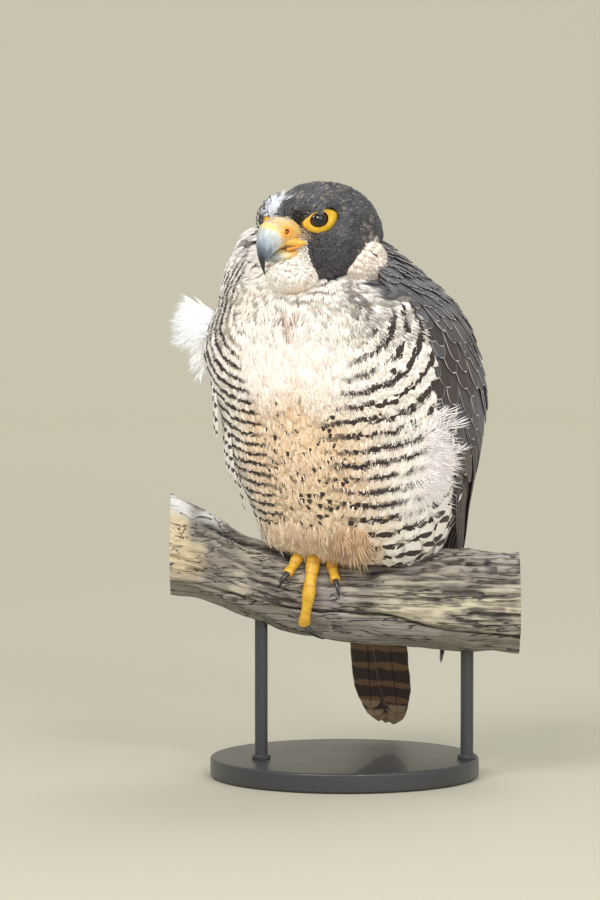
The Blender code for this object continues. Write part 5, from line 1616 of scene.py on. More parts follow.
@dataclass
class Skin:
    """One skin under all the plumage of head, neck, body and thighs."""

    depth: float = 3.2
    head_depth: float = 2.3
    voxel: float = 2.4
    wing_depth: float = 2.6
    eye_depth: float = 2.8
    thighs: tuple = (((20, -18, 24), (24, 25, 31)), ((13, 22, 27), (24, 24, 28)))
    droop: float = 0.18

    def build(self, finish: bpy.types.Material) -> bpy.types.Object:
        """Makes the skin and paints it.

        Args:
            finish: Material of the plumage.

        Returns:
            The skin.
        """
        weave = Weave()
        z = np.linspace(-5.0, 211.0, 73)
        a = np.linspace(0, 2 * np.pi, 72, endpoint=False)
        add_lathe(weave, sunk_to_head(TORSO.surface(z[:, None], a[None, :], -self.depth), 8.5)[0])
        phi = np.linspace(-1.45, 1.45, 48)
        add_lathe(weave, SKULL.surface(a[None, :], phi[:, None], -self.head_depth))
        for place, size in SWELLS:
            swell = SKULL.direction(a[None, :], phi[:, None]) * (np.array(size) - 1.3) + place
            add_lathe(weave, HEAD.place(swell[..., 0], swell[..., 1], swell[..., 2]))
        for middle, radii in self.thighs:
            add_lathe(weave, self._thigh(middle, radii, a, phi))
        rough = mesh_object("skin", weave.mesh("skin_forms"), finish)
        change = rough.modifiers.new("union", "REMESH")
        change.mode = "VOXEL"
        change.voxel_size = self.voxel * MM
        soften = rough.modifiers.new("soften", "SMOOTH")
        soften.iterations = 4
        graph = bpy.context.evaluated_depsgraph_get()
        made = bpy.data.meshes.new_from_object(rough.evaluated_get(graph))
        rough.modifiers.clear()
        rough.data = made
        self._paint(made)
        return rough

    def _thigh(self, middle: tuple, radii: tuple, a: Array, phi: Array) -> Array:
        """Rings of one thigh."""
        d = SKULL.direction(a[None, :], phi[:, None])
        narrow = 1.0 - self.droop * np.maximum(0.0, -d[..., 2])
        forward = middle[0] + (radii[0] - self.depth) * d[..., 0] * narrow
        left = middle[1] + (radii[1] - self.depth) * d[..., 1] * narrow
        return BODY.place(forward, left, middle[2] + (radii[2] - self.depth) * d[..., 2])

    def _paint(self, mesh: bpy.types.Mesh) -> None:
        """Tucks the skin under the wings and gives it the markings."""
        points = np.empty(len(mesh.vertices) * 3, np.float32)
        mesh.vertices.foreach_get("co", points)
        points = tuck_under_wings(points.reshape(-1, 3) / MM, self.wing_depth)
        for side in (1, -1):
            eye = Eye(side)
            ahead, above = eye.seen_at(np.stack(HEAD.local(points), axis=-1))
            near = step(1.35, 0.95, np.hypot((ahead - 1.5) / 11.0, above / 7.5)) * step(-2, 3, ahead) * head_share(points)
            points = points - HEAD.turn(np.tile(eye.out, (len(points), 1))) * (near * self.eye_depth)[:, None]
        mesh.vertices.foreach_set("co", (points * MM).astype(np.float32).ravel())
        on_head = head_share(points)
        body_tint, body_marks = Markings.body(points)
        head_tint, head_marks = Markings.head(points)
        tint = blend_colour(body_tint, head_tint, on_head)
        store(mesh, "tint", tint * 0.82)
        store(mesh, "marks", blend_colour(body_marks, head_marks, on_head) * (1.0, 1.0, 0.0))
        store(mesh, "chance", np.full(len(points), 0.5))
        store(mesh, "flow", Markings.flow(points))
        store(mesh, "vane_uv", np.tile((0.5, 0.3), (len(points), 1)))
        store(mesh, "bake_uv", unwrap_of(points, on_head))
        mesh.polygons.foreach_set("use_smooth", np.ones(len(mesh.polygons), bool))
        mesh.update()


def head_share(points: Array) -> Array:
    """How far each place belongs to the head rather than to the body."""
    f, s, u = HEAD.local(points)
    reach = np.sqrt((f / 50.0) ** 2 + (s / 40.0) ** 2 + (u / 39.0) ** 2)
    return step(1.06, 0.96, reach) * step(-35.0, -31.0, u)


def sunk_to_head(points: Array, depth: float) -> tuple[Array, Array]:
    """Draws the throat in where the head rests on it.

    Args:
        points: World places on the body.
        depth: How far places inside the head are drawn in.

    Returns:
        The places, and their distance from the head's middle as a share of its own reach.
    """
    angle, z = TORSO.angle_of(points)
    degrees = np.degrees(angle)
    front = step(-16, -6, degrees) * step(72, 50, degrees)
    inward = unit(TORSO.outward(z, angle) * (1, 1, 0))
    points = points - inward * (22.0 * step(161, 178, z) * front)[..., None]
    local = np.stack(HEAD.local(points), axis=-1)
    distance = np.linalg.norm(local, axis=-1, keepdims=True)
    reach = np.linalg.norm(SKULL.local(local / distance), axis=-1, keepdims=True)
    ratio = distance / reach
    near = ratio - depth / reach * step(1.40, 1.10, ratio) * (1 - front)[..., None]
    local = local * near / ratio
    return HEAD.place(local[..., 0], local[..., 1], local[..., 2]), near[..., 0]


def unwrap_of(points: Array, on_head: Array) -> Array:
    """Places on the unwrap of the skin, the body on its left and the head on its right."""
    angle, z = TORSO.angle_of(points)
    theta, phi = SKULL.angles_of(points)
    body = np.stack((0.02 + 0.60 * (angle + np.pi) / (2 * np.pi), 0.02 + 0.94 * (z + 6) / 220), axis=1)
    head = np.stack((0.66 + 0.32 * (theta + np.pi) / (2 * np.pi), 0.02 + 0.94 * (phi + 1.5) / 3.1), axis=1)
    return np.clip(np.where(on_head[:, None] > 0.5, head, body), 0.004, 0.996)


def tuck_under_wings(points: Array, depth: float) -> Array:
    """Draws places that would show through a wing back under its sheet.

    Args:
        points: World places.
        depth: How far under the sheet they are kept.

    Returns:
        The places, moved where needed.
    """
    forward, left, up = BODY.local(points)
    for wing in (WING_LEFT, WING_RIGHT):
        middle = Profile(wing.middle)(up)
        if wing.side < 0:
            middle = middle - Profile(wing.shift_back)(up)
        half = Profile(wing.left_side if wing.side > 0 else wing.right_side)(up)
        ahead = forward - middle
        reach = np.where(ahead > 0, Profile(wing.front)(up), Profile(wing.back)(up))
        angle = np.arctan2(wing.side * left / half, ahead / reach)
        out = np.hypot(left / half, ahead / reach)
        limit = 1 - depth / np.minimum(half, reach)
        top = 203.0 if wing.side < 0 else 190.0
        inside = step(-0.02, 0.03, angle - wing.lead(up)) * step(top, top - 5, up) * step(22, 28, up)
        inside = inside * step(-0.1, 0.1, wing.side * left / 10)
        shrink = np.where(out > limit, limit / np.maximum(out, 1e-3), 1.0)
        shrink = mix(1.0, shrink, inside)
        forward = middle + ahead * shrink
        left = left * shrink
    return BODY.place(forward, left, up)


# Wing, flank and tail feathers


@dataclass(frozen=True)
class Vane3:
    """One large feather along a line: its stations, half widths, heights and looks."""

    s: Array
    half: Array
    lift: Array
    flow: Array
    tint: Array
    marks: Sequence[float]
    chance: float
    roll: float = 0.0
    cup: float = 0.55
    thickness: float = 0.34
    columns: int = 7

    def add(self, weave: Weave, place: Callable[[Array, Array], Array], bake: Callable[[Array], Array],
            rng: np.random.Generator) -> None:
        """Adds the feather as a closed thin form.

        Args:
            weave: Where it goes.
            place: Gives places from distances to the side and heights.
            bake: Gives the bake place of a root.
            rng: Source of the random numbers.
        """
        across = np.linspace(-1, 1, self.columns)[None, :]
        ragged = 1 + rng.normal(0, 0.018, (len(self.s), 2))
        aside = across * np.where(across < 0, ragged[:, :1], ragged[:, 1:]) * self.half[:, None]
        cup = self.cup * (1 - across**2) * np.minimum(1.0, self.half[:, None] / 6.0)
        here = self.lift[:, None] - self.roll * aside + cup
        thin = self.thickness * (0.35 + 0.65 * (1 - across**2)) / 2
        tops = place(aside, here + thin)
        ring = np.concatenate((tops, place(aside, here - thin)[:, ::-1]), axis=1)
        u = np.concatenate((across[0], across[0, ::-1])) * 0.5 + 0.5
        uv = np.stack(np.broadcast_arrays(u[None, :], self.s[:, None]), axis=-1).reshape(-1, 2)
        count = len(uv)
        root = bake(tops[0, self.columns // 2][None])[0]
        add_lathe(weave, ring, tint=np.tile(self.tint, (count, 1)), marks=np.tile(self.marks, (count, 1)),
                  chance=np.full(count, self.chance), flow=self.flow.repeat(ring.shape[1]), vane_uv=uv,
                  bake_uv=root + (uv - 0.5) * PATCH)


@dataclass(frozen=True)
class FlankRow:
    """Large barred feathers that hang along the flank. Angles in degrees, the rest in millimetres."""

    angles: tuple[float, ...]
    root: float
    tip: float
    half: float
    lifts: tuple[float, float]
    lean: float = 0.0
    bars: float = 1.0


@dataclass(frozen=True)
class Flanks:
    """Long flank feathers: the scalloped hem on the left and the loose tips on the right."""

    rows: tuple = (
        FlankRow((30, 44, 59, 74, 90), 40, 2.5, 8.4, (-2.5, 3.6)),
        FlankRow((37, 51, 66, 82), 50, 11, 8.2, (-2.5, 3.2), 4),
        FlankRow((31, 45, 59, 74), 60, 20, 7.8, (-2.5, 2.8), 8),
        FlankRow((38, 52, 67), 70, 30, 7.6, (-2.5, 2.5), 8),
        FlankRow((32, 46, 60), 80, 40, 7.2, (-2.5, 2.2), 9),
        FlankRow((39, 53, 66), 90, 51, 6.8, (-2.5, 2.0), 10),
        FlankRow((-50, -54, -58, -63), 124, 74, 3.2, (-2.5, 6.8)),
        FlankRow((-49, -53, -58, -64), 94, 50, 3.2, (-2.5, 5.6)),
        FlankRow((-52, -57), 70, 30, 3.0, (-2.5, 4.6)),
    )

    def build(self, finish: bpy.types.Material) -> bpy.types.Object:
        """Makes all rows as one mesh.

        Args:
            finish: Material of the plumage.

        Returns:
            The piece.
        """
        weave = Weave()
        rng = np.random.default_rng(SEED + 19)
        for row in self.rows:
            for degrees in row.angles:
                s = np.concatenate((np.linspace(0, 0.8, 16, endpoint=False), (0.8, 0.88, 0.94, 0.98, 1.0)))
                z = mix(row.root, row.tip + rng.normal(0, 1.4), s)
                angle = np.radians(degrees + rng.normal(0, 1.5) + row.lean * (1 - s))
                reach = np.linalg.norm(TORSO.surface(z, angle + 0.02) - TORSO.surface(z, angle - 0.02), axis=1) / 0.04

                def place(aside: Array, lift: Array, z: Array = z, angle: Array = angle,
                          reach: Array = reach) -> Array:
                    """Places over the body."""
                    return TORSO.surface(z[:, None] + 0 * aside, angle[:, None] + aside / reach[:, None], lift)

                width = mix(0.6, 1.0, ease(s / 0.4)) * np.sqrt(np.maximum(1 - np.clip((s - 0.7) / 0.3, 0, 1) ** 2.6, 0.002))
                middle = TORSO.surface(z, angle)
                tint, _ = Markings.body(middle[-3:-2])
                feather = Vane3(s, row.half * width, mix(row.lifts[0], row.lifts[1], s), Markings.flow(middle), tint[0],
                                (row.bars, 0.0, 0.15), 0.5 + 0.3 * (rng.uniform() - 0.5), roll=0.05, cup=0.30,
                                thickness=0.3)
                feather.add(weave, place, lambda q: unwrap_of(q, np.zeros(len(q))), rng)
        return mesh_object("hem_feathers", weave.mesh("hem_feathers"), finish)


@dataclass(frozen=True)
class VaneRow:
    """One row of large feathers, from the leading edge towards the back.

    Pairs are for the first and the last feather. Lifts are those of root and tip.
    """

    name: str
    count: int
    roots: tuple[float, float]
    tips: tuple[float, float]
    root_shares: tuple[float, float]
    tip_shares: tuple[float, float]
    half_width: float
    lifts: tuple[float, float]
    rim: float = 0.5
    pointed: float = 0.16
    tint: Colour = (0.105, 0.096, 0.098)
    uneven: float = 2.0


@dataclass
class Wing:
    """Folded wing whose feathers lie in overlapping rows."""

    form: WingForm
    name: str
    columns: int = 7
    thickness: float = 0.34
    gap: float = 0.30
    long_rows: tuple = (
        VaneRow("primary", 9, (66, 62), (-79, -26), (0.10, 0.38), (0.16, 0.70), 7.4, (-1.4, 0.6), 0.35, 0.14,
                (0.070, 0.054, 0.048)),
        VaneRow("secondary", 10, (94, 94), (-4, -12), (0.32, 0.84), (0.28, 0.84), 8.4, (-1.4, 1.9), 0.5, 0.30,
                (0.078, 0.062, 0.056)),
        VaneRow("tertial", 5, (108, 108), (10, 26), (0.82, 0.98), (0.80, 0.96), 7.6, (-1.6, 4.0), 0.6, 0.30,
                (0.085, 0.070, 0.064)),
        VaneRow("greater", 13, (92, 92), (46, 50), (0.03, 0.82), (0.05, 0.82), 6.4, (-1.6, 2.6), 0.7, 0.36,
                (0.082, 0.070, 0.068)),
    )
    covert_tips: Keys = ((0, 60), (5, 104), (11, 147), (19, 184))
    covert_half: Keys = ((0, 6.2), (6, 5.8), (9, 4.5), (12, 3.6), (19, 2.7))
    covert_rows: int = 20

    def rows(self) -> list[VaneRow]:
        """All rows, the lowest first, so that each lies over the one before."""
        found = list(self.long_rows)
        count = self.covert_rows + (3 if self.form.side < 0 else 1)
        for k in range(count):
            tip = float(Profile(self.covert_tips)(min(k, 19))) + 5.0 * max(k - 19, 0)
            half = float(Profile(self.covert_half)(min(k, 19)))
            span = mix(5.0, 3.4, float(step(8, 13, k))) * half
            number = int(118.0 / (1.55 * half))
            shift = 0.5 / number * (k % 2)
            bow = 5.0
            high = 2.6 if k > 2 else 2.9
            found.append(VaneRow(f"covert_{k}", number, (tip + span, tip + span + bow), (tip, tip + bow),
                                 (0.02 + shift, 0.97 + shift), (0.02 + shift, 0.97 + shift), half, (-1.2, high), 0.85,
                                 0.42, (0.086, 0.078, 0.078), 2.0))
        return found

    def build(self, finish: bpy.types.Material) -> bpy.types.Object:
        """Makes the wing's core and all its feathers as one mesh.

        Args:
            finish: Material of the feathers.

        Returns:
            The wing.
        """
        weave = Weave()
        self._core(weave)
        for k, row in enumerate(self.rows()):
            rng = np.random.default_rng(SEED + 31 * k + self.form.side)
            for i in range(row.count):
                self._feather(weave, row, i / (row.count - 1), rng)
        mesh = weave.mesh(self.name)
        return mesh_object(self.name, mesh, finish)

    def _core(self, weave: Weave) -> None:
        """Adds the curved slab in which the feathers root."""
        top = 201.0 if self.form.side < 0 else 187.0
        z = np.linspace(23.0, top, 40)
        share = np.linspace(0.02, 0.98, 24)
        angle = self.form.angle(z[:, None], share[None, :])
        outer, _ = self.form.surface(z[:, None] + 0 * angle, angle, -0.4)
        inner, _ = self.form.surface(z[:, None] + 0 * angle, angle, -4.0)
        ring = np.concatenate((outer, inner[:, ::-1]), axis=1)
        count = ring.shape[0] * ring.shape[1]
        flat = ring.reshape(-1, 3)
        add_lathe(weave, ring, tint=np.tile((0.07, 0.064, 0.064), (count, 1)), marks=np.zeros((count, 3)),
                  chance=np.full(count, 0.5), flow=flat[:, 2].copy(), vane_uv=np.tile((0.5, 0.3), (count, 1)),
                  bake_uv=self._unwrap(flat))

    def _unwrap(self, points: Array) -> Array:
        """Bake places of the wing's own sheet."""
        angle, z = TORSO.angle_of(points)
        u = 0.02 + 0.96 * np.clip(np.abs(angle) / np.pi, 0, 1)
        return np.stack((u, 0.02 + 0.96 * np.clip((z + 85) / 295, 0, 1)), axis=1)

    def _feather(self, weave: Weave, row: VaneRow, t: float, rng: np.random.Generator) -> None:
        """Adds one feather of a row.

        Args:
            weave: Where it goes.
            row: The row.
            t: Its place in the row, 0 to 1.
            rng: Source of the random numbers.
        """
        form = self.form
        top = mix(*row.roots, t) + rng.normal(0, 1.0)
        low = mix(*row.tips, t) + rng.normal(0, row.uneven)
        share_top = mix(*row.root_shares, t)
        share_low = mix(*row.tip_shares, t) + rng.normal(0, 0.011)
        long = not row.name.startswith("covert")
        if not long and low > 205.0 - 16.0 * (form.side > 0):
            return
        stations = int(np.clip(abs(top - low) / 4.0, 9, 26))
        s = np.concatenate((np.linspace(0, 0.72, stations - 5, endpoint=False), (0.72, 0.84, 0.93, 0.98, 1.0)))
        z = mix(top, low, s)
        angle = form.angle(z, mix(share_top, share_low, s))
        reach = form.surface(z, angle)[1]
        half = row.half_width * rng.uniform(0.94, 1.06) * self._outline(s, row.pointed)
        gaps = max(row.count - 1, 1)
        spacing = max(abs(row.tip_shares[1] - row.tip_shares[0]) / gaps, 0.02) * 115.0
        roll = min((self.thickness + self.gap) / spacing, 0.22)
        lift = mix(row.lifts[0], row.lifts[1], ease(s / 0.55) if long else s) + rng.normal(0, 0.15)
        first = form.lead(z)[:, None] + 0.01

        def place(aside: Array, height: Array) -> Array:
            """Places over the wing, kept behind its leading edge."""
            turn = np.clip(angle[:, None] + aside / reach[:, None], first, math.radians(186))
            return form.surface(z[:, None] + 0 * turn, turn, height)[0]

        tint, marks = self._colours(row, (z.mean(), float(np.degrees(angle.mean()))), rng)
        feather = Vane3(s, half, lift, s * abs(top - low), tint, marks, rng.uniform(),
                        (roll + rng.normal(0, 0.012)) * form.side ** 0, 0.55, self.thickness)
        feather.add(weave, place, self._unwrap, rng)

    @staticmethod
    def _outline(s: Array, pointed: float) -> Array:
        """Half width of a feather along its length, as a share of the widest."""
        width = mix(0.55, 1.0, ease(s / 0.35))
        end = np.clip((s - 0.62) / 0.38, 0, 1)
        return width * np.maximum(np.sqrt(np.maximum(1 - end ** (2.4 - 1.2 * (0.5 - pointed)), 0.0)), 0.02)

    def _colours(self, row: VaneRow, middle: tuple[float, float],
                 rng: np.random.Generator) -> tuple[Array, Array]:
        """Colour and marks of one feather."""
        tint = np.array(row.tint) * rng.uniform(0.55, 1.35)
        z, degrees = middle
        place = np.array([[degrees * 1.1, z, 0.0]])
        bluish = float(step(0.0, 0.5, clouds(place, 30.0, 71)[0]) + step(130, 170, z)[()])
        tint = mix(tint, np.array((0.115, 0.116, 0.128)) * rng.uniform(0.8, 1.2), 0.55 * min(bluish, 1.0))
        brown = float(step(34, 6, abs(z - 120)) * step(26, 8, abs(degrees - 66)))
        if rng.uniform() < 0.75:
            tint = mix(tint, np.array((0.050, 0.034, 0.029)), 0.8 * brown)
        marks = np.array((0.0, 0.0, row.rim * rng.uniform(0.45, 1.0)))
        if not row.name.startswith("covert"):
            marks[0] = 0.22
        return tint, marks


@dataclass
class Tail:
    """Twelve long feathers and the coverts over and under their roots."""

    root: tuple[float, float, float] = (17.0, 40.0, 30.0)
    tip: tuple[float, float, float] = (30.5, 100.0, -119.0)
    pairs: int = 6
    layer: float = 0.88
    half_width: float = 11.6
    spread: tuple[float, float] = (1.0, 1.75)
    core: tuple = ((0, 17, 4.0, 5.0), (20, 18, 3.6, 4.5), (40, 17, 2.2, 3.0), (62, 14.5, 0.9, 0.9))

    def __post_init__(self) -> None:
        """Works out the tail's own directions."""
        self.start = np.array(PERCH_TOP) + self.root
        end = np.array(PERCH_TOP) + self.tip
        self.length = float(np.linalg.norm(end - self.start))
        self.along = (end - self.start) / self.length
        self.aside = unit(BODY.left - self.along * float(BODY.left @ self.along))
        self.under = unit(np.cross(self.aside, self.along))
        if self.under[1] > 0:
            self.under = -self.under

    def place(self, along: Number, aside: Number, under: Number) -> Array:
        """World places in the tail's directions."""
        along, aside, under = np.broadcast_arrays(along, aside, under)
        return self.start + along[..., None] * self.along + aside[..., None] * self.aside + under[..., None] * self.under

    def build(self, finish: bpy.types.Material) -> bpy.types.Object:
        """Makes the tail as one mesh.

        Args:
            finish: Material of its feathers.

        Returns:
            The tail.
        """
        weave = Weave()
        rng = np.random.default_rng(SEED + 7)
        depth = self.layer * (2 * self.pairs - 1)
        a = np.linspace(0, 2 * np.pi, 28, endpoint=False)
        rings = []
        for along, half, over, under in self.core:
            middle = depth / 2 + (under - over) / 2
            rings.append(self.place(along, half * np.cos(a), middle + (depth / 2 + (under + over) / 2) * np.sin(a)))
        rings = np.array(rings)
        count = rings.shape[0] * rings.shape[1]
        add_lathe(weave, rings, tint=np.tile((0.30, 0.26, 0.22), (count, 1)), marks=np.zeros((count, 3)),
                  chance=np.full(count, 0.5), flow=np.zeros(count), vane_uv=np.tile((0.5, 0.3), (count, 1)),
                  bake_uv=np.tile((0.5, 0.5), (count, 1)))
        for pair in range(self.pairs):
            for side in (-1, 1):
                level = self.layer * (2 * pair + (1 if side > 0 else 0))
                self._feather(weave, rng, (26.0, self.length - 0.5 * pair**2 + rng.uniform(-1.5, 1.5)),
                              side * (self.spread[0] + self.spread[1] * pair), self.half_width, (level, level), 0.55,
                              (0.060, 0.044, 0.036), 0.85)
        for face in (1, -1):
            for row, (start, reach, width) in enumerate(((30.0, 96.0, 6.0), (22.0, 76.0, 6.4), (14.0, 56.0, 6.8))):
                for i in range(6):
                    aside = mix(-11.5, 11.5, i / 5) + rng.normal(0, 0.5)
                    lift = np.array((0.7 + 0.6 * row, 1.4 + 0.9 * row + 0.4 * (i % 2)))
                    level = depth + lift if face > 0 else -lift
                    self._feather(weave, rng, (start, reach - 0.10 * aside**2 + rng.normal(0, 1.5)), aside, width,
                                  tuple(level), 0.4, (0.36, 0.30, 0.25) if face > 0 else (0.10, 0.090, 0.088), 0.7)
        return mesh_object("tail_feathers", weave.mesh("tail_feathers"), finish)

    def _feather(self, weave: Weave, rng: np.random.Generator, span: tuple[float, float], aside: float, half: float,
                 levels: tuple[float, float], rim: float, tint: Colour, bars: float) -> None:
        """Adds one feather.

        Args:
            weave: Where it goes.
            rng: Source of the random numbers.
            span: Where it begins and ends along the tail.
            aside: Its place to the left of the tail's middle.
            half: Half its width.
            levels: Its level at root and tip.
            rim: Strength of its pale edge.
            tint: Its colour.
            bars: Strength of its bars.
        """
        s = np.concatenate((np.linspace(0, 0.84, 20, endpoint=False), np.linspace(0.84, 1, 8)))
        along = mix(span[0], span[1], s)
        width = half * mix(0.62, 1.0, ease(s * 1.6))
        width = width * np.maximum(np.sqrt(np.maximum(1 - np.clip((s - 0.72) / 0.28, 0, 1) ** 2.2, 0)), 0.03)
        middle = aside * mix(0.45, 1.0, along / self.length)
        level = mix(levels[0], levels[1], s)

        def place(side: Array, height: Array) -> Array:
            """Places in the tail's stack, heights counted away from the camera."""
            return self.place(along[:, None], middle[:, None] + side, height)

        root = np.array((0.5 + aside / 60.0, 0.1 + span[0] / 250.0))
        feather = Vane3(s, width, level, along, np.array(tint) * rng.uniform(0.85, 1.15), (bars, 0.0, rim),
                        rng.uniform(), 0.0, -0.35, 0.30, 9)
        feather.add(weave, place, lambda q: np.tile(root, (len(q), 1)), rng)


# Bill, cere, lids and eyes


@dataclass
class Bill:
    """Hooked bill, the bare skin at its root and the nostrils."""

    ridge: tuple = ((34, 11.0), (40, 10.8), (45, 9.6), (49.5, 7.4), (53, 2), (55, -5), (54.8, -12), (52.6, -18.5),
                    (50.4, -23.4))
    edge: tuple = ((29, -5), (34, -6.6), (38.5, -8.2), (43, -10), (46, -12), (48.4, -14.2), (51.0, -16.4),
                   (50.9, -19.8), (50.1, -24))
    half: tuple = (12.2, 11.4, 10.0, 8.4, 6.6, 4.7, 2.5, 1.4, 0.4)
    lower_top: tuple = ((28, -5), (33, -6.6), (38, -8.3), (42.5, -10.2), (45.6, -12.2))
    lower_bottom: tuple = ((27, -13), (32, -14.8), (37, -16.0), (42, -16.4), (45.4, -15.0))
    lower_half: tuple = (10.6, 9.6, 8.2, 6.0, 2.6)
    cere_end: float = 2.62
    nostril: tuple = (41.2, 8.4, 2.2)
    nostril_radius: float = 1.75
    lips: tuple = ((((38.4, 6.4, -3.6), (35.2, 9.6, -4.0), (32.8, 12.8, -4.5), (30.2, 15.8, -4.9)), 1.42, 0.95,
                    (1.02, 1.10, 4.6)),
                   (((38, 7.0, -8.8), (35.6, 9.6, -7.7), (33.2, 12.4, -6.6), (30.6, 15.3, -5.3)), 0.95, 0.55,
                    (1.06, 0.74, 2.6)))

    def _rings(self, tops: tuple, bottoms: tuple, halves: tuple, at: Array, sides: int) -> Array:
        """Rings between an upper and a lower line, as forward, left and up."""
        index = np.arange(len(tops))
        lines = [Profile([(i, v) for i, v in zip(index, values)])(at)
                 for values in ([p[0] for p in tops], [p[1] for p in tops], [p[0] for p in bottoms],
                                [p[1] for p in bottoms], halves)]
        a = np.linspace(0, 2 * np.pi, sides, endpoint=False)
        share = (1 + np.cos(a)) / 2
        forward = mix(lines[2][:, None], lines[0][:, None], share)
        up = mix(lines[3][:, None], lines[1][:, None], share)
        left = lines[4][:, None] * np.sin(a)[None, :]
        return np.stack((forward, left, up), axis=-1)

    def _to_world(self, local: Array) -> Array:
        """World places of points in the head's directions."""
        return HEAD.place(local[..., 0], local[..., 1], local[..., 2])

    def cere(self, finish: bpy.types.Material) -> bpy.types.Object:
        """Makes the bare skin above the bill, with its round nostrils.

        Args:
            finish: Its material.

        Returns:
            The piece.
        """
        local = self._rings(self.ridge, self.edge, self.half, np.linspace(0, self.cere_end, 76), 120)
        middle = local.mean(axis=1, keepdims=True)
        end = np.linspace(0, 1, 76)[:, None, None]
        swell = 1 + 0.035 * np.sin(np.pi * end) - 0.05 * step(0.90, 1.0, end)
        local = middle + (local - middle) * swell
        reach = np.hypot(local[..., 0] - self.nostril[0], local[..., 2] - self.nostril[2])
        reach = reach + 9.0 * (np.abs(local[..., 1]) < 4.0)
        out = unit(local * (0.25, 1, 0.2) - middle * (0.25, 1, 0.2))
        r = reach / self.nostril_radius
        height = 0.55 * np.exp(-(((r - 1.35) / 0.35) ** 2)) - 1.9 * step(1.08, 0.72, r) + 1.5 * step(0.46, 0.20, r)
        wrinkle = 0.14 * clouds(local.reshape(-1, 3) * (1.0, 1.0, 2.2), 2.0, 41).reshape(reach.shape)
        local = local + out * (height + wrinkle)[..., None]
        pale = np.array((1.00, 1.45, 22.0))
        tint = np.ones((*reach.shape, 3))
        near_edge = step(0.78, 1.0, np.broadcast_to(end[..., 0], reach.shape))
        top = step(4, 11, local[..., 2])
        colour = blend_colour(tint.reshape(-1, 3), pale * 0.85, np.clip(0.38 + 0.45 * near_edge + 0.35 * top, 0, 0.9).ravel())
        glow = np.exp(-(((r - 1.3) / 0.9) ** 2)).ravel()
        colour = blend_colour(colour, (1.25, 0.85, 1.0), glow * 0.8)
        # Painted shade: the opening of each nostril is painted dark, the shade inside the hole.
        hole = (step(1.02, 0.80, r) * (1 - step(0.50, 0.30, r))).ravel()
        colour = blend_colour(colour, (0.16, 0.03, 0.4), hole)
        weave = Weave()
        add_lathe(weave, self._to_world(local), tint=colour)
        for side in (1, -1):
            for path, thick, flat, tone in self.lips:
                self._lip(weave, np.array(path) * (1, side, 1), thick, flat, tone)
        return mesh_object("cere_skin", weave.mesh("cere_skin"), finish)

    def _lip(self, weave: Weave, path: Array, thick: float, flat: float, tone: Colour) -> None:
        """Adds one soft edge of the mouth that ends in the corner.

        Args:
            weave: Where it goes.
            path: Points that it follows, in the head's directions.
            thick: Its thickness over the plain one.
            flat: Its height as a share of its width.
            tone: Its colour over the plain yellow.
        """
        at = np.arange(len(path))
        t = np.linspace(0, len(path) - 1, 40)
        line = np.stack([Profile(list(zip(at, path[:, i])))(t) for i in range(3)], axis=1)
        radii = Profile(((0, 2.1), (0.45, 1.85), (0.8, 1.25), (1.0, 0.5)))(t / t[-1]) * thick
        rings = tube_rings(self._to_world(line), radii, 18, flat, np.array((0.0, 0.0, 1.0)))
        tint = blend_colour(np.ones((rings.shape[0] * 18, 3)), tone, 0.8)
        add_lathe(weave, rings, tint=tint)

    def upper(self, finish: bpy.types.Material) -> bpy.types.Object:
        """Makes the upper half of the bill with its hook.

        Args:
            finish: Its material.

        Returns:
            The piece.
        """
        at = np.linspace(self.cere_end - 0.10, 8.0, 90)
        local = self._rings(self.ridge, self.edge, self.half, at, 72)
        middle = local.mean(axis=1, keepdims=True)
        share = (at - at[0]) / (at[-1] - at[0])
        local = middle + (local - middle) * (1 - 0.06 * step(0.06, 0.0, share))[:, None, None]
        wave = clouds(local.reshape(-1, 3) * (1, 1, 0.4), 2.4, 43).reshape(local.shape[:2])
        local = local + unit(local - middle) * (0.06 * wave)[..., None]
        low = step(0, 1, (local[..., 2] - middle[..., 2]) / -4)
        t = np.broadcast_to(share[:, None], low.shape).ravel()
        ridge = np.broadcast_to((1 + np.cos(np.linspace(0, 2 * np.pi, 72, endpoint=False)))[None, :] / 2, low.shape).ravel()
        blotch = wave.ravel()
        tint = np.tile((0.36, 0.43, 0.50), (t.size, 1))
        tint = blend_colour(tint, (0.62, 0.63, 0.56), step(0.34, 0.06, t - 0.12 * ridge + 0.05 * blotch) * 0.8)
        tint = blend_colour(tint, (0.12, 0.15, 0.20), step(0.30, 0.55, t + 0.12 * blotch + 0.10 * (1 - ridge)))
        tint = blend_colour(tint, (0.016, 0.018, 0.024), step(0.50, 0.72, t + 0.05 * blotch))
        skin = step(0.02, -0.02, t - 0.20 * ridge**1.6 + 0.02 * blotch)
        tint = blend_colour(tint, (0.84, 0.66, 0.24), skin)
        weave = Weave()
        add_lathe(weave, self._to_world(local), tint=tint)
        return mesh_object("bill_upper_horn", weave.mesh("bill_upper_horn"), finish)

    def lower(self, finish: bpy.types.Material) -> bpy.types.Object:
        """Makes the lower half of the bill.

        Args:
            finish: Its material.

        Returns:
            The piece.
        """
        at = np.linspace(0, 4, 60)
        tops = tuple((f, u - 0.32) for f, u in self.lower_top)
        local = self._rings(tops, self.lower_bottom, self.lower_half, at, 64)
        t = np.broadcast_to((at / 4)[:, None], local.shape[:2]).ravel()
        tint = np.tile((0.82, 0.52, 0.12), (t.size, 1))
        tint = blend_colour(tint, (0.78, 0.66, 0.34), step(0.30, 0.55, t))
        tint = blend_colour(tint, (0.30, 0.34, 0.32), step(0.55, 0.85, t))
        up = (local[..., 2] - local[..., 2].min(axis=1, keepdims=True)).ravel()
        tint = blend_colour(tint, (0.80, 0.30, 0.12), step(0.7, 0.2, t) * step(3.5, 8.0, up) * 0.7)
        weave = Weave()
        add_lathe(weave, self._to_world(local), tint=tint)
        return mesh_object("bill_lower_horn", weave.mesh("bill_lower_horn"), finish)


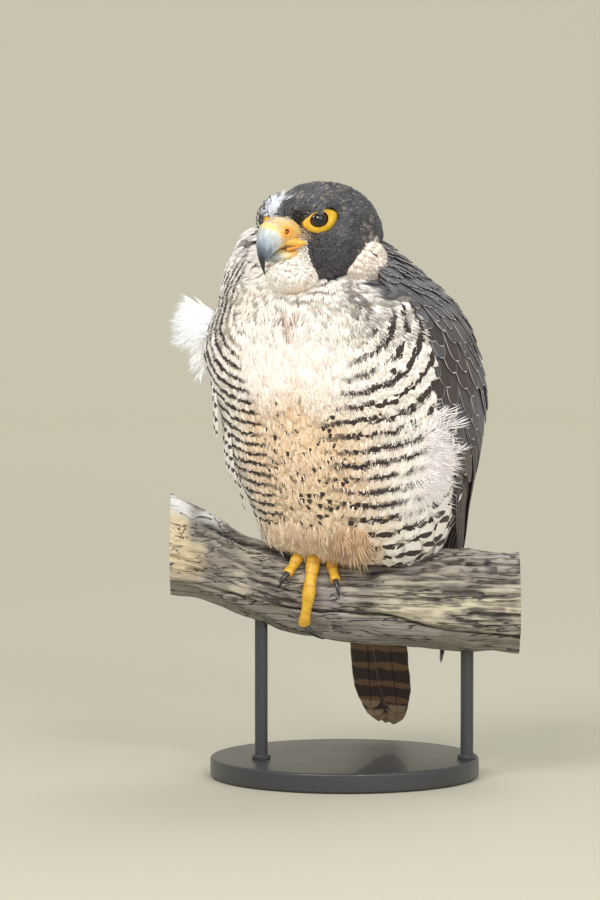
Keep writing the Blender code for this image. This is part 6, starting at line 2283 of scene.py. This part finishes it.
@dataclass
class Eye:
    """Eye of one side with its bare yellow ring."""

    side: int
    radius: float = 8.2
    opening: tuple = (24.7, 21.0, 9.6)
    depth: float = 6.3
    facing: tuple = (0.42, 0.90, 0.05)
    inner: tuple = (6.2, 4.7)
    outer: tuple = (11.0, 8.3)
    brow: float = 0.72

    def __post_init__(self) -> None:
        """Works out the eye's own directions within the head."""
        self.name = "left" if self.side > 0 else "right"
        self.out = unit(np.array((self.facing[0], self.facing[1] * self.side, self.facing[2])))
        tilt = np.array((0.30, 0.0, 1.0))
        self.up = unit(tilt - self.out * float(tilt @ self.out))
        self.fore = unit(np.cross(self.up, self.out) * self.side)
        self.place = np.array((self.opening[0], self.opening[1] * self.side, self.opening[2]))

    def seen_at(self, local: Array) -> tuple[Array, Array]:
        """How far ahead of and above the eye's middle places of the head lie; far off on its other side."""
        offset = local - self.place
        away = 99.0 * (local[:, 1] * self.side < 0)
        return offset @ self.fore + away, offset @ self.up

    def _world(self, fore: Array, up: Array, out: Array) -> Array:
        """World places in the eye's directions."""
        local = self.place + fore[..., None] * self.fore + up[..., None] * self.up + out[..., None] * self.out
        return HEAD.place(local[..., 0], local[..., 1], local[..., 2])

    def ball(self, finish: bpy.types.Material) -> bpy.types.Object:
        """Makes the eye with its raised clear front.

        Args:
            finish: Its material.

        Returns:
            The piece.
        """
        polar = np.linspace(0.02, np.pi - 0.02, 40)[:, None]
        a = np.linspace(0, 2 * np.pi, 56, endpoint=False)[None, :]
        radius = self.radius + 0.35 * np.exp(-((polar / 0.6) ** 2)) - 0.02
        fore = radius * np.sin(polar) * np.cos(a)
        up = radius * np.sin(polar) * np.sin(a)
        out = radius * np.cos(polar) + 0 * a - self.depth
        weave = Weave()
        from_axis = np.broadcast_to(np.sin(np.minimum(polar, np.pi / 2)), fore.shape).ravel()
        add_lathe(weave, self._world(fore, up, out), chance=from_axis)
        name = f"eye_{self.name}_ball"
        return mesh_object(name, weave.mesh(name), finish)

    def ring(self, finish: bpy.types.Material) -> bpy.types.Object:
        """Makes the bare ring with its creases.

        Args:
            finish: Its material.

        Returns:
            The piece.
        """
        a = np.linspace(0, 2 * np.pi, 96, endpoint=False)[:, None]
        share = np.array((0.0, 0.04, 0.12, 0.22, 0.34, 0.46, 0.58, 0.70, 0.82, 0.92, 1.0))[None, :]
        corner = 1 + 0.05 * np.abs(np.cos(a)) ** 6
        brow = mix(self.brow, 0.56, step(0.2, -0.7, np.cos(a)))
        narrow = mix(1.0, brow, step(-0.1, 0.5, np.sin(a)) * share)
        wide = mix(self.inner[0], self.outer[0] * corner, share)
        high = mix(self.inner[1], self.outer[1] * (1 - 0.12 * np.abs(np.cos(a)) ** 3), share) * narrow
        fore = wide * np.cos(a) + 1.5 * share
        up = high * np.sin(a) - 0.1 * share
        flat = (self.inner[0] * np.cos(a)) ** 2 + (self.inner[1] * np.sin(a)) ** 2
        edge = np.sqrt(np.maximum((self.radius + 1.0) ** 2 - flat, 1.0)) - self.depth
        height = mix(edge, 0.55, step(0, 0.5, share)) - 1.6 * step(0.5, 1.0, share)
        height = height + 0.20 * np.sin(share * 30 + 0.6 * np.sin(a * 2)) * step(0.1, 0.25, share)
        height = height - 0.42 * np.exp(-(((share - 0.16) / 0.05) ** 2))
        under = np.stack((mix(0.55, 3.0, share), mix(0.2, 0.2, share)))[0]
        order = np.concatenate((np.arange(11), np.arange(11)[::-1]))
        out = np.concatenate((height, (height - under)[:, ::-1]), axis=1)
        ring = self._world(fore[:, order], up[:, order], out)
        # The tone changes round the ring; the crease near the inner edge is painted darker, painted shade in the
        # crease.
        tone = 1 + 0.18 * np.cos(a + 0.9 * self.side) - 0.25 * np.exp(-(((share - 0.16) / 0.05) ** 2))
        tint = np.stack((np.ones_like(tone), 0.62 + 0.40 * tone, tone), axis=-1)[:, order].reshape(-1, 3)
        weave = Weave()
        faces = grid_faces(97, 22, True) % (96 * 22)
        ring_points = ring.reshape(-1, 3)
        weave.add(ring_points, faces if self.side < 0 else faces[:, ::-1], tint=tint)
        name = f"lid_{self.name}_ring"
        return mesh_object(name, weave.mesh(name), finish)


# Feet


class Perch:
    """Cut length of bare weathered wood."""

    middle: Keys = ((-108, 3), (-90, -2.5), (-59, -16), (-28, -25), (3, -28.5), (34, -30), (84, -32), (108, -32.5))
    radius: Keys = ((-108, 32), (-90, 29.5), (-59, 26), (-28, 26.6), (3, 28.5), (34, 30), (84, 32), (108, 32))

    @classmethod
    def surface(cls, x: Number, angle: Number, lift: Number = 0.0) -> Array:
        """World places on the plain form; angle 0 faces the front and 90 degrees is the top."""
        x, angle = np.broadcast_arrays(np.asarray(x, float), np.asarray(angle, float))
        wave = 0.035 * np.sin(3 * angle + x / 31) + 0.028 * np.sin(5 * angle - x / 23 + 1.0)
        wave = wave + 0.018 * np.sin(9 * angle + x / 17)
        radius = Profile(cls.radius)(x) * (1 + wave) + lift
        y = PERCH_TOP[1] - radius * np.cos(angle)
        z = PERCH_TOP[2] + Profile(cls.middle)(x) + radius * np.sin(angle)
        return np.stack(np.broadcast_arrays(x, y, z), axis=-1)

    @classmethod
    def build(cls, finish: bpy.types.Material) -> bpy.types.Object:
        """Makes the wood with its ridges, cracks and broken rim.

        Args:
            finish: Its material.

        Returns:
            The piece.
        """
        x = np.linspace(-108, 108, 400)
        a = np.linspace(0, 2 * np.pi, 230, endpoint=False)
        gx, ga = np.meshgrid(x, a, indexing="ij")
        plain = cls.surface(gx, ga)
        flat = np.stack((gx.ravel() * 0.12, np.cos(ga.ravel()) * 26, np.sin(ga.ravel()) * 26), axis=1)
        ridges = clouds(flat * 1.6, 2.6, 51) + 0.6 * clouds(flat * 3.4, 2.6, 52)
        knots = clouds(plain.reshape(-1, 3), 26.0, 53)
        broad = clouds(plain.reshape(-1, 3), 13.0, 54)
        degrees = np.degrees(ga.ravel())
        degrees = np.where(degrees > 180, degrees - 360, degrees)
        px = gx.ravel()
        rim = -24 + 10 * np.sin(px / 40 + 1.6) + 7 * knots + 3 * broad
        crack = np.exp(-(((degrees - rim) / 3.2) ** 2)) * step(-104, -60, px)
        bare = step(3, -6, degrees - rim) * step(-150, -120, degrees)
        gully = np.exp(-(((degrees - 58 - 6 * knots) / 9) ** 2)) * step(-16, -34, px) * step(-100, -84, px)
        gully = np.maximum(gully, np.exp(-(((degrees - 44 - 5 * broad) / 6) ** 2)) * step(6, 18, px) * step(70, 44, px))
        furrow = step(0.28, 0.62, clouds(flat * (0.55, 1.5, 1.5), 3.0, 58)) * (1 - bare)
        lift = 0.95 * ridges * (1 - 0.7 * bare) + 1.3 * broad - 2.6 * crack - 2.4 * bare - 3.4 * gully - 1.3 * furrow
        splits = step(0.50, 0.72, clouds(flat * 1.1, 3.0, 55)) * (1 - bare)
        lift = lift - 1.6 * splits
        touch = step(44, 26, np.abs(px + 16)) * step(40, 62, degrees) * step(150, 128, degrees)
        near_toe = step(12, 5, np.abs(px + 20)) * step(-50, -38, degrees) * step(100, 84, degrees)
        lift = np.minimum(lift, 0.2 + 0 * lift) * 1.0 * np.maximum(touch, near_toe) * 0.4 + lift * (
            1 - np.maximum(touch, near_toe))
        lift = np.clip(lift, -7.5, 2.4)
        points = cls.surface(px, ga.ravel(), lift).reshape(400, 230, 3)
        splits = np.maximum(splits, 0.75 * step(0.45, 0.95, furrow))
        tint = cls._colours(px, degrees, ridges, knots, broad, crack, bare, gully, splits, plain.reshape(-1, 3))
        weave = Weave()
        ends = []
        for end in (0, -1):
            centre = points[end].mean(0)
            ends.append([centre + (points[end] - centre) * k for k in (0.15, 0.4, 0.65, 0.85, 0.96)])
        ring_tint = tint.reshape(400, 230, 3)
        full = np.concatenate((np.array(ends[0]), points, np.array(ends[1][::-1])))
        cut_colour = np.array((0.36, 0.29, 0.21))
        caps = []
        for end in (0, -1):
            caps.append([cut_colour * mix(0.82, 1.12, (k * 5 % 1 + 0.3)) + 0 * ring_tint[end]
                         for k in (0.15, 0.4, 0.65, 0.85, 0.96)])
        full_tint = np.concatenate((np.array(caps[0]), ring_tint, np.array(caps[1][::-1])))
        add_lathe(weave, full, tint=full_tint.reshape(-1, 3))
        return mesh_object("perch_wood", weave.mesh("perch_wood"), finish)

    @staticmethod
    def _colours(px: Array, degrees: Array, ridges: Array, knots: Array, broad: Array, crack: Array, bare: Array,
                 gully: Array, splits: Array, places: Array) -> Array:
        """Colours of the wood, from the masks that also shape it."""
        fine = clouds(places, 4.0, 57)
        tint = np.tile((0.27, 0.235, 0.195), (len(px), 1))
        tint = blend_colour(tint, (0.46, 0.40, 0.31), step(-0.2, 0.6, broad + 0.4 * ridges))
        tint = blend_colour(tint, (0.115, 0.095, 0.080), step(-0.1, -0.7, ridges + 0.3 * broad) * 0.85)
        cream = np.exp(-(((degrees + 2 - 0.05 * px) / 13) ** 2)) * step(10, 40, px + knots * 12)
        tint = blend_colour(tint, (0.60, 0.54, 0.37), cream * step(-0.6, 0.3, fine + ridges) * 0.9)
        left = step(-78, -96, px + 8 * knots) * step(-40, -10, degrees)
        tint = blend_colour(tint, (0.60, 0.49, 0.31), left * step(-0.5, 0.2, broad))
        lump = step(-70, -84, px) * step(40, 62, degrees) * step(150, 130, degrees)
        tint = blend_colour(tint, (0.72, 0.70, 0.67), lump * step(-0.8, -0.1, broad))
        flaky = step(28, 46, px) * step(38, 56, degrees)
        tint = blend_colour(tint, (0.075, 0.060, 0.052), flaky * step(0.0, 0.35, fine + 0.6 * ridges) * 0.9)
        tint = blend_colour(tint, (0.52, 0.46, 0.40), flaky * step(0.15, -0.35, fine + 0.6 * ridges) * 0.7)
        mauve = np.exp(-(((px + 8) / 11) ** 2 + ((degrees - 4) / 20) ** 2))
        tint = blend_colour(tint, (0.33, 0.28, 0.30), mauve * 0.7)
        rim_light = bare * np.exp(-(((crack - 0.25) / 0.22) ** 2))
        tint = blend_colour(tint, (0.215, 0.19, 0.165), bare)
        tint = blend_colour(tint, (0.62, 0.59, 0.53), rim_light * 0.8)
        # Painted shade: cracks, gully, splits and furrows are painted near black, the shade in these grooves.
        tint = blend_colour(tint, (0.022, 0.018, 0.016), np.clip(step(0.45, 0.9, crack) + gully + splits * 0.8, 0, 1))
        return tint * (1 + 0.10 * fine[:, None])


@dataclass
class Foot:
    """Yellow foot with swollen joints and plates over its toes."""

    toes: tuple = (("middle", -17.0, -25.5, 84.0, -34.0, 4.5), ("outer", -20.0, -35.5, 84.0, 26.0, 4.0),
                   ("inner", -12.5, -6.0, 84.0, 24.0, 4.0), ("hind", -16.0, -12.0, 96.0, 138.0, 4.2))
    drawn: tuple = (("inner", 13.5, 24.0, 190.0, 3.6), ("middle", 21.5, 25.5, 205.0, 3.9),
                    ("outer", 29.5, 23.0, 190.0, 3.6), ("hind", 20.0, 8.0, -150.0, 3.6))
    claw_lengths: dict = field(default_factory=lambda: {"middle": 17.0, "outer": 13.0, "inner": 14.0, "hind": 16.0})
    curl: float = 7.4
    lifted: float = 10.0

    def _tube(self, weave: Weave, path: Array, radii: Array, up: Array, plates: float, sides: int = 22) -> None:
        """Adds a toe or shank with plates across its upper side.

        Args:
            weave: Where it goes.
            path: Middle of the toe.
            radii: Its radius along the path.
            up: Direction of the side that carries the plates.
            plates: Number of plates along it.
            sides: Vertices in a ring.
        """
        rows = len(path)
        rings = tube_rings(path, radii, sides, 1.0, up)
        a = np.linspace(0, 2 * np.pi, sides, endpoint=False)
        upper = np.maximum(np.sin(a), 0) ** 0.7
        t = np.linspace(0, 1, rows)
        saw = (t * plates) % 1.0
        ridge = (0.34 * (1 - saw) ** 0.6 - 0.20 * np.exp(-((saw / 0.10) ** 2)))[:, None] * upper[None, :]
        knobs = 0.30 * clouds(rings.reshape(-1, 3), 1.5, 61).reshape(rows, sides) * (1 - upper)[None, :]
        pads = 0.55 * np.maximum(np.sin(t * math.pi * 6.0), 0)[:, None] * np.maximum(-np.sin(a), 0)[None, :]
        middle = path[:, None]
        rings = middle + unit(rings - middle) * (np.asarray(radii)[:, None] + ridge + knobs + pads - 0.35)[..., None]
        groove = np.exp(-((saw / 0.12) ** 2))[:, None] * upper[None, :]
        tint = np.tile((1.0, 1.0, 1.0), (rows * sides, 1))
        tint = blend_colour(tint, (0.52, 0.36, 0.5), groove.ravel() * 0.75)
        tint = blend_colour(tint, (0.93, 1.08, 4.5), (upper[None, :] * (1 - groove)).ravel() * 0.30)
        add_lathe(weave, self._rounded(rings, path, radii), tint=np.concatenate((tint[:sides], tint, tint[-sides:])))

    @staticmethod
    def _rounded(rings: Array, path: Array, radii: Array) -> Array:
        """Rings with a smaller one at each end, so that the ends are round."""
        first = path[0] + (path[0] - path[1]) / np.linalg.norm(path[0] - path[1]) * radii[0] * 0.38
        last = path[-1] + (path[-1] - path[-2]) / np.linalg.norm(path[-1] - path[-2]) * radii[-1] * 0.38
        head = first + (rings[0] - path[0]) * 0.62
        end = last + (rings[-1] - path[-1]) * 0.62
        return np.concatenate((head[None], rings, end[None]))

    def _claw(self, name: str, start: Array, first: Array, curl: Array, length: float, base: float,
              finish: bpy.types.Material) -> bpy.types.Object:
        """Makes one claw.

        Args:
            name: Name of the piece.
            start: Place of its root.
            first: Direction at its root.
            curl: Direction at its tip.
            length: Its length.
            base: Radius at its root.
            finish: Its material.

        Returns:
            The claw.
        """
        steps = 20
        t = np.arange(steps) / steps
        ways = unit(first[None] * (1 - t[:, None]) + curl[None] * t[:, None])
        path = np.concatenate((start[None], start + np.cumsum(ways * length / steps, axis=0)))
        s = np.linspace(0, 1, steps + 1)
        radii = base * (1 - 0.90 * s**1.15)
        rings = tube_rings(path, radii, 18, 1.0, unit(first - curl))
        weave = Weave()
        tint = np.tile((0.020, 0.018, 0.018), (rings.shape[0] * 18, 1))
        tint = blend_colour(tint, (0.075, 0.068, 0.066), np.repeat(step(0.35, 0.0, s), 18) * 0.8)
        add_lathe(weave, rings, tint=tint)
        return mesh_object(name, weave.mesh(name), finish)

    def standing(self, skin: bpy.types.Material, horn: bpy.types.Material) -> list[bpy.types.Object]:
        """Makes the right foot, which holds the wood, and its claws.

        Args:
            skin: Material of the foot.
            horn: Material of the claws.

        Returns:
            The foot and then its claws.
        """
        weave = Weave()
        ankle = Perch.surface(-17.0, math.radians(90), 5.0)
        knee = BODY.place(4.0, -19.0, 40.0)
        t = np.linspace(0, 1, 56)[:, None]
        radii = Profile(((0, 5.8), (0.25, 4.6), (0.5, 4.3), (0.75, 4.4), (1, 4.8)))(t[:, 0])
        self._tube(weave, ankle * (1 - t) + knee * t, radii, np.array((0.0, -1.0, 0.2)), 13)
        claws = []
        for toe, x_from, x_to, a_from, a_to, radius in self.toes:
            t = np.linspace(0, 1, 60)
            joint = 1 + 0.10 * np.cos(t * math.pi * 6)
            radii = radius * mix(1.06, 0.80, t) * joint
            angle = np.radians(mix(a_from, a_to, t))
            path = Perch.surface(mix(x_from, x_to, t), angle, radii - 0.5)
            axis = np.stack((path[:, 0], 0 * t + PERCH_TOP[1], PERCH_TOP[2] + Profile(Perch.middle)(path[:, 0])), 1)
            self._tube(weave, path, radii, unit(path - axis), 11 if toe != "middle" else 17)
            ahead = unit(path[-1] - path[-2])
            outward = unit(path[-1] - axis[-1])
            start = path[-1] - ahead * 0.6 + outward * 0.9
            if toe == "middle":
                first = unit(ahead * 0.55 + outward * 0.65 + (0.6, 0, 0))
                curl = unit(ahead * 0.55 - outward * 0.25 + (1.0, 0, 0))
            else:
                first = unit(ahead + outward * 0.55)
                curl = unit(ahead * 0.75 - outward * 0.85)
            claws.append(self._claw(f"claw_right_{toe}_horn", start, first, curl, self.claw_lengths[toe], 2.1, horn))
        return [mesh_object("foot_right_skin", weave.mesh("foot_right_skin"), skin)] + claws

    def raised(self, skin: bpy.types.Material, horn: bpy.types.Material) -> list[bpy.types.Object]:
        """Makes the left foot, drawn up under the belly, and its claws.

        Args:
            skin: Material of the foot.
            horn: Material of the claws.

        Returns:
            The foot and then its claws.
        """
        weave = Weave()
        t = np.linspace(0, 1, 36)[:, None]
        ankle = BODY.place(15.0, 21.5, self.lifted + 6.0)
        knee = BODY.place(2.0, 20.0, 26.0)
        radii = Profile(((0, 6.6), (0.33, 4.8), (0.66, 4.4), (1, 4.6)))(t[:, 0])
        self._tube(weave, ankle * (1 - t) + knee * t, radii, np.array((0.0, -1.0, 0.2)), 6)
        claws = []
        for toe, left, forward, sweep, radius in self.drawn:
            turn = math.copysign(1, sweep)
            t = np.linspace(0, 1, 44)
            a = math.radians(abs(sweep)) * t
            out = forward - turn * 6.5 + turn * self.curl * np.sin(a)
            up = self.lifted - 1.0 + self.curl * np.cos(a)
            path = BODY.place(out, mix(21.0, left, ease(t * 2)), up)
            radii = radius * mix(1.08, 0.80, t) * (1 + 0.08 * np.cos(t * math.pi * 4))
            centre = BODY.place(forward - turn * 6.5, left, self.lifted - 1.0)
            self._tube(weave, path, radii, unit(path - centre), 9)
            ahead = unit(path[-1] - path[-2])
            inward = unit(centre - path[-1])
            start = path[-1] - ahead * 0.6 - inward * 0.8
            curl = unit(ahead * 0.8 + (0, 0, 0.3))
            claws.append(self._claw(f"claw_left_{toe}_horn", start, ahead, curl, 9.0, 1.9, horn))
        return [mesh_object("foot_left_skin", weave.mesh("foot_left_skin"), skin)] + claws


# Stand, stage, light and camera


@dataclass
class Stand:
    """Flat round base and the two rods that hold the wood."""

    radius: float = 84.0
    height: float = 12.0
    rods: tuple = (("left", -52.0), ("right", 76.0))
    rod_radius: float = 4.0

    def base(self, finish: bpy.types.Material) -> bpy.types.Object:
        """Makes the base with its rounded rim.

        Args:
            finish: Its material.

        Returns:
            The piece.
        """
        a = np.linspace(0, 2 * np.pi, 160, endpoint=False)
        bend = np.linspace(0, np.pi / 2, 9)
        rim = [(self.radius - 1.6 + 1.6 * math.sin(b), self.height - 1.6 + 1.6 * math.cos(b)) for b in bend]
        outline = [(4.0, 0.0), (self.radius - 1.0, 0.0), (self.radius, 1.0)] + rim[::-1] + [(40.0, self.height),
                                                                                           (4.0, self.height)]
        rings = np.array([[(r * math.cos(t), r * math.sin(t), z) for t in a] for r, z in outline])
        weave = Weave()
        add_lathe(weave, rings)
        obj = mesh_object("stand_base_disc", weave.mesh("stand_base_disc"), finish)
        obj.data.set_sharp_from_angle(angle=math.radians(35))
        return obj

    def rod(self, name: str, x: float, finish: bpy.types.Material) -> bpy.types.Object:
        """Makes one rod with a collar where it leaves the base.

        Args:
            name: Which rod.
            x: Its place along the wood.
            finish: Its material.

        Returns:
            The piece.
        """
        top = float(PERCH_TOP[2] + Profile(Perch.middle)(x) - Profile(Perch.radius)(x) + 3.0)
        r = self.rod_radius
        outline = [(r + 1.8, self.height + 0.3), (r + 1.8, self.height + 2.2), (r + 1.2, self.height + 3.0),
                   (r, self.height + 3.1), (r, top)]
        a = np.linspace(0, 2 * np.pi, 48, endpoint=False)
        rings = np.array([[(x + q * math.cos(t), PERCH_TOP[1] + q * math.sin(t), z) for t in a] for q, z in outline])
        weave = Weave()
        add_lathe(weave, rings)
        obj = mesh_object(f"stand_rod_{name}_post", weave.mesh(f"stand_rod_{name}_post"), finish)
        obj.data.set_sharp_from_angle(angle=math.radians(35))
        return obj


@dataclass
class Stage:
    """Plain floor and backdrop, soft light and the camera."""

    scale: float = 0.62
    elevation: float = 4.0
    distance: float = 3.0
    target: tuple = (-0.0279, -0.015, 0.2049)
    frame_height: float = 0.558

    def floor(self, finish: bpy.types.Material) -> None:
        """Makes the floor that curves up into the backdrop."""
        bend = [(-4.5, 0.0), (3.4, 0.0)]
        bend += [(3.4 + 1.2 * math.sin(t), 1.2 - 1.2 * math.cos(t)) for t in np.linspace(0, np.pi / 2, 14)[1:]]
        bend += [(4.6, 5.0)]
        x = np.array((-5.0, 5.0))
        points = np.array([[(w, y, z - 0.0005) for w in x] for y, z in bend]) / MM
        weave = Weave()
        weave.add(points, grid_faces(len(bend), 2, False))
        sheet = mesh_object("backdrop_sweep", weave.mesh("backdrop_sweep"), finish)

    def light(self) -> None:
        """Adds three large soft lights, a small one for the eyes and a plain surround."""
        lamps = (("key", (-1.3, -2.2, 2.3), 1.6, 58.0), ("fill", (2.2, -1.9, 1.3), 2.0, 20.0),
                 ("back", (0.6, 1.3, 2.5), 1.6, 22.0), ("glint", (0.53, -1.80, 1.20), 0.34, 12.0))
        for name, place, size, power in lamps:
            data = bpy.data.lights.new(name, "AREA")
            data.size = size
            data.energy = power
            lamp = bpy.data.objects.new(name, data)
            lamp.location = place
            aim = Vector((0.0, 0.0, 0.25)) - Vector(place)
            lamp.rotation_euler = aim.to_track_quat("-Z", "Y").to_euler()
            bpy.context.scene.collection.objects.link(lamp)
        world = bpy.data.worlds.new("surround")
        world.use_nodes = True
        world.node_tree.nodes["Background"].inputs["Color"].default_value = (0.86, 0.88, 0.90, 1.0)
        world.node_tree.nodes["Background"].inputs["Strength"].default_value = 0.62
        bpy.context.scene.world = world
        bpy.context.scene.view_settings.view_transform = "Standard"

    def camera(self) -> None:
        """Adds the camera at the photograph's angle and framing."""
        data = bpy.data.cameras.new("camera")
        data.sensor_fit = "VERTICAL"
        data.sensor_height = 36.0
        data.lens = 36.0 * self.distance / self.frame_height
        data.clip_end = 50.0
        tilt = math.radians(self.elevation)
        at = Vector(self.target)
        obj = bpy.data.objects.new("camera", data)
        obj.location = at + Vector((0.0, -math.cos(tilt), math.sin(tilt))) * self.distance
        obj.rotation_euler = (math.pi / 2 - tilt, 0.0, 0.0)
        bpy.context.scene.collection.objects.link(obj)
        bpy.context.scene.camera = obj


def main() -> None:
    """Builds the whole scene in order."""
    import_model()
    stage = Stage()
    stage.camera()
    stage.light()
    stage.floor(StageFinish("backdrop_matt").make())

    plumage = PlumageFinish("soft_plumage").make()
    slate = PlumageFinish("slate_plumage").make()
    # The downy finish has finer streaks and a stronger glow, painted light that brightens the pale sprays and the chin
    # and cheek swells.
    downy_glowing = PlumageFinish("downy_plumage", streak=0.06, glow=0.28).make()
    wing = PlumageFinish("wing_plumage", bar=(0.19, 0.115, 0.070), rim=(0.66, 0.61, 0.58), rim_side=0.89, bar_period=13.0,
                         streak=0.24, shaft=0.5).make()
    tail_finish = PlumageFinish("tail_plumage", bar=(0.20, 0.115, 0.062), bar_period=12.5, streak=0.24, shaft=0.6,
                                rim=(0.50, 0.36, 0.22), rim_side=0.95, rim_tip=0.94).make()
    skin = Skin().build(plumage)
    fit_piece(skin, "cream_plumage", "head", "neck", "torso", "leg_left", "leg_right")

    scatter = Scatter()
    coat = Plumage()
    tufts = coat.shapes.collection(Vane.TUFT)
    plumes = coat.shapes.collection(Vane.PLUME)
    body = coat.body_points()
    around, up = TORSO.angle_of(body.root)
    front = np.abs(around) <= 0.9
    throat = (np.abs(around - 0.25) <= 1.15) & (up > 138)
    for name, keep, vanes in (("throat_feathers", throat, tufts), ("breast_feathers", front & (up > 96) & ~throat, plumes),
                              ("belly_feathers", front & (up <= 96), plumes),
                              ("flank_feathers", ~front & (around > 0) & ~throat, plumes),
                              ("side_feathers", ~front & (around <= 0) & ~throat, plumes)):
        piece = scatter.spread(name, body.taken(keep), vanes, plumage, coat.shapes.variants, SEED)
        fit_piece(piece, "cream_plumage")
    head = coat.head_points()
    pale = head.tint.mean(axis=1) > 0.42
    high = SKULL.angles_of(head.root)[1] > 0.25
    for name, keep, vanes in (("crown_feathers", ~pale & high, tufts), ("mask_feathers", ~pale & ~high, tufts),
                              ("cheek_feathers", pale, tufts)):
        piece = scatter.spread(name, head.taken(keep), vanes, slate, coat.shapes.variants, SEED + 2)
        fit_piece(piece, "slate_plumage")
    for name, (place, size) in zip(("chin", "cheek_left", "cheek_right", "brow_right", "brow_left"), SWELLS):
        found = coat.swell_points(place, size)
        # Chin and cheek swells take the downy finish, whose stronger glow is painted light.
        soft = place[2] < 0
        piece = scatter.spread(f"{name}_feathers", found, tufts, downy_glowing if soft else slate, coat.shapes.variants, SEED + 3)
        fit_piece(piece, "slate_plumage")
    fit_piece(Flanks().build(plumage), "cream_plumage")
    down = coat.shapes.collection(Vane.DOWN)
    for spray in SPRAYS:
        vanes = down if spray.kind is Vane.DOWN else tufts
        # Pale sprays take the downy finish, whose stronger glow is painted light.
        finish = downy_glowing if min(spray.tint) > 0.5 else plumage
        piece = scatter.spread(spray.name, spray.feathers(), vanes, finish, coat.shapes.variants, SEED)
        fit_piece(piece, "slate_plumage" if spray.on_head else "cream_plumage")
    for shapes in (tufts, plumes, down):
        for shape in list(shapes.objects):
            bpy.data.objects.remove(shape)
        bpy.data.collections.remove(shapes)

    fit_piece(Wing(WING_LEFT, "wing_left_feathers").build(wing), "wing_plumage", "wing_left")
    fit_piece(Wing(WING_RIGHT, "wing_right_feathers").build(wing), "wing_plumage", "wing_right")
    fit_piece(Tail().build(tail_finish), "tail_plumage", "tail")

    yellow = SkinFinish("yellow_skin").make()
    cere_skin = SkinFinish("cere_skin", depth=0.0001, mottled=0.25).make()
    horn = HornFinish("bill_horn").make()
    black = HornFinish("claw_horn", streak=(300.0, 300.0, 300.0), light=0.06, roughness=0.30).make()
    eye_finish = EyeFinish("wet_eye").make()
    bill = Bill()
    fit_piece(bill.cere(cere_skin), "yellow_skin", "cere")
    fit_piece(bill.upper(horn), "bill_horn", "bill_upper")
    fit_piece(bill.lower(horn), "bill_horn", "bill_lower")
    for side in (1, -1):
        eye = Eye(side)
        fit_piece(eye.ball(eye_finish), "eye", f"eye_{eye.name}")
        fit_piece(eye.ring(cere_skin), "yellow_skin", f"lid_{eye.name}")
    foot = Foot()
    for name, pieces, toes in (("right", foot.standing(yellow, black), foot.toes),
                               ("left", foot.raised(yellow, black), foot.drawn)):
        fit_piece(pieces[0], "yellow_skin", f"foot_{name}")
        for piece, toe in zip(pieces[1:], toes):
            fit_piece(piece, "claw_horn", f"claw_{name}_{toe[0]}")
    fit_piece(Perch.build(WoodFinish("weathered_wood").make()), "weathered_wood", "perch")
    stand = Stand()
    paint = StandFinish("stand_paint").make()
    fit_piece(stand.base(paint), "stand_paint", "stand_base")
    for name, x in stand.rods:
        fit_piece(stand.rod(name, x, paint), "stand_paint", f"stand_rod_{name}")


if __name__ == "__main__":
    logging.basicConfig(level=logging.INFO, format="%(message)s")
    main()
